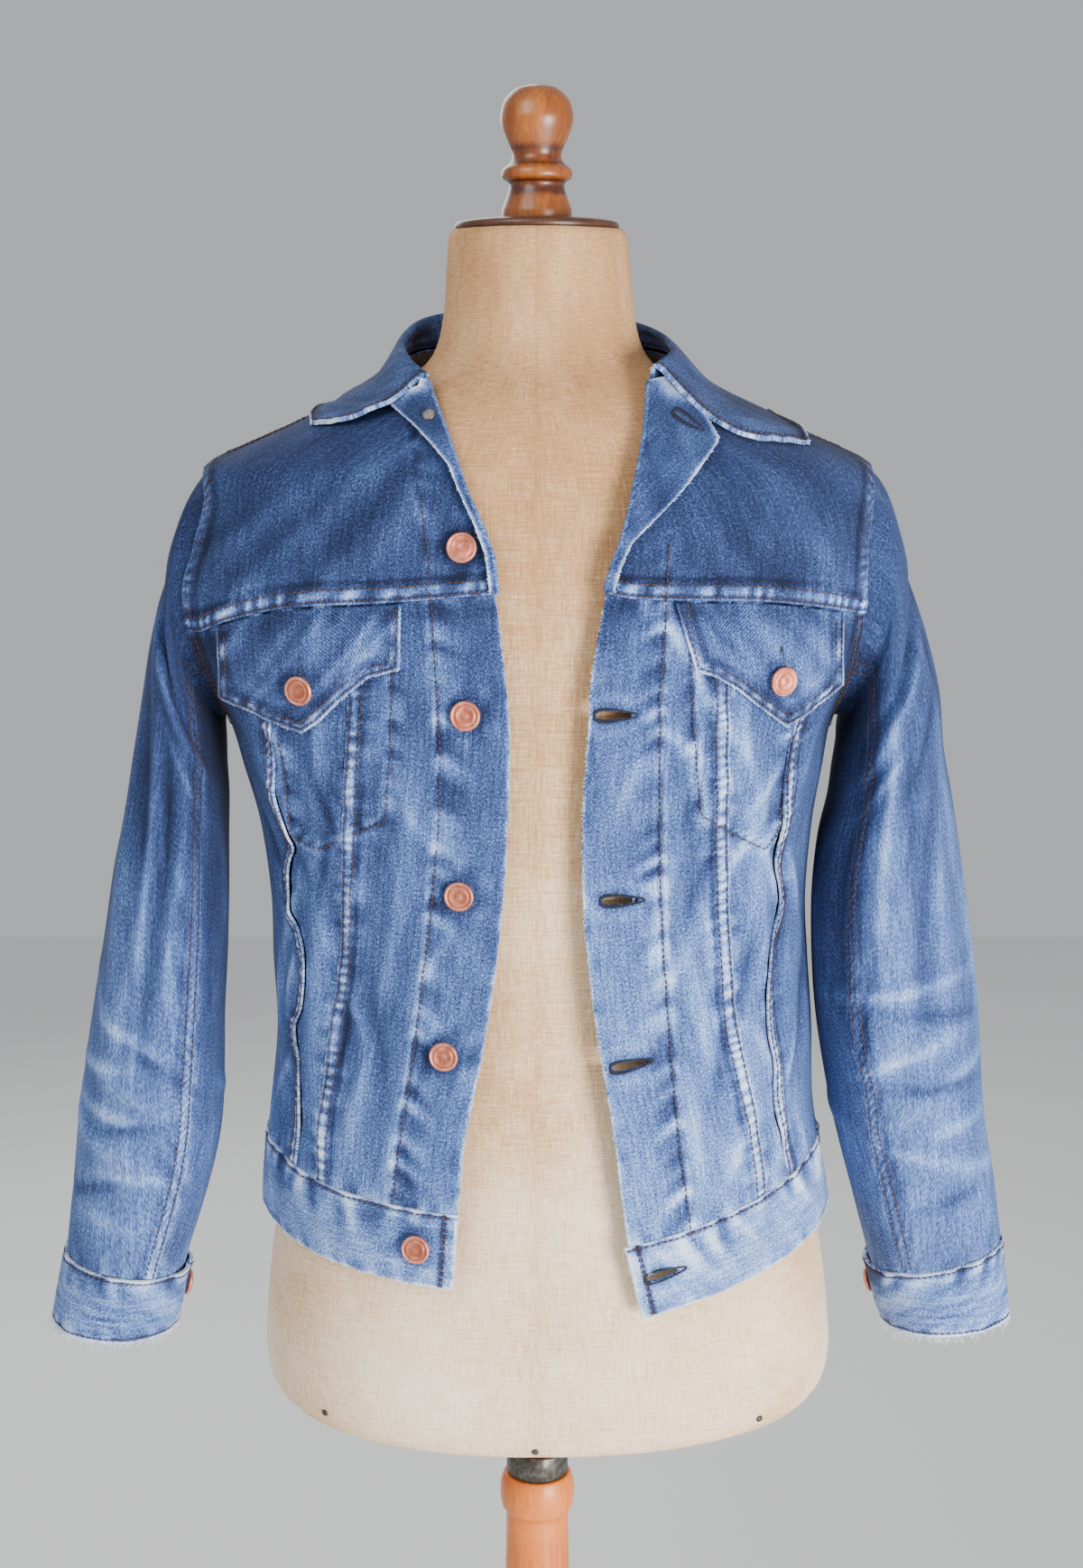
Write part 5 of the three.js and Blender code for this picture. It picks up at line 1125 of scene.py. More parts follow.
def whip(surface, side, hole, sizes, out, count, radius):
    """Dark thread worked closely round a buttonhole, from its rim to a larger outline."""
    rim, outer = (hole_outline(*hole, *size, count) for size in sizes)
    starts, normals = surface(side, rim[:, 0], rim[:, 1], out)
    ends, _ = surface(side, outer[:, 0], outer[:, 1], out)
    strands("dark", starts, ends, normals, radius)


def whip_hole(side, hole, out, length=HOLE_LENGTH, width=HOLE_WIDTH):
    """Works thread round a buttonhole of the left front."""
    sizes = ((length, width), (length + WHIP_LONGER, width + WHIP_WIDER))
    whip(front_surface, side, hole, sizes, out + 0.25, 72, WHIP_THREAD)


def fray(points, normals, away, seed, count, longest):
    """Loose pale thread ends along a raw or worn edge."""
    rng = np.random.default_rng(seed)
    steps = lengths(points)
    at = rng.uniform(0, steps[-1], count)
    start = read_along(points, steps, at)
    normal, outward = unit(read_along(normals, steps, at)), unit(read_along(away, steps, at))
    along = unit(np.cross(normal, outward))
    length = rng.uniform(0.3, 1, count)[:, None] ** 2 * longest
    lean = rng.normal(0, 0.55, (count, 1))
    rise = rng.normal(0, 0.3, (count, 1))
    ends = start + outward * length + along * lean * length + normal * rise * length
    strands("pale", start - outward * 0.4, ends, normal, FRAY_THREAD)


def fray_edges(panel, seed, *edges):
    """Frays edges of a panel, each given with its count of thread ends and their longest."""
    for where, count, longest in edges:
        points, normals = row_line(panel, where, 0.3)
        deeper, _ = row_line(panel, where, 3.0)
        fray(points, normals, unit(points - deeper), seed + count, count, longest)


# Materials


DENIM_TONES = (
    (0, "#131a30"), (0.2, "#232f54"), (0.4, "#384977"), (0.58, "#5672ae"), (0.76, "#84a5de"), (1, "#deeafa"),
)
LINEN_TONES = ((0, "#9a6f42"), (0.3, "#bc8c5e"), (0.5, "#d3a375"), (0.7, "#eac79d"), (1, "#ffedd4"))


def colour(code):
    """A colour's linear values from its hexadecimal code."""
    parts = [int(code[k : k + 2], 16) / 255 for k in (1, 3, 5)]
    return tuple(p / 12.92 if p <= 0.04045 else ((p + 0.055) / 1.055) ** 2.4 for p in parts) + (1,)


def node(tree, kind, inputs=None, **settings):
    """Adds a shader node, with its settings and with values or links for its inputs."""
    made = tree.nodes.new(kind)
    for key, value in settings.items():
        setattr(made, key, value)
    for key, value in (inputs or {}).items():
        if isinstance(value, bpy.types.NodeSocket):
            tree.links.new(value, made.inputs[key])
        else:
            made.inputs[key].default_value = value
    return made


def calc(tree, operation, a, b=0.0, clamp=False):
    """Adds a shader node that calculates."""
    return node(tree, "ShaderNodeMath", {0: a, 1: b}, operation=operation, use_clamp=clamp).outputs[0]


def added(tree, tone, value, share, clamp=False):
    """A tone with a share of a value added to it."""
    return calc(tree, "ADD", tone, calc(tree, "MULTIPLY", value, share), clamp)


def uneven(tree, tone, *parts):
    """A tone made uneven by noises, each with its strength."""
    for value, strength in parts:
        tone = added(tree, tone, calc(tree, "SUBTRACT", value, 0.5), strength)
    return tone


def noise(tree, vector, scale, detail=2.0, rough=0.5):
    """Noise in a vector stretched by a scale for each axis."""
    stretched = node(tree, "ShaderNodeVectorMath", {0: vector, 1: scale}, operation="MULTIPLY").outputs[0]
    inputs = {"Vector": stretched, "Scale": 1.0, "Detail": detail, "Roughness": rough}
    return node(tree, "ShaderNodeTexNoise", inputs).outputs["Fac"]


def ramp(tree, value, stops):
    """Turns a value into a colour between stops."""
    made = node(tree, "ShaderNodeValToRGB", {"Fac": value})
    points = made.color_ramp.elements
    while len(points) < len(stops):
        points.new(0.5)
    for point, (place, code) in zip(points, stops):
        point.position = place
        point.color = colour(code)
    return made.outputs["Color"]


def attribute(tree, name):
    return node(tree, "ShaderNodeAttribute", attribute_name=name).outputs["Fac"]


def new_material(name, roughness=0.5, metallic=0.0):
    """A material with its node tree and its shader."""
    material = bpy.data.materials.new(name)
    material.use_nodes = True
    shader = material.node_tree.nodes["Principled BSDF"]
    shader.inputs["Roughness"].default_value = roughness
    shader.inputs["Metallic"].default_value = metallic
    return material, material.node_tree, shader


def add_bump(tree, shader, height, strength, distance):
    made = node(tree, "ShaderNodeBump", {"Height": height, "Strength": strength, "Distance": distance * MM})
    tree.links.new(made.outputs["Normal"], shader.inputs["Normal"])


def denim_material():
    """Washed indigo twill: pale flecks along the warp, and the fade, painted shade and wear that the mesh
    gives.
    """
    material, tree, shader = new_material("denim_twill", 0.92)
    place = node(tree, "ShaderNodeTexCoord").outputs["UV"]
    streak = noise(tree, place, (0.5, 0.05, 1), 2, 0.5)
    grain = noise(tree, place, (0.95, 0.7, 1), 3, 0.8)
    fleck = noise(tree, place, (0.7, 0.5, 1), 1, 0.5)
    mottle = noise(tree, place, (0.045, 0.02, 1), 2, 0.5)
    split = node(tree, "ShaderNodeSeparateXYZ", {0: place})
    line = added(tree, calc(tree, "MULTIPLY", split.outputs[0], 4.6), split.outputs[1], -3.0)
    twill = calc(tree, "SINE", added(tree, line, fleck, 2))
    # The mesh's fade is the cloth's own fade together with painted shade
    tone = calc(tree, "ADD", calc(tree, "MULTIPLY", attribute(tree, "fade"), 0.3), 0.4)
    tone = uneven(tree, tone, (streak, 0.36), (grain, 1.5), (fleck, 0.2), (mottle, 0.3))
    tone = added(tree, tone, twill, 0.085)
    rough_edge = calc(tree, "MULTIPLY", attribute(tree, "wear"), calc(tree, "ADD", grain, 0.3))
    tone = added(tree, tone, rough_edge, 0.62, clamp=True)
    dyed = ramp(tree, tone, DENIM_TONES)
    back = ramp(tree, added(tree, streak, twill, 0.1), ((0.2, "#4f6080"), (0.8, "#9aa7ba")))
    shade = node(tree, "ShaderNodeMix", {0: attribute(tree, "reverse"), 6: dyed, 7: back}, data_type="RGBA")
    tree.links.new(shade.outputs[2], shader.inputs["Base Color"])
    height = calc(tree, "ADD", calc(tree, "MULTIPLY", twill, 0.4), calc(tree, "MULTIPLY", grain, 0.6))
    add_bump(tree, shader, height, 0.4, 0.3)
    shader.inputs["Sheen Weight"].default_value = 0.03
    shader.inputs["Specular IOR Level"].default_value = 0.2
    return material


def thread_material(name, dark, light):
    """Sewing thread, a little uneven."""
    material, tree, shader = new_material(name, 0.75)
    place = node(tree, "ShaderNodeTexCoord").outputs["Object"]
    tone = noise(tree, place, (900, 900, 900), 2)
    tree.links.new(ramp(tree, tone, ((0.3, dark), (0.7, light))), shader.inputs["Base Color"])
    return material


def linen_material():
    """Coarse natural linen with uneven threads both ways, a little stained, with painted light from the
    mesh's fade, brighter lower down.
    """
    material, tree, shader = new_material("linen_cover", 0.95)
    place = node(tree, "ShaderNodeTexCoord").outputs["UV"]
    warp = noise(tree, place, (1.5, 0.06, 1), 3, 0.65)
    weft = noise(tree, place, (0.06, 1.5, 1), 3, 0.65)
    stain = noise(tree, place, (0.011, 0.009, 1), 3, 0.55)
    fleck = noise(tree, place, (0.5, 0.5, 1), 3, 0.7)
    # The mesh's fade holds painted light: the form is painted brighter lower down
    tone = calc(tree, "MULTIPLY", attribute(tree, "fade"), 0.3)
    tone = uneven(tree, tone, (warp, 0.8), (weft, 0.8), (stain, 0.7), (fleck, 0.5))
    tone = calc(tree, "ADD", tone, 0.5, clamp=True)
    tree.links.new(ramp(tree, tone, LINEN_TONES), shader.inputs["Base Color"])
    add_bump(tree, shader, calc(tree, "ADD", warp, weft), 0.5, 0.35)
    shader.inputs["Specular IOR Level"].default_value = 0.2
    return material


def wood_material(name, dark, middle, light, gloss, grain=1.0):
    """Varnished turned wood with grain along its length, darker in its grooves."""
    material, tree, shader = new_material(name, gloss)
    place = node(tree, "ShaderNodeTexCoord").outputs["Object"]
    fine = noise(tree, place, (420 * grain, 420 * grain, 26), 4, 0.6)
    broad = noise(tree, place, (60, 60, 7), 3, 0.6)
    pore = noise(tree, place, (1400, 1400, 90), 2, 0.7)
    tone = added(tree, calc(tree, "MULTIPLY", fine, 0.5), broad, 0.5)
    tone = added(tree, tone, attribute(tree, "groove"), -0.45)
    tone = added(tree, tone, calc(tree, "GREATER_THAN", pore, 0.66), -0.12, clamp=True)
    shade = ramp(tree, tone, ((0.15, dark), (0.45, middle), (0.75, light)))
    tree.links.new(shade, shader.inputs["Base Color"])
    add_bump(tree, shader, fine, 0.12, 0.3)
    shader.inputs["Coat Weight"].default_value = 0.22
    shader.inputs["Coat Roughness"].default_value = 0.25
    return material


def metal_material(name, dark, middle, light, roughness):
    """Worn metal, darker in its grooves."""
    material, tree, shader = new_material(name, roughness, 0.85)
    place = node(tree, "ShaderNodeTexCoord").outputs["Object"]
    tone = noise(tree, place, (260, 260, 260), 4, 0.65)
    tone = added(tree, tone, attribute(tree, "groove"), -0.3, clamp=True)
    shade = ramp(tree, tone, ((0.2, dark), (0.5, middle), (0.8, light)))
    tree.links.new(shade, shader.inputs["Base Color"])
    add_bump(tree, shader, noise(tree, place, (900, 900, 900), 3), 0.15, 0.2)
    return material


denim = denim_material()
thread_brown = thread_material("thread_brown", "#321d17", "#674234")
thread_dark = thread_material("thread_dark", "#0d1120", "#262c3f")
thread_pale = thread_material("thread_pale", "#b7c6da", "#eef2f6")
linen = linen_material()
wood_red = wood_material("wood_finial", "#4a200c", "#8c4918", "#b8702e", 0.36)
wood_cap = wood_material("wood_cap", "#241008", "#47250f", "#663a1e", 0.45)
wood_post = wood_material("wood_post", "#a84a12", "#e07824", "#f89a3e", 0.45)
copper = metal_material("copper_worn", "#b96a50", "#e8937a", "#f6b8a2", 0.5)
nickel = metal_material("nickel_dull", "#6f655f", "#a3978d", "#c7bdb2", 0.5)
iron = metal_material("iron_dull", "#23211f", "#56534d", "#86827a", 0.42)


# The fronts and the back


def seam_rows(where, rows=(2.0, 8.4), band=9.6):
    """A felled seam with two rows of stitches."""
    return edge(where, rows, band, 0.5, 6.2, 0.5)


def plain_seam(where, pucker=0.7):
    """A seam with no stitches on this side of it."""
    return edge(where, (), 0.0, pucker, 7.5, 0.25, 6.0)


def sides_of(side, inner, outer):
    """The first and last edge of a panel, whose angles grow towards the left."""
    return (inner, outer) if side == "left" else (outer, inner)


FIRST_LAST = {"left": ("first", "last"), "right": ("last", "first")}


def build_front(side):
    """The three panels of a front, from its opening to the side seam."""
    near, far = FIRST_LAST[side]  # towards the opening, and away from it
    lines = [front_line(side, name) for name in ("edge", "inner", "outer")]
    lines.append(lambda z: SIGN[side] * SIDE_SEAM + 0 * z)
    opening = edge(near, (), 0, 0.35, 9, 1.0, 8)
    top, bottom = plain_seam("high", 1.0), plain_seam("low", 0.8)
    specs = (
        ("front_centre", [opening, seam_rows(far)]),
        ("front_middle", [plain_seam(near), plain_seam(far, 0.4)]),
        ("front_side", [seam_rows(near, (1.8, 5.6), 7), plain_seam(far)]),
    )
    for k, (name, edges) in enumerate(specs):
        edges, armholes = edges + [top, bottom], name == "front_side"
        first, last = sides_of(side, lines[k], lines[k + 1])
        holes = [(side, hole) for hole in FRONT_HOLES] if side == "left" and k == 0 else []
        seed = 3 + k + 10 * (side == "left")
        panel = body_panel(side + "_" + name, first, last, band_top, yoke_seam, edges, seed, holes, armholes)
        if k == 0:
            line_looks(panel, side, placket_line(side), 0.6, 0.9, 21 + SIGN[side], 11, 12)
        line_looks(panel, side, POCKET_BAG[side], 0.5, 0.8, 31 + SIGN[side])
        if side == "right":
            button_looks(panel, side)
        if side == "left" and k == 0:
            for hole in FRONT_HOLES:
                hole_looks(panel, side, hole)
        if armholes:
            flare(panel, near)
        finish_panel(panel)
        sew_rows(panel, edges, armholes)
        if k == 0:
            points, normals = row_line(panel, near, 0.0)
            away = unit(np.cross(normals, np.gradient(points, axis=0)))
            away = away * np.sign((away[:, :1] * -SIGN[side]).mean())
            fray(points, normals, away, 71 + SIGN[side], 260, 1.2)


def flare(panel, near):
    """The wavy long seam stands up as a soft fin."""
    away, along = edge_distance(panel["base"], near)
    share = ease(panel["z"], 880, 920) * (1 - ease(panel["z"], 1100, 1150))
    wave = 0.8 + 0.2 * ripple(along, 17, 60)
    change(panel, 2.2 * share * bump(away, 6.5) * wave, 0.35 * share * bump(away - 3, 4))


def button_looks(panel, side):
    """A button presses small puckers into the cloth, and a ring of painted shade lies round it."""
    flat = seen_from_front(panel, side)
    for x, z, _ in FRONT_BUTTONS.values():
        across, up = flat[..., 0] - x, flat[..., 1] - z
        away, turn = np.hypot(across, up), np.arctan2(up, across)
        puckers = 0.3 * bump(away - 16, 4) * np.sin(turn * 5 + z)
        change(panel, -0.35 * bump(away, 7), puckers - 0.5 * bump(away - 10, 3.2))


def hole_looks(panel, side, hole):
    """The cloth beside a buttonhole is darker and thicker."""
    _, away = nearest_on(seen_from_front(panel, side), hole_outline(*hole), True)
    change(panel, 0.25 * bump(away - 1.5, 1.6), 0.25 * bump(away - 8, 3) - 0.35 * bump(away, 3.4))


def build_back():
    """The back's sides, centre and yoke, and the stitches round both armholes."""
    top, bottom = plain_seam("high", 0.9), plain_seam("low", 0.8)
    right_side = (lambda z: -back_seam(z), lambda z: -SIDE_SEAM + 0 * z)
    left_side = (lambda z: SIDE_SEAM + 0 * z, back_seam)
    for side, (first, last) in (("right", right_side), ("left", left_side)):
        to_side, to_middle = ("last", "first") if side == "right" else ("first", "last")
        edges = [edge(to_side, (2.0, 8.0), 9.4, 0.5, 6.4, 0.5), plain_seam(to_middle), top, bottom]
        seed = 40 + SIGN[side]
        panel = body_panel(side + "_back_side", first, last, band_top, yoke_seam, edges, seed, armholes=True)
        finish_panel(panel)
        sew_rows(panel, edges, True)
    edges = [seam_rows("first"), seam_rows("last"), top, bottom]
    panel = body_panel("back_centre", back_seam, lambda z: 360 - back_seam(z), band_top, yoke_seam, edges, 45)
    finish_panel(panel)
    sew_rows(panel, edges)
    edges = [edge(where, (), 0, 0.3, 8, 0.5) for where in ("first", "last")]
    edges += [seam_rows("low"), plain_seam("high", 0.5)]
    first, last = (lambda z: SHOULDER_SEAM + 0 * z), (lambda z: 360 - SHOULDER_SEAM + 0 * z)
    panel = body_panel("back_yoke", first, last, yoke_low, neck_seam, edges, 47, armholes=True)
    finish_panel(panel)
    sew_rows(panel, [seam_rows("low")], True)
    for side in SIGN:
        for grow in ARMHOLE_ROWS:
            sew_armhole(side, grow)


def sew_armhole(side, grow):
    """A row of stitches round an armhole, on the body's side of it."""
    outline = armhole_outline(side, grow, 220)
    y, z = outline[:, 0], outline[:, 1]
    angle = angle_of(side, y, z)
    creases, _ = body_looks(angle, z)
    points, normals = body(angle, z, 0.2 + creases), section_normal(TORSO, angle, z)
    sew(np.concatenate([points, points[:1]]), np.concatenate([normals, normals[:1]]))


def yoke_grid(side):
    """A front yoke's angles and heights, from its shoulder to its fold, and the faces it keeps."""
    fold_line = lambda z: angle_at(side, straight(LAPEL[side], "z", "fold", z), z)
    shoulder = lambda z: SIGN[side] * SHOULDER_SEAM + 0 * z
    across, up = spacing(YOKE_WIDTH), spacing(YOKE_HEIGHT)
    if side == "right":
        angle, z = panel_grid(shoulder, fold_line, yoke_low, neck_seam, across, up)
    else:
        angle, z = panel_grid(fold_line, shoulder, yoke_low, neck_seam, 1 - across[::-1], up)
        angle, z = angle[:, ::-1], z[:, ::-1]
    return cut_armhole(side, angle, z)


def lapel_places(side, fold_z):
    """Distances out from the middle and heights on a lapel, and how far its edge is from each."""
    fold_x, edge_x = (straight(LAPEL[side], "z", name, fold_z)[:, None] for name in ("fold", "edge"))
    x = fold_x + (edge_x - fold_x) * LAPEL_SHARES
    return x, fold_z[:, None] + 0 * x, np.abs(edge_x - fold_x) * (1 - LAPEL_SHARES)


def with_lapel(side, panel, angle, z, thick):
    """One face of a yoke, the bend at its fold, and the lapel that lies over the yoke."""
    fold_z, normal = z[:, -1], panel["normal"][:, -1]
    opening = -SIGN[side] * unit(np.cross(np.array([0, 0, 1.0]), normal))
    centre = body(angle[:, -1], fold_z, FOLD_GAP / 2)
    radius = FOLD_GAP / 2 + thick
    bends = [
        (centre + radius * (opening * math.cos(turn) + normal * math.sin(turn)))[:, None]
        for turn in np.radians(FOLD_TURNS)
    ]
    x, level, _ = lapel_places(side, fold_z)
    wave = 0.5 * ripple(level, 81 + SIGN[side], 34) * LAPEL_SHARES**2
    over = body(angle_at(side, x, level), level, FOLD_GAP + thick + LAPEL_RISE * LAPEL_SHARES + wave)
    return np.concatenate([face_of(panel) - panel["normal"] * thick, *bends, over], 1)


def build_front_yoke(side):
    """A front yoke with the lapel that folds back over it."""
    angle, z, kept = yoke_grid(side)
    edges = [edge("first", (3.0, 9.5), 10.5, 0.5, 7, 0.9), seam_rows("low"), plain_seam("high", 0.4)]
    panel = dressed(angle, z, edges, 60 + SIGN[side], True)
    line_looks(panel, side, placket_line(side), 0.3, 0.5, 24 + SIGN[side], 9, 12)
    if side == "right":
        button_looks(panel, side)
    near_fold, _ = edge_distance(panel["base"], "last")
    panel["relief"] = panel["relief"] * ease(near_fold, 0, 5)
    face, back = (with_lapel(side, panel, angle, z, thick) for thick in (0.0, CLOTH))
    rows, columns = angle.shape
    bent = len(FOLD_TURNS)
    extra = bent + len(LAPEL_SHARES)
    x, level, from_edge = lapel_places(side, z[:, -1])
    fade = -0.2 + 0.45 * ripple(level, 83, 16) * bump(from_edge, 14) + 0.25 * ripple(x + level * 0.4, 84, 12)
    wear = 1.1 * bump(from_edge, 1.5) + 0.8 * ease(level, 1325, 1338) * bump(from_edge, 9)
    wear = wear + 0.8 * ease(np.arange(rows)[:, None], rows - 3, rows - 1)
    looks = {
        "fade": np.concatenate([panel["looks"]["fade"], np.zeros((rows, bent)), fade], 1),
        "wear": np.concatenate([panel["looks"]["wear"], np.full((rows, bent), 0.3), wear], 1),
        "reverse": tuple(
            np.concatenate([np.full((rows, columns), on_yoke), np.full((rows, extra), on_lapel)], 1)
            for on_yoke, on_lapel in ((0.0, 0.6), (1.0, 0.0))
        ),
    }
    keep = np.concatenate([kept, np.ones((rows - 1, extra), bool)], 1)
    denim_piece(side + "_front_yoke", face, back, looks, keep)
    sew_rows(panel, [edge("low", (2.0, 8.4)), edge("first", (3.0, 9.5))], True)
    rim = back[:, -1]
    away = unit(rim - back[:, -3])
    fray(rim, np.repeat([[0, -1.0, 0]], rows, 0), away, 91 + SIGN[side], 130, 0.9)


def build_waistband():
    """One strip round the waist, from one front edge to the other."""

    def end(side, z):
        bottom, top = BAND_ENDS[side]
        return angle_at(side, mix(bottom, top, (z - HEM_FRONT) / BAND_HEIGHT), z)

    first, last = (lambda z: end("left", z)), (lambda z: 360 + end("right", z))
    edges = [edge("high", (2.2,), 0, 1.5, 9, 0.9, 11), edge("low", (), 0, 0.8, 8, 1.1, 6)]
    edges += [edge(where, (6.5, 8.0), 0, 0.5, 6, 1.0, 5) for where in ("first", "last")]
    across = spacing(BAND_LENGTH, columns_at("left", BAND_HOLE, first, last, BAND_LENGTH))
    up = spacing(BAND_HEIGHT, rows_at("left", BAND_HOLE, hem, band_top, BAND_HEIGHT))
    angle, z = panel_grid(first, last, hem, band_top, across, up)
    angle, z, keep = cut_hole("left", angle, z, BAND_HOLE)
    base = body(angle, z, BAND_OUT)
    relief, fade, wear = sewn_looks(base, edges, 77)
    along, up = arcs(base)
    below = bump(up[-1:] - up - 10, 12)
    puffs = ripple(along + 0.5 * up, 78, 15) * below
    blotch = 0.75 * puffs + ripple(along + z * 0.7, 79, 11) * 0.12
    panel = {
        "node": "waistband",
        "base": base,
        "normal": section_normal(TORSO, angle, z),
        "relief": relief + 0.9 * puffs + 0.25 * ripple(along + z * 0.5, 80, 22),
        "looks": {"fade": fade + 0.78 + 0.2 * (angle > 0) * (angle < 90) + 1.2 * blotch, "wear": wear},
        "keep": keep,
        "thick": STRIP,
    }
    hole_looks(panel, "left", BAND_HOLE)
    button_looks(panel, "right")
    finish_panel(panel, True)
    sew_rows(panel, edges)
    fray_edges(panel, 95, ("low", 900, 2.0), ("high", 260, 2.0), ("last", 60, 2.0), ("first", 60, 2.0))


# Sleeves and cuffs


def ring_point(side, rows, s, angle, square=2.1):
    """A point on a sleeve's ring: the angle starts at the outer line, front is +."""
    turn = np.radians(angle)
    away, ahead = rounded(np.cos(turn), 2 / square), rounded(np.sin(turn), 2 / square)
    value = {name: smooth(rows, "s", name, s) for name in RING_COLUMNS.split()[1:]}
    share = (1 + away) / 2
    x = mix(value["ix"], value["ox"], share) + value["bulge"] * ahead**2 - value["turn"] * ahead
    y = value["middle"] - value["half"] * ahead
    z = mix(value["iz"], value["oz"], share)
    return np.stack([SIGN[side] * x, y, z], -1)


def ring_normal(side, rows, s, angle):
    """The way out from a sleeve's ring."""
    around = ring_point(side, rows, s, angle + 1) - ring_point(side, rows, s, angle - 1)
    along = ring_point(side, rows, s + 0.05, angle) - ring_point(side, rows, s - 0.05, angle)
    normal = unit(np.cross(around, along))
    middle = (ring_point(side, rows, s, 0 * angle) + ring_point(side, rows, s, 0 * angle + 180)) / 2
    out = ring_point(side, rows, s, angle) - middle
    return np.where((normal * out).sum(-1, keepdims=True) < 0, -normal, normal)


def body_reach(side, y, z):
    """How far out the jacket's body is at a place seen from the side."""
    middle, front, back = depths(TORSO, z)
    reach, square = at_height(TORSO, z, side, "square")
    share = np.abs(y - middle) / np.where(y < middle, front, back)
    return reach * np.maximum(0, 1 - share**square) ** (1 / square)


def sleeve_grid(side, s, angle, out, small):
    """Points of a sleeve. Between its first ring, in the armhole, and the next they blend."""
    rows = SLEEVE[side]
    last = rows["s"][-1]
    fade = np.clip(s - 0.8, 0, 1) * np.clip(last - s, 0, 1)
    relief = fade * (fold_heights(SLEEVE_FOLDS[side], angle, s, SLEEVE_ARC, RING_STEP) + small)
    normal = ring_normal(side, rows, s, angle)
    ring = ring_point(side, rows, s, angle) + normal * (out + relief)[..., None]
    y, z = armhole_place(side, angle, out - ARMHOLE_CLEAR)
    top = np.stack([SIGN[side] * (body_reach(side, y, z) - SLEEVE_SINK), y, z], -1)
    first = 0 * s + SLEEVE_BLEND
    start_normal = ring_normal(side, rows, first, angle)
    start = ring_point(side, rows, first, angle) + start_normal * (0 * s + out)[..., None]
    blended = mix(top, start, np.clip(s / SLEEVE_BLEND, 0, 1)[..., None])
    return np.where((s < SLEEVE_BLEND)[..., None], blended, ring), normal


def sleeve_half(side, name, start, end, seam_edges, seed):
    """Half of a sleeve, between its two long seams."""
    last = SLEEVE[side]["s"][-1]
    across = start + (end - start) * spacing((end - start) * SLEEVE_ARC)
    along = np.unique(np.concatenate([spacing(last * RING_STEP) * last, [SLEEVE_BLEND]]))
    angle, s = np.meshgrid(across, along)
    small = 1.3 * fold_heights(SLEEVE_CREASES[side], angle, s, SLEEVE_ARC, RING_STEP)
    base, normal = sleeve_grid(side, s, angle, 0 * s, 0 * s)
    relief, fade, wear = sewn_looks(base, seam_edges, seed)
    lower = mix(0.25, SLEEVE_LOWER[side], ease(s, 8, 10))
    relief, fade = relief * np.clip(s / 0.5, 0, 1) * lower, fade * lower
    big = fold_heights(SLEEVE_FOLDS[side], angle, s, SLEEVE_ARC, RING_STEP)
    turned = np.abs(((angle + 180) % 360) - 180)
    shadow = ease(turned, SLEEVE_SHADOW[side], SLEEVE_SHADOW[side] + 12) * mix(0.45, 1, 1 - ease(s, 9, 12))
    tone = tone_at(SLEEVE_TONES, s) - 0.55 * shadow
    fade = fade + tone + 0.42 * small + 0.09 * big + SLEEVE_DIM[side] * (1 - ease(s, 5, 12))
    # The inside follows the smooth ring, but near the armhole it is the outside moved in
    detailed, normal = sleeve_grid(side, s, angle, relief, small)
    inside, _ = sleeve_grid(side, s, angle, relief * 0.5 - CLOTH, small)
    facing = unit(np.cross(np.gradient(detailed, axis=1), np.gradient(detailed, axis=0)))
    facing = facing * np.sign((facing[-1] * normal[-1]).sum())
    inside = mix(detailed - facing * CLOTH, inside, ease(s, 2.2, 3.2)[..., None])
    looks = {"fade": fade, "wear": wear, "reverse": (0 * fade, ease(s, 2.6, 3.4))}
    denim_piece(side + "_" + name, detailed, inside, looks)
    sew_rows({"base": detailed, "normal": normal, "relief": relief * 0}, seam_edges)


def build_sleeves(side):
    """A sleeve's top and under halves, and its cuff."""
    ends = [edge("high", (), 0, 1.2, 9, 0.3, 10), edge("low", (), 0, 0.5, 9, 0.2, 6)]
    top_edges = [edge(where, (2.0, 7.6), 9.2, 0.8, 7, 0.5) for where in ("first", "last")] + ends
    under_edges = [plain_seam("first"), plain_seam("last")] + ends
    seam = SLEEVE_SEAM - SLEEVE_INSET
    sleeve_half(side, "top_sleeve", -seam, seam, top_edges, 110 + SIGN[side])
    seam = SLEEVE_SEAM + SLEEVE_INSET
    sleeve_half(side, "under_sleeve", seam, 360 - seam, under_edges, 114 + SIGN[side])
    build_cuff(side)


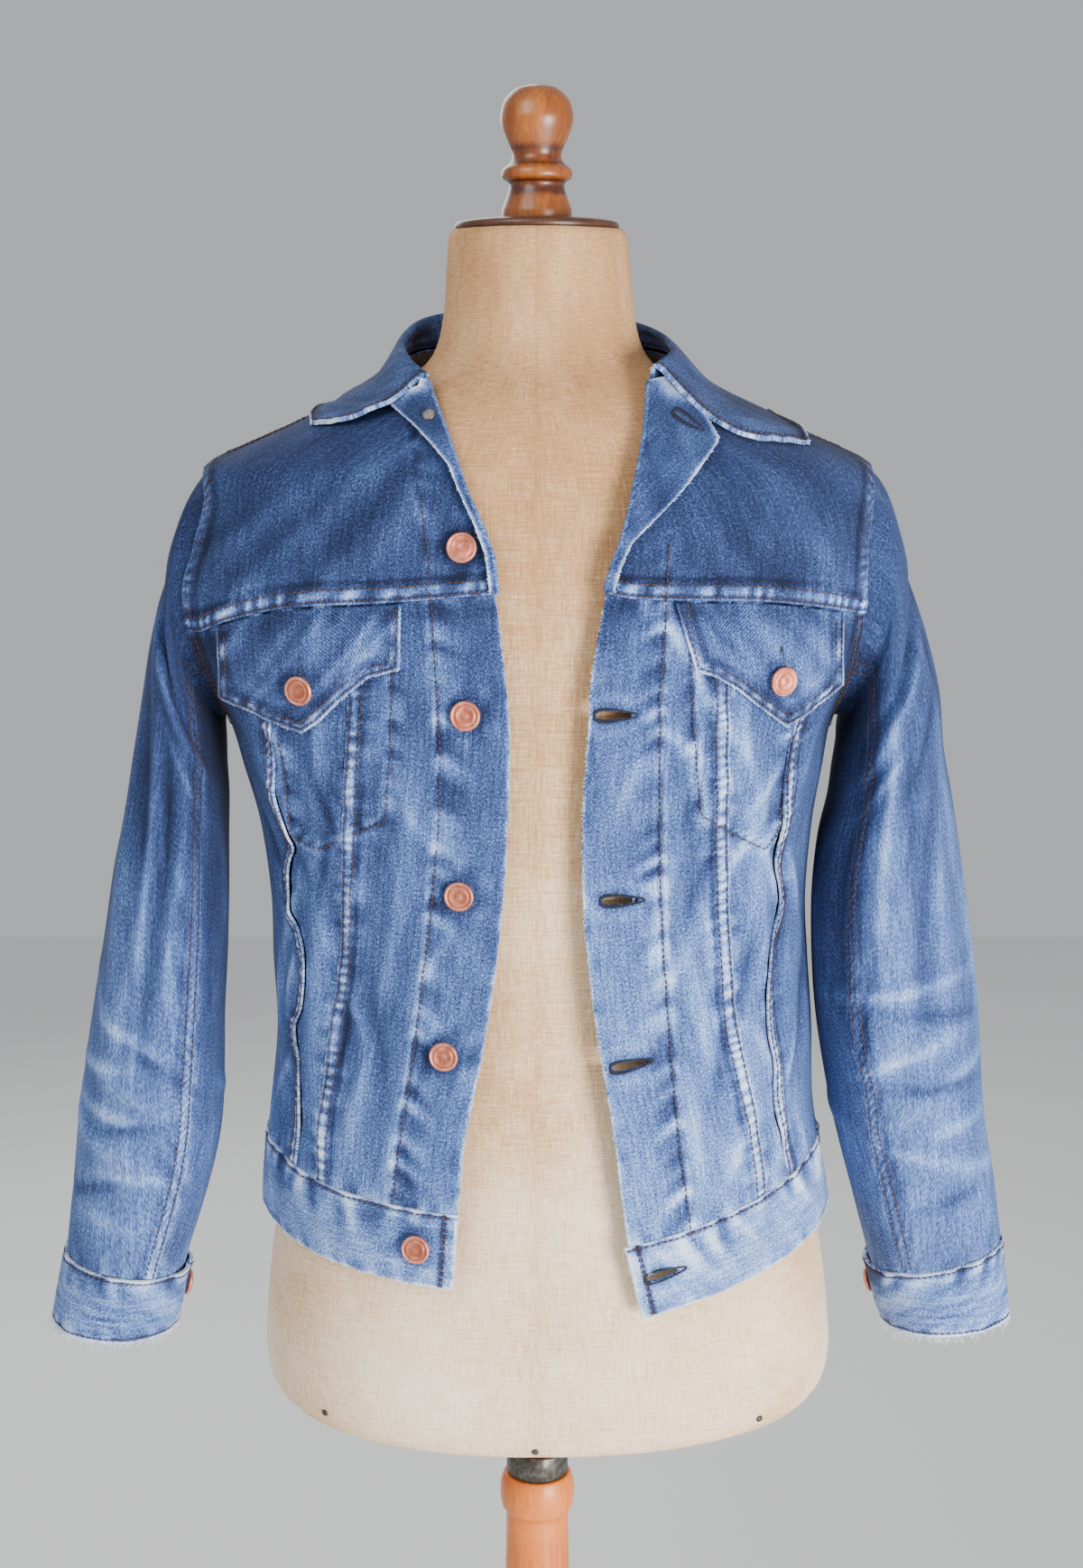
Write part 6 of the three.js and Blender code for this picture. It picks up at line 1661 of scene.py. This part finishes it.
def build_cuff(side):
    """A cuff wraps round with its ends one over the other."""
    rows = CUFF[side]
    shares = spacing(CUFF_LENGTH)
    angle, s = np.meshgrid(CUFF_OPENING + (360 + CUFF_LAP) * shares, spacing(CUFF_HEIGHT))
    rise = (STRIP + SPARE + CUFF_LAP_GAP) * ease(shares, 0.78, 0.97)[None, :] + 0 * s
    normal = ring_normal(side, rows, 0.05 + 0.9 * s, angle)
    base = ring_point(side, rows, s, angle) + normal * rise[..., None]
    edges = [edge("high", (2.0,), 0, 1.5, 9, 1.0, 10), edge("low", (2.6,), 0, 1.0, 8, 1.3, 7)]
    edges += [edge(where, (2.4,), 0, 0.6, 6, 0.9, 5) for where in ("first", "last")]
    relief, fade, wear = sewn_looks(base, edges, 130 + SIGN[side])
    along, up = arcs(base)
    streaks = ripple(up + 0.08 * along, 132, 5) * (0.6 + 0.4 * ripple(along, 133, 40))
    below = bump(up[-1:] - up - 9, 9)
    fade = fade + 0.72 + 0.6 * streaks * mix(0.5, 1, bump(up - 16, 14)) + 0.3 * ripple(along + up, 135, 14)
    fade = fade - 0.5 * below * (0.5 + 0.5 * ripple(along, 136, 9)) + 0.5 * bump(up, 3)
    relief = relief + 0.7 * ripple(along + up * 0.4, 134, 26) + 0.35 * streaks
    panel = {"base": base, "normal": normal, "relief": relief}
    outside = face_of(panel)
    looks = {"fade": fade, "wear": wear}
    inside = outside - normal * STRIP
    denim_piece(side + "_cuff", outside, inside, looks, lengthwise=True)
    sew_rows(panel, edges)
    fray_edges(panel, 140 + SIGN[side], ("low", 520, 6.5), ("high", 160, 1.8))


# Collar and flaps


def body_distance(points):
    """How far points lie outside the jacket's smooth body, and the way out there."""

    def level(p):
        x, y, z = p[..., 0], p[..., 1], p[..., 2]
        middle, front, back = depths(TORSO, z)
        left, right, square = at_height(TORSO, z, "left", "right", "square")
        reach = np.where(x > 0, left, right)
        depth = np.where(y < middle, front, back)
        return (np.abs(x / reach) ** square + np.abs((y - middle) / depth) ** square) ** (1 / square)

    step = 0.4
    slopes = [(level(points + step * axis) - level(points - step * axis)) / (2 * step) for axis in np.eye(3)]
    gradient = np.stack(slopes, -1)
    return (level(points) - 1) / np.linalg.norm(gradient, axis=-1), unit(gradient)


def pushed_clear(points, clearance):
    """Moves points out until they are a distance outside the body."""
    for _ in range(5):
        distance, out = body_distance(points)
        points = points + out * np.maximum(0, clearance - distance)[..., None]
    return points


def collar_surface():
    """The collar's points from the neck seam over its roll to its free edge, the way away from the
    face that shows, and how far the roll is from that edge."""
    turn = mix(COLLAR["turn"][0], COLLAR["turn"][-1], spacing(COLLAR_LENGTH))
    kx, ky, kz, ex, ey, ez, bow = (smooth(COLLAR, "turn", name, turn) for name in list(COLLAR)[1:])
    angle = np.where(turn > 180, 360 - turn, -turn)
    up = np.array([0, 0, 1.0])
    seam = section(TORSO, angle, neck_seam(angle)) + STAND_START * up
    crest, free = np.stack([kx, ky, kz], -1), np.stack([ex, ey, ez], -1)
    out = unit((free - crest) * np.array([1, 1, 0]))
    stand = mix(seam, crest, STAND_SHARE) + out * STAND_LEAN
    inside, outside = (crest + out * roll[0] + up * roll[1] for roll in (ROLL_INSIDE, ROLL_OUTSIDE))
    profile = [seam, stand, inside, crest, outside]
    for share in LEAF_SHARES:
        point = mix(crest, free, share)
        point[:, 2] = mix(free[:, 2], crest[:, 2], (1 - share) ** 2)
        point[:, 1] -= bow * math.sin(math.pi * share)
        profile.append(pushed_clear(point, STRIP + SPARE + LEAF_LIFT))
    coarse = np.stack(profile, 0)
    keys = np.concatenate([[0], np.cumsum(np.linalg.norm(np.diff(coarse, axis=0), axis=-1).mean(1))])
    fine = spacing(keys[-1]) * keys[-1]
    grid = np.zeros((len(fine), len(turn), 3))
    for k in range(3):
        for j in range(len(turn)):
            grid[:, j, k] = smooth({"at": keys, "value": coarse[:, j, k]}, "at", "value", fine)
    sideways = unit(np.cross(out, up))
    normal = unit(np.cross(unit(np.gradient(grid, axis=0)), sideways[None] + 0 * grid))
    return grid, normal, keys[-1] - keys[3]


def build_collar():
    """The stand rises from the neck seam to the roll, and the leaf falls to its free edge."""
    grid, normal, roll_place = collar_surface()
    from_edge, around = edge_distance(grid, "high")
    edges = [edge("high", (3.0,), 0, 0.9, 9, 1.2, 8)]
    edges += [edge(where, (3.0,), 0, 0.6, 8, 1.1, 6) for where in ("first", "last")]
    edges.append(edge("low", (2.0, 8.0), 0, 0.3, 8, 0.2, 5))
    relief, fade, wear = sewn_looks(grid, edges, 150)
    waves = 0.8 * ripple(around, 151, 40) + 0.6 * ripple(around + from_edge, 152, 19)
    on_leaf = ease(from_edge, 0, 6) * (1 - ease(from_edge, 44, 56))
    relief = relief + 0.7 * bump(from_edge - 1.5, 2.2) - 0.5 * bump(from_edge - 5.5, 2.2)
    relief = relief + waves * on_leaf
    # A pale rolled edge, and painted shade in the groove inside it
    fade = fade + 0.5 * bump(from_edge - 1.8, 2.2) - 0.6 * bump(from_edge - 6, 2.4)
    fade = fade + 0.35 * bump(from_edge - 12, 6) * ripple(around, 154, 12)
    roll = bump(from_edge - roll_place, 9)
    fade = fade - 0.28 + 0.35 * waves * on_leaf + 0.35 * roll * (0.6 + 0.4 * ripple(around, 153, 30))
    outside = grid - normal * relief[..., None]
    inside = outside + normal * STRIP
    looks = {"fade": fade, "wear": wear, "reverse": (0 * fade, 0 * fade)}
    denim_piece("collar", outside, inside, looks)
    panel = {"base": outside, "normal": -normal, "relief": 0 * relief}
    sew_rows(panel, edges[:3])
    fray_edges(panel, 160, ("high", 300, 1.6), ("first", 70, 1.6), ("last", 70, 1.6))


def flap_top(side, x):
    """The height of a flap's top, just under the yoke seam."""
    return yoke_seam(angle_at(side, x, BACK_YOKE_SEAM)) - FLAP_DROP


def flap_surface(side, x, z, out=0.0):
    """Points and normals on a pocket flap's back, moved out."""
    x, z = np.asarray(x, float), np.asarray(z, float)
    top = flap_top(side, x)
    lowest = FLAP[side]["z"].min()
    curl = FLAP_CURL * np.clip((top - z) / (top - lowest), 0, None) ** 2
    angle = angle_at(side, x, z)
    return body(angle, z, FLAP_LIFT + curl + out), section_normal(TORSO, angle, z)


def flap_grid(side):
    """Distances out and heights on a flap, and the line down one end, along below and up again."""
    outline = FLAP[side]
    width = outline["x"][-1] - outline["x"][0]
    low_x = np.unique(np.concatenate([outline["x"][0] + spacing(width) * width, outline["x"]]).round(2))
    share = (low_x - low_x[0]) / width
    v = spacing(FLAP_HEIGHT)[:, None]
    x = low_x[None] - FLAP_LEAN[side] * (1 - share)[None] * v
    top = flap_top(side, x)
    start, end = (low_x[0] - FLAP_LEAN[side], top[-1, 0]), (low_x[-1], top[-1, -1])
    rim = np.array([start, *zip(outline["x"], outline["z"]), end])
    return x, mix(straight(outline, "x", "z", low_x)[None] + 0 * v, top, v), rim


def flap_looks(side, x, z, rim):
    """A flap's relief and looks: its thick sewn edge with painted shade beyond it and along its rows, its
    puckers, and painted shade round its button.
    """
    place, away = nearest_on(np.stack([x, z], -1), rim, False)
    along = place[..., 0] * 1.3 + place[..., 1] * 0.4
    rungs = ladder(along, 170 + SIGN[side], 7)
    _, tone = body_looks(angle_at(side, x, z), z)
    relief = 0.5 * (1 - ease(away, 6.4, 7.6)) - 0.5 * bump(away, 0.9) + 0.35 * rungs * bump(away - 4, 2.4)
    relief = relief + 0.8 * ripple(x + z * 0.6, 171, 22)
    # Pale rungs on the band, and painted shade just beyond it
    fade = tone + 0.05 + (1.3 * rungs + 0.35) * bump(away - 3.8, 2.2) - 0.6 * bump(away - 8, 1.8)
    for row in FLAP_ROWS:
        relief = relief - 0.35 * bump(away - row, 0.8)
        # Painted shade along each row of stitches
        fade = fade - 0.85 * bump(away - row, 0.9)
    fade = fade + 0.45 * ripple(x * 1.2 + z, 172 + SIGN[side], 14) + 0.25 * bump(away - 12, 6)
    button_x, button_z = POCKET_BUTTONS[side]
    # Painted shade in a ring round the button
    fade = fade - 0.45 * bump(np.hypot(x - button_x, z - button_z) - 10, 3)
    return relief, {"fade": fade, "wear": 0.95 * bump(away, 1.2) * (0.7 + 0.3 * ripple(along, 173, 8))}


def build_flap(side):
    """A pocket flap hangs from the yoke seam over the panels."""
    x, z, rim = flap_grid(side)
    base, normal = flap_surface(side, x, z, STRIP)
    relief, looks = flap_looks(side, x, z, rim)
    outside = base + normal * relief[..., None]
    inside = outside - normal * (STRIP - SPARE)
    denim_piece(side + "_pocket_flap", outside, inside, looks)
    for row in FLAP_ROWS:
        line = offset_line(rim, row)
        steps = lengths(line)
        line_x, line_z = read_along(line, steps, np.arange(1, steps[-1] - 1, 1.5)).T
        sew(*flap_surface(side, line_x, line_z, STRIP + THREAD_LIFT))
    whip_flap_hole(side)
    fray(base[0], normal[0], unit(base[0] - base[2]), 180 + SIGN[side], 130, 0.8)


def whip_flap_hole(side):
    """An upright buttonhole above the flap's button."""
    x, z = POCKET_BUTTONS[side]
    hole = (x, z + FLAP_HOLE_RISE, 90)
    whip(flap_surface, side, hole, FLAP_HOLE_SIZES, STRIP + THREAD_LIFT, 32, FLAP_WHIP_THREAD)


# Buttons, form and stand


def turned_faces(rows, around):
    """Quads round rings of points, the caps below and above them, and which of these are smooth."""
    index = np.arange(rows * around).reshape(rows, around)
    following = np.roll(index, -1, 1)
    quads = np.stack([index[:-1], following[:-1], following[1:], index[1:]], -1).reshape(-1, 4).tolist()
    return quads + [index[0, ::-1].tolist(), index[-1].tolist()], [True] * len(quads) + [False, False]


def turned_on(place, way, profile, around):
    """Rings of points round an outward line, from a profile of radii and heights along it."""
    turn = np.arange(around) * 2 * np.pi / around
    across = unit(np.cross([0, 0, 1.0], way))
    up = np.cross(way, across)
    r, h = profile[:, :1], profile[:, 1:]
    ring = (r * np.cos(turn))[..., None] * across + (r * np.sin(turn))[..., None] * up
    return (place + ring + h[..., None] * way).reshape(-1, 3)


def lathe(name, profile, material, node_name, around, rounds):
    """A turned piece: its profile is rounded between the points and closed at both ends."""
    r, z = np.array(profile, float).T
    if rounds > 1:
        keys = np.arange(len(r), dtype=float)
        at = np.linspace(0, keys[-1], (len(r) - 1) * rounds + 1)
        r, z = (smooth({"at": keys, "value": column}, "at", "value", at) for column in (r, z))
    turn = np.arange(around) * 2 * np.pi / around
    r, z = r[:, None], z[:, None]
    points = np.stack([r * np.cos(turn), r * np.sin(turn), z + 0 * turn], -1)
    faces, flags = turned_faces(len(r), around)
    piece = finished(name, points.reshape(-1, 3), faces, material, flags)
    bend = np.gradient(np.gradient(r[:, 0]))
    depth = np.clip(bend / max(np.abs(bend).max(), 1e-6), 0, 1)
    paint(piece, {"groove": np.repeat(depth, around)})
    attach(piece, "root")
    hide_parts(node_name)


BUTTON_PROFILE = (
    (0.01, 0),
    (SHANK_RADIUS, 0),
    (SHANK_RADIUS, SHANK_HEIGHT),
    (BUTTON_RADIUS - 0.5, SHANK_HEIGHT + 0.2),
    (BUTTON_RADIUS, SHANK_HEIGHT + 0.9),
    (BUTTON_RADIUS - 0.1, SHANK_HEIGHT + 1.8),
    (BUTTON_RADIUS - 0.7, BUTTON_TOP),
    (BUTTON_RADIUS - 1.2, BUTTON_TOP),
    (BUTTON_RADIUS - 1.7, BUTTON_TOP - 0.5),
    (BUTTON_RADIUS - 3.2, BUTTON_TOP - 0.45),
    (BUTTON_RADIUS - 3.5, BUTTON_TOP - 0.15),
    (BUTTON_RADIUS - 3.9, BUTTON_TOP - 0.45),
    (3.4, BUTTON_TOP - 0.5),
    (2.6, BUTTON_TOP - 0.75),
    (1.6, BUTTON_TOP - 0.45),
    (0.01, BUTTON_TOP - 0.35),
)
TACK_PROFILE = (
    (0.01, 0), (TACK_RADIUS, 0), (TACK_RADIUS, 0.5), (TACK_RADIUS * 0.8, 1.2), (1.6, 1.5), (0.01, 1.4),
)


def build_button(name, point, normal, profile=BUTTON_PROFILE, material=copper):
    """A tack button with plain concentric rings, seated on the cloth."""
    around = 40
    profile = np.array(profile, float)
    normal = unit(np.asarray(normal, float).reshape(3))
    start = np.asarray(point, float).reshape(3) + normal * SEAM_GAP
    faces, flags = turned_faces(len(profile), around)
    piece = finished(name + "_head", turned_on(start, normal, profile, around), faces, material, flags)
    low = profile[:, 1].max() - profile[:, 1]
    depth = np.where(profile[:, 0] < BUTTON_RADIUS - 0.9, np.clip(low * 1.6, 0, 1), 0)
    paint(piece, {"groove": np.repeat(depth, around)})
    bevel = piece.modifiers.new("round", "BEVEL")
    bevel.width = 0.12 * MM
    bevel.segments = 1
    bevel.limit_method = "ANGLE"
    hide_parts(name)
    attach(piece, "root")


def build_buttons():
    """The buttons of the fronts, the neck, the flaps and the cuffs."""
    for name, (x, z, out) in FRONT_BUTTONS.items():
        build_button(name, *front_surface("right", x, z, out))
    tack_seat = front_surface("right", *NECK_TACK, FOLD_GAP + CLOTH + SPARE + TACK_CLEAR)
    build_button("neck_tack", *tack_seat, TACK_PROFILE, nickel)
    for side, (x, z) in POCKET_BUTTONS.items():
        build_button(side + "_pocket_button", *flap_surface(side, x, z, STRIP + SPARE))
    angle, half = np.array(CUFF_OPENING + CUFF_LAP / 2), np.array(0.5)
    for side in SIGN:
        normal = ring_normal(side, CUFF[side], half, angle)
        point = ring_point(side, CUFF[side], half, angle) + normal * (STRIP + SPARE + CUFF_LAP_GAP)
        build_button(side + "_cuff_button", point, normal)


def build_form():
    """The linen-covered body, whole under the jacket, with its neck."""
    around = 180
    heights = np.concatenate([[716.5, 717.5, 719], np.arange(721, 1429, 5.0), [1429, 1430.5, 1431.5, 1432]])
    angle, level = np.meshgrid(np.arange(around) * 360 / around, heights)
    grid, normal = section(FORM, angle, level), section_normal(FORM, angle, level)
    z = grid[..., 2]
    arc = wrapped(angle) * FORM_ARC
    seam = bump(arc, 1.2)
    dent = 0.25 * ripple(z + 0.3 * arc, 202, 70) + 0.2 * ripple(arc, 203, 50)
    grid = grid + normal * (dent - 0.35 - 0.15 * seam)[..., None]
    faces, flags = turned_faces(len(heights), around)
    piece = finished("form_linen", grid.reshape(-1, 3), faces, linen, flags)
    paint_uv(piece, np.stack([arc, z], -1))
    # The form's fade is painted light, brighter lower down, with a darker line along its seam
    paint(piece, {"fade": tone_at(FORM_PAINTED_LIGHT, z) - 0.25 * seam})
    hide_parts("form_body")
    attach(piece, "root")
    for name, x, z in FORM_NAILS:
        side = "left" if x > 0 else "right"
        share = abs(x) / smooth(FORM, "z", side, z)
        angle = np.array(SIGN[side] * math.degrees(math.asin(min(1, share) ** (2.25 / 2))))
        level = np.array(float(z))
        nail(name, section(FORM, angle, level), section_normal(FORM, angle, level))


def nail(name, place, way):
    """A small upholsterer's nail in the form's lower edge."""
    around = 16
    profile = np.array(((2.1, -0.6), (2.1, 0.1), (1.5, 0.7), (0.01, 0.9)))
    faces, _ = turned_faces(len(profile), around)
    piece = finished("nail_" + name, turned_on(place, way, profile, around), faces[:-1], iron)
    paint(piece, {"groove": np.zeros(len(profile) * around)})
    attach(piece, "root")


def build_stand():
    """The wooden cap and finial above the form, and the stem, ring, post and base below it."""
    lathe("cap_wood", CAP_PROFILE, wood_cap, "neck_cap", 96, 4)
    lathe("finial_wood", FINIAL_PROFILE, wood_red, "finial", 72, 6)
    lathe("stem_wood", STEM_PROFILE, wood_post, "stem", 64, 1)
    lathe("ferrule_iron", FERRULE_PROFILE, iron, "ferrule", 72, 1)
    lathe("post_wood", POST_PROFILE, wood_post, "post", 72, 6)
    lathe("base_wood", BASE_PROFILE, wood_post, "base", 128, 4)


def build_camera():
    """The camera of the photograph: its lens, height and downward tilt."""
    data = bpy.data.cameras.new("camera")
    camera = bpy.data.objects.new("camera", data)
    bpy.context.scene.collection.objects.link(camera)
    camera.location = CAMERA_PLACE
    camera.rotation_euler = (math.radians(90 - CAMERA_TILT), 0, 0)
    data.sensor_width = 36
    data.lens = data.sensor_width * LENS_PIXELS / PICTURE_HEIGHT
    data.clip_start, data.clip_end = 0.05, 50
    bpy.context.scene.camera = camera


def build_light():
    """A pale floor under soft studio light."""
    corners = [(x * 4000, y * 4000, -0.2) for x, y in ((-1, -1), (1, -1), (1, 1), (-1, 1))]
    floor = finished("floor", corners, [(0, 1, 2, 3)], floor_material())
    world = bpy.data.worlds.new("studio")
    bpy.context.scene.world = world
    world.use_nodes = True
    background = world.node_tree.nodes["Background"]
    background.inputs["Color"].default_value = (0.82, 0.85, 0.88, 1)
    background.inputs["Strength"].default_value = 0.6
    for name, place, size, power in LAMPS:
        light = bpy.data.lights.new(name, "AREA")
        light.size, light.energy = size, power
        lamp = bpy.data.objects.new(name, light)
        bpy.context.scene.collection.objects.link(lamp)
        lamp.location = place
        aim = np.array((0, 0, LAMP_AIM)) - np.array(place)
        flat = math.hypot(aim[0], aim[1])
        lamp.rotation_euler = (math.atan2(flat, -aim[2]), 0, math.atan2(aim[1], aim[0]) - math.pi / 2)


def floor_material():
    material, tree, shader = new_material("floor_pale", 0.8)
    place = node(tree, "ShaderNodeTexCoord").outputs["Object"]
    shade = ramp(tree, noise(tree, place, (0.6, 0.6, 0.6), 2), ((0.3, "#e6e6e4"), (0.7, "#ececea")))
    tree.links.new(shade, shader.inputs["Base Color"])
    return material


build_camera()
build_light()
for side in ("right", "left"):
    build_front(side)
    build_front_yoke(side)
    build_sleeves(side)
    build_flap(side)
    sew_front_line(side, placket_line(side)[PLACKET[side]["z"] < 1300], 0.3)
    sew_front_line(side, POCKET_BAG[side], 0.2)
build_back()
build_waistband()
build_collar()
for hole in FRONT_HOLES:
    whip_hole("left", hole, 0.2)
whip_hole("left", BAND_HOLE, BAND_OUT + 0.2)
whip_hole("left", LAPEL_HOLE, FOLD_GAP + CLOTH + 1.2, *LAPEL_HOLE_SIZE)
build_buttons()
build_form()
build_stand()
for name, material in (("brown", thread_brown), ("dark", thread_dark), ("pale", thread_pale)):
    stitches = thread_mesh("thread_" + name, threads[name], material)
    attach(stitches, "root")
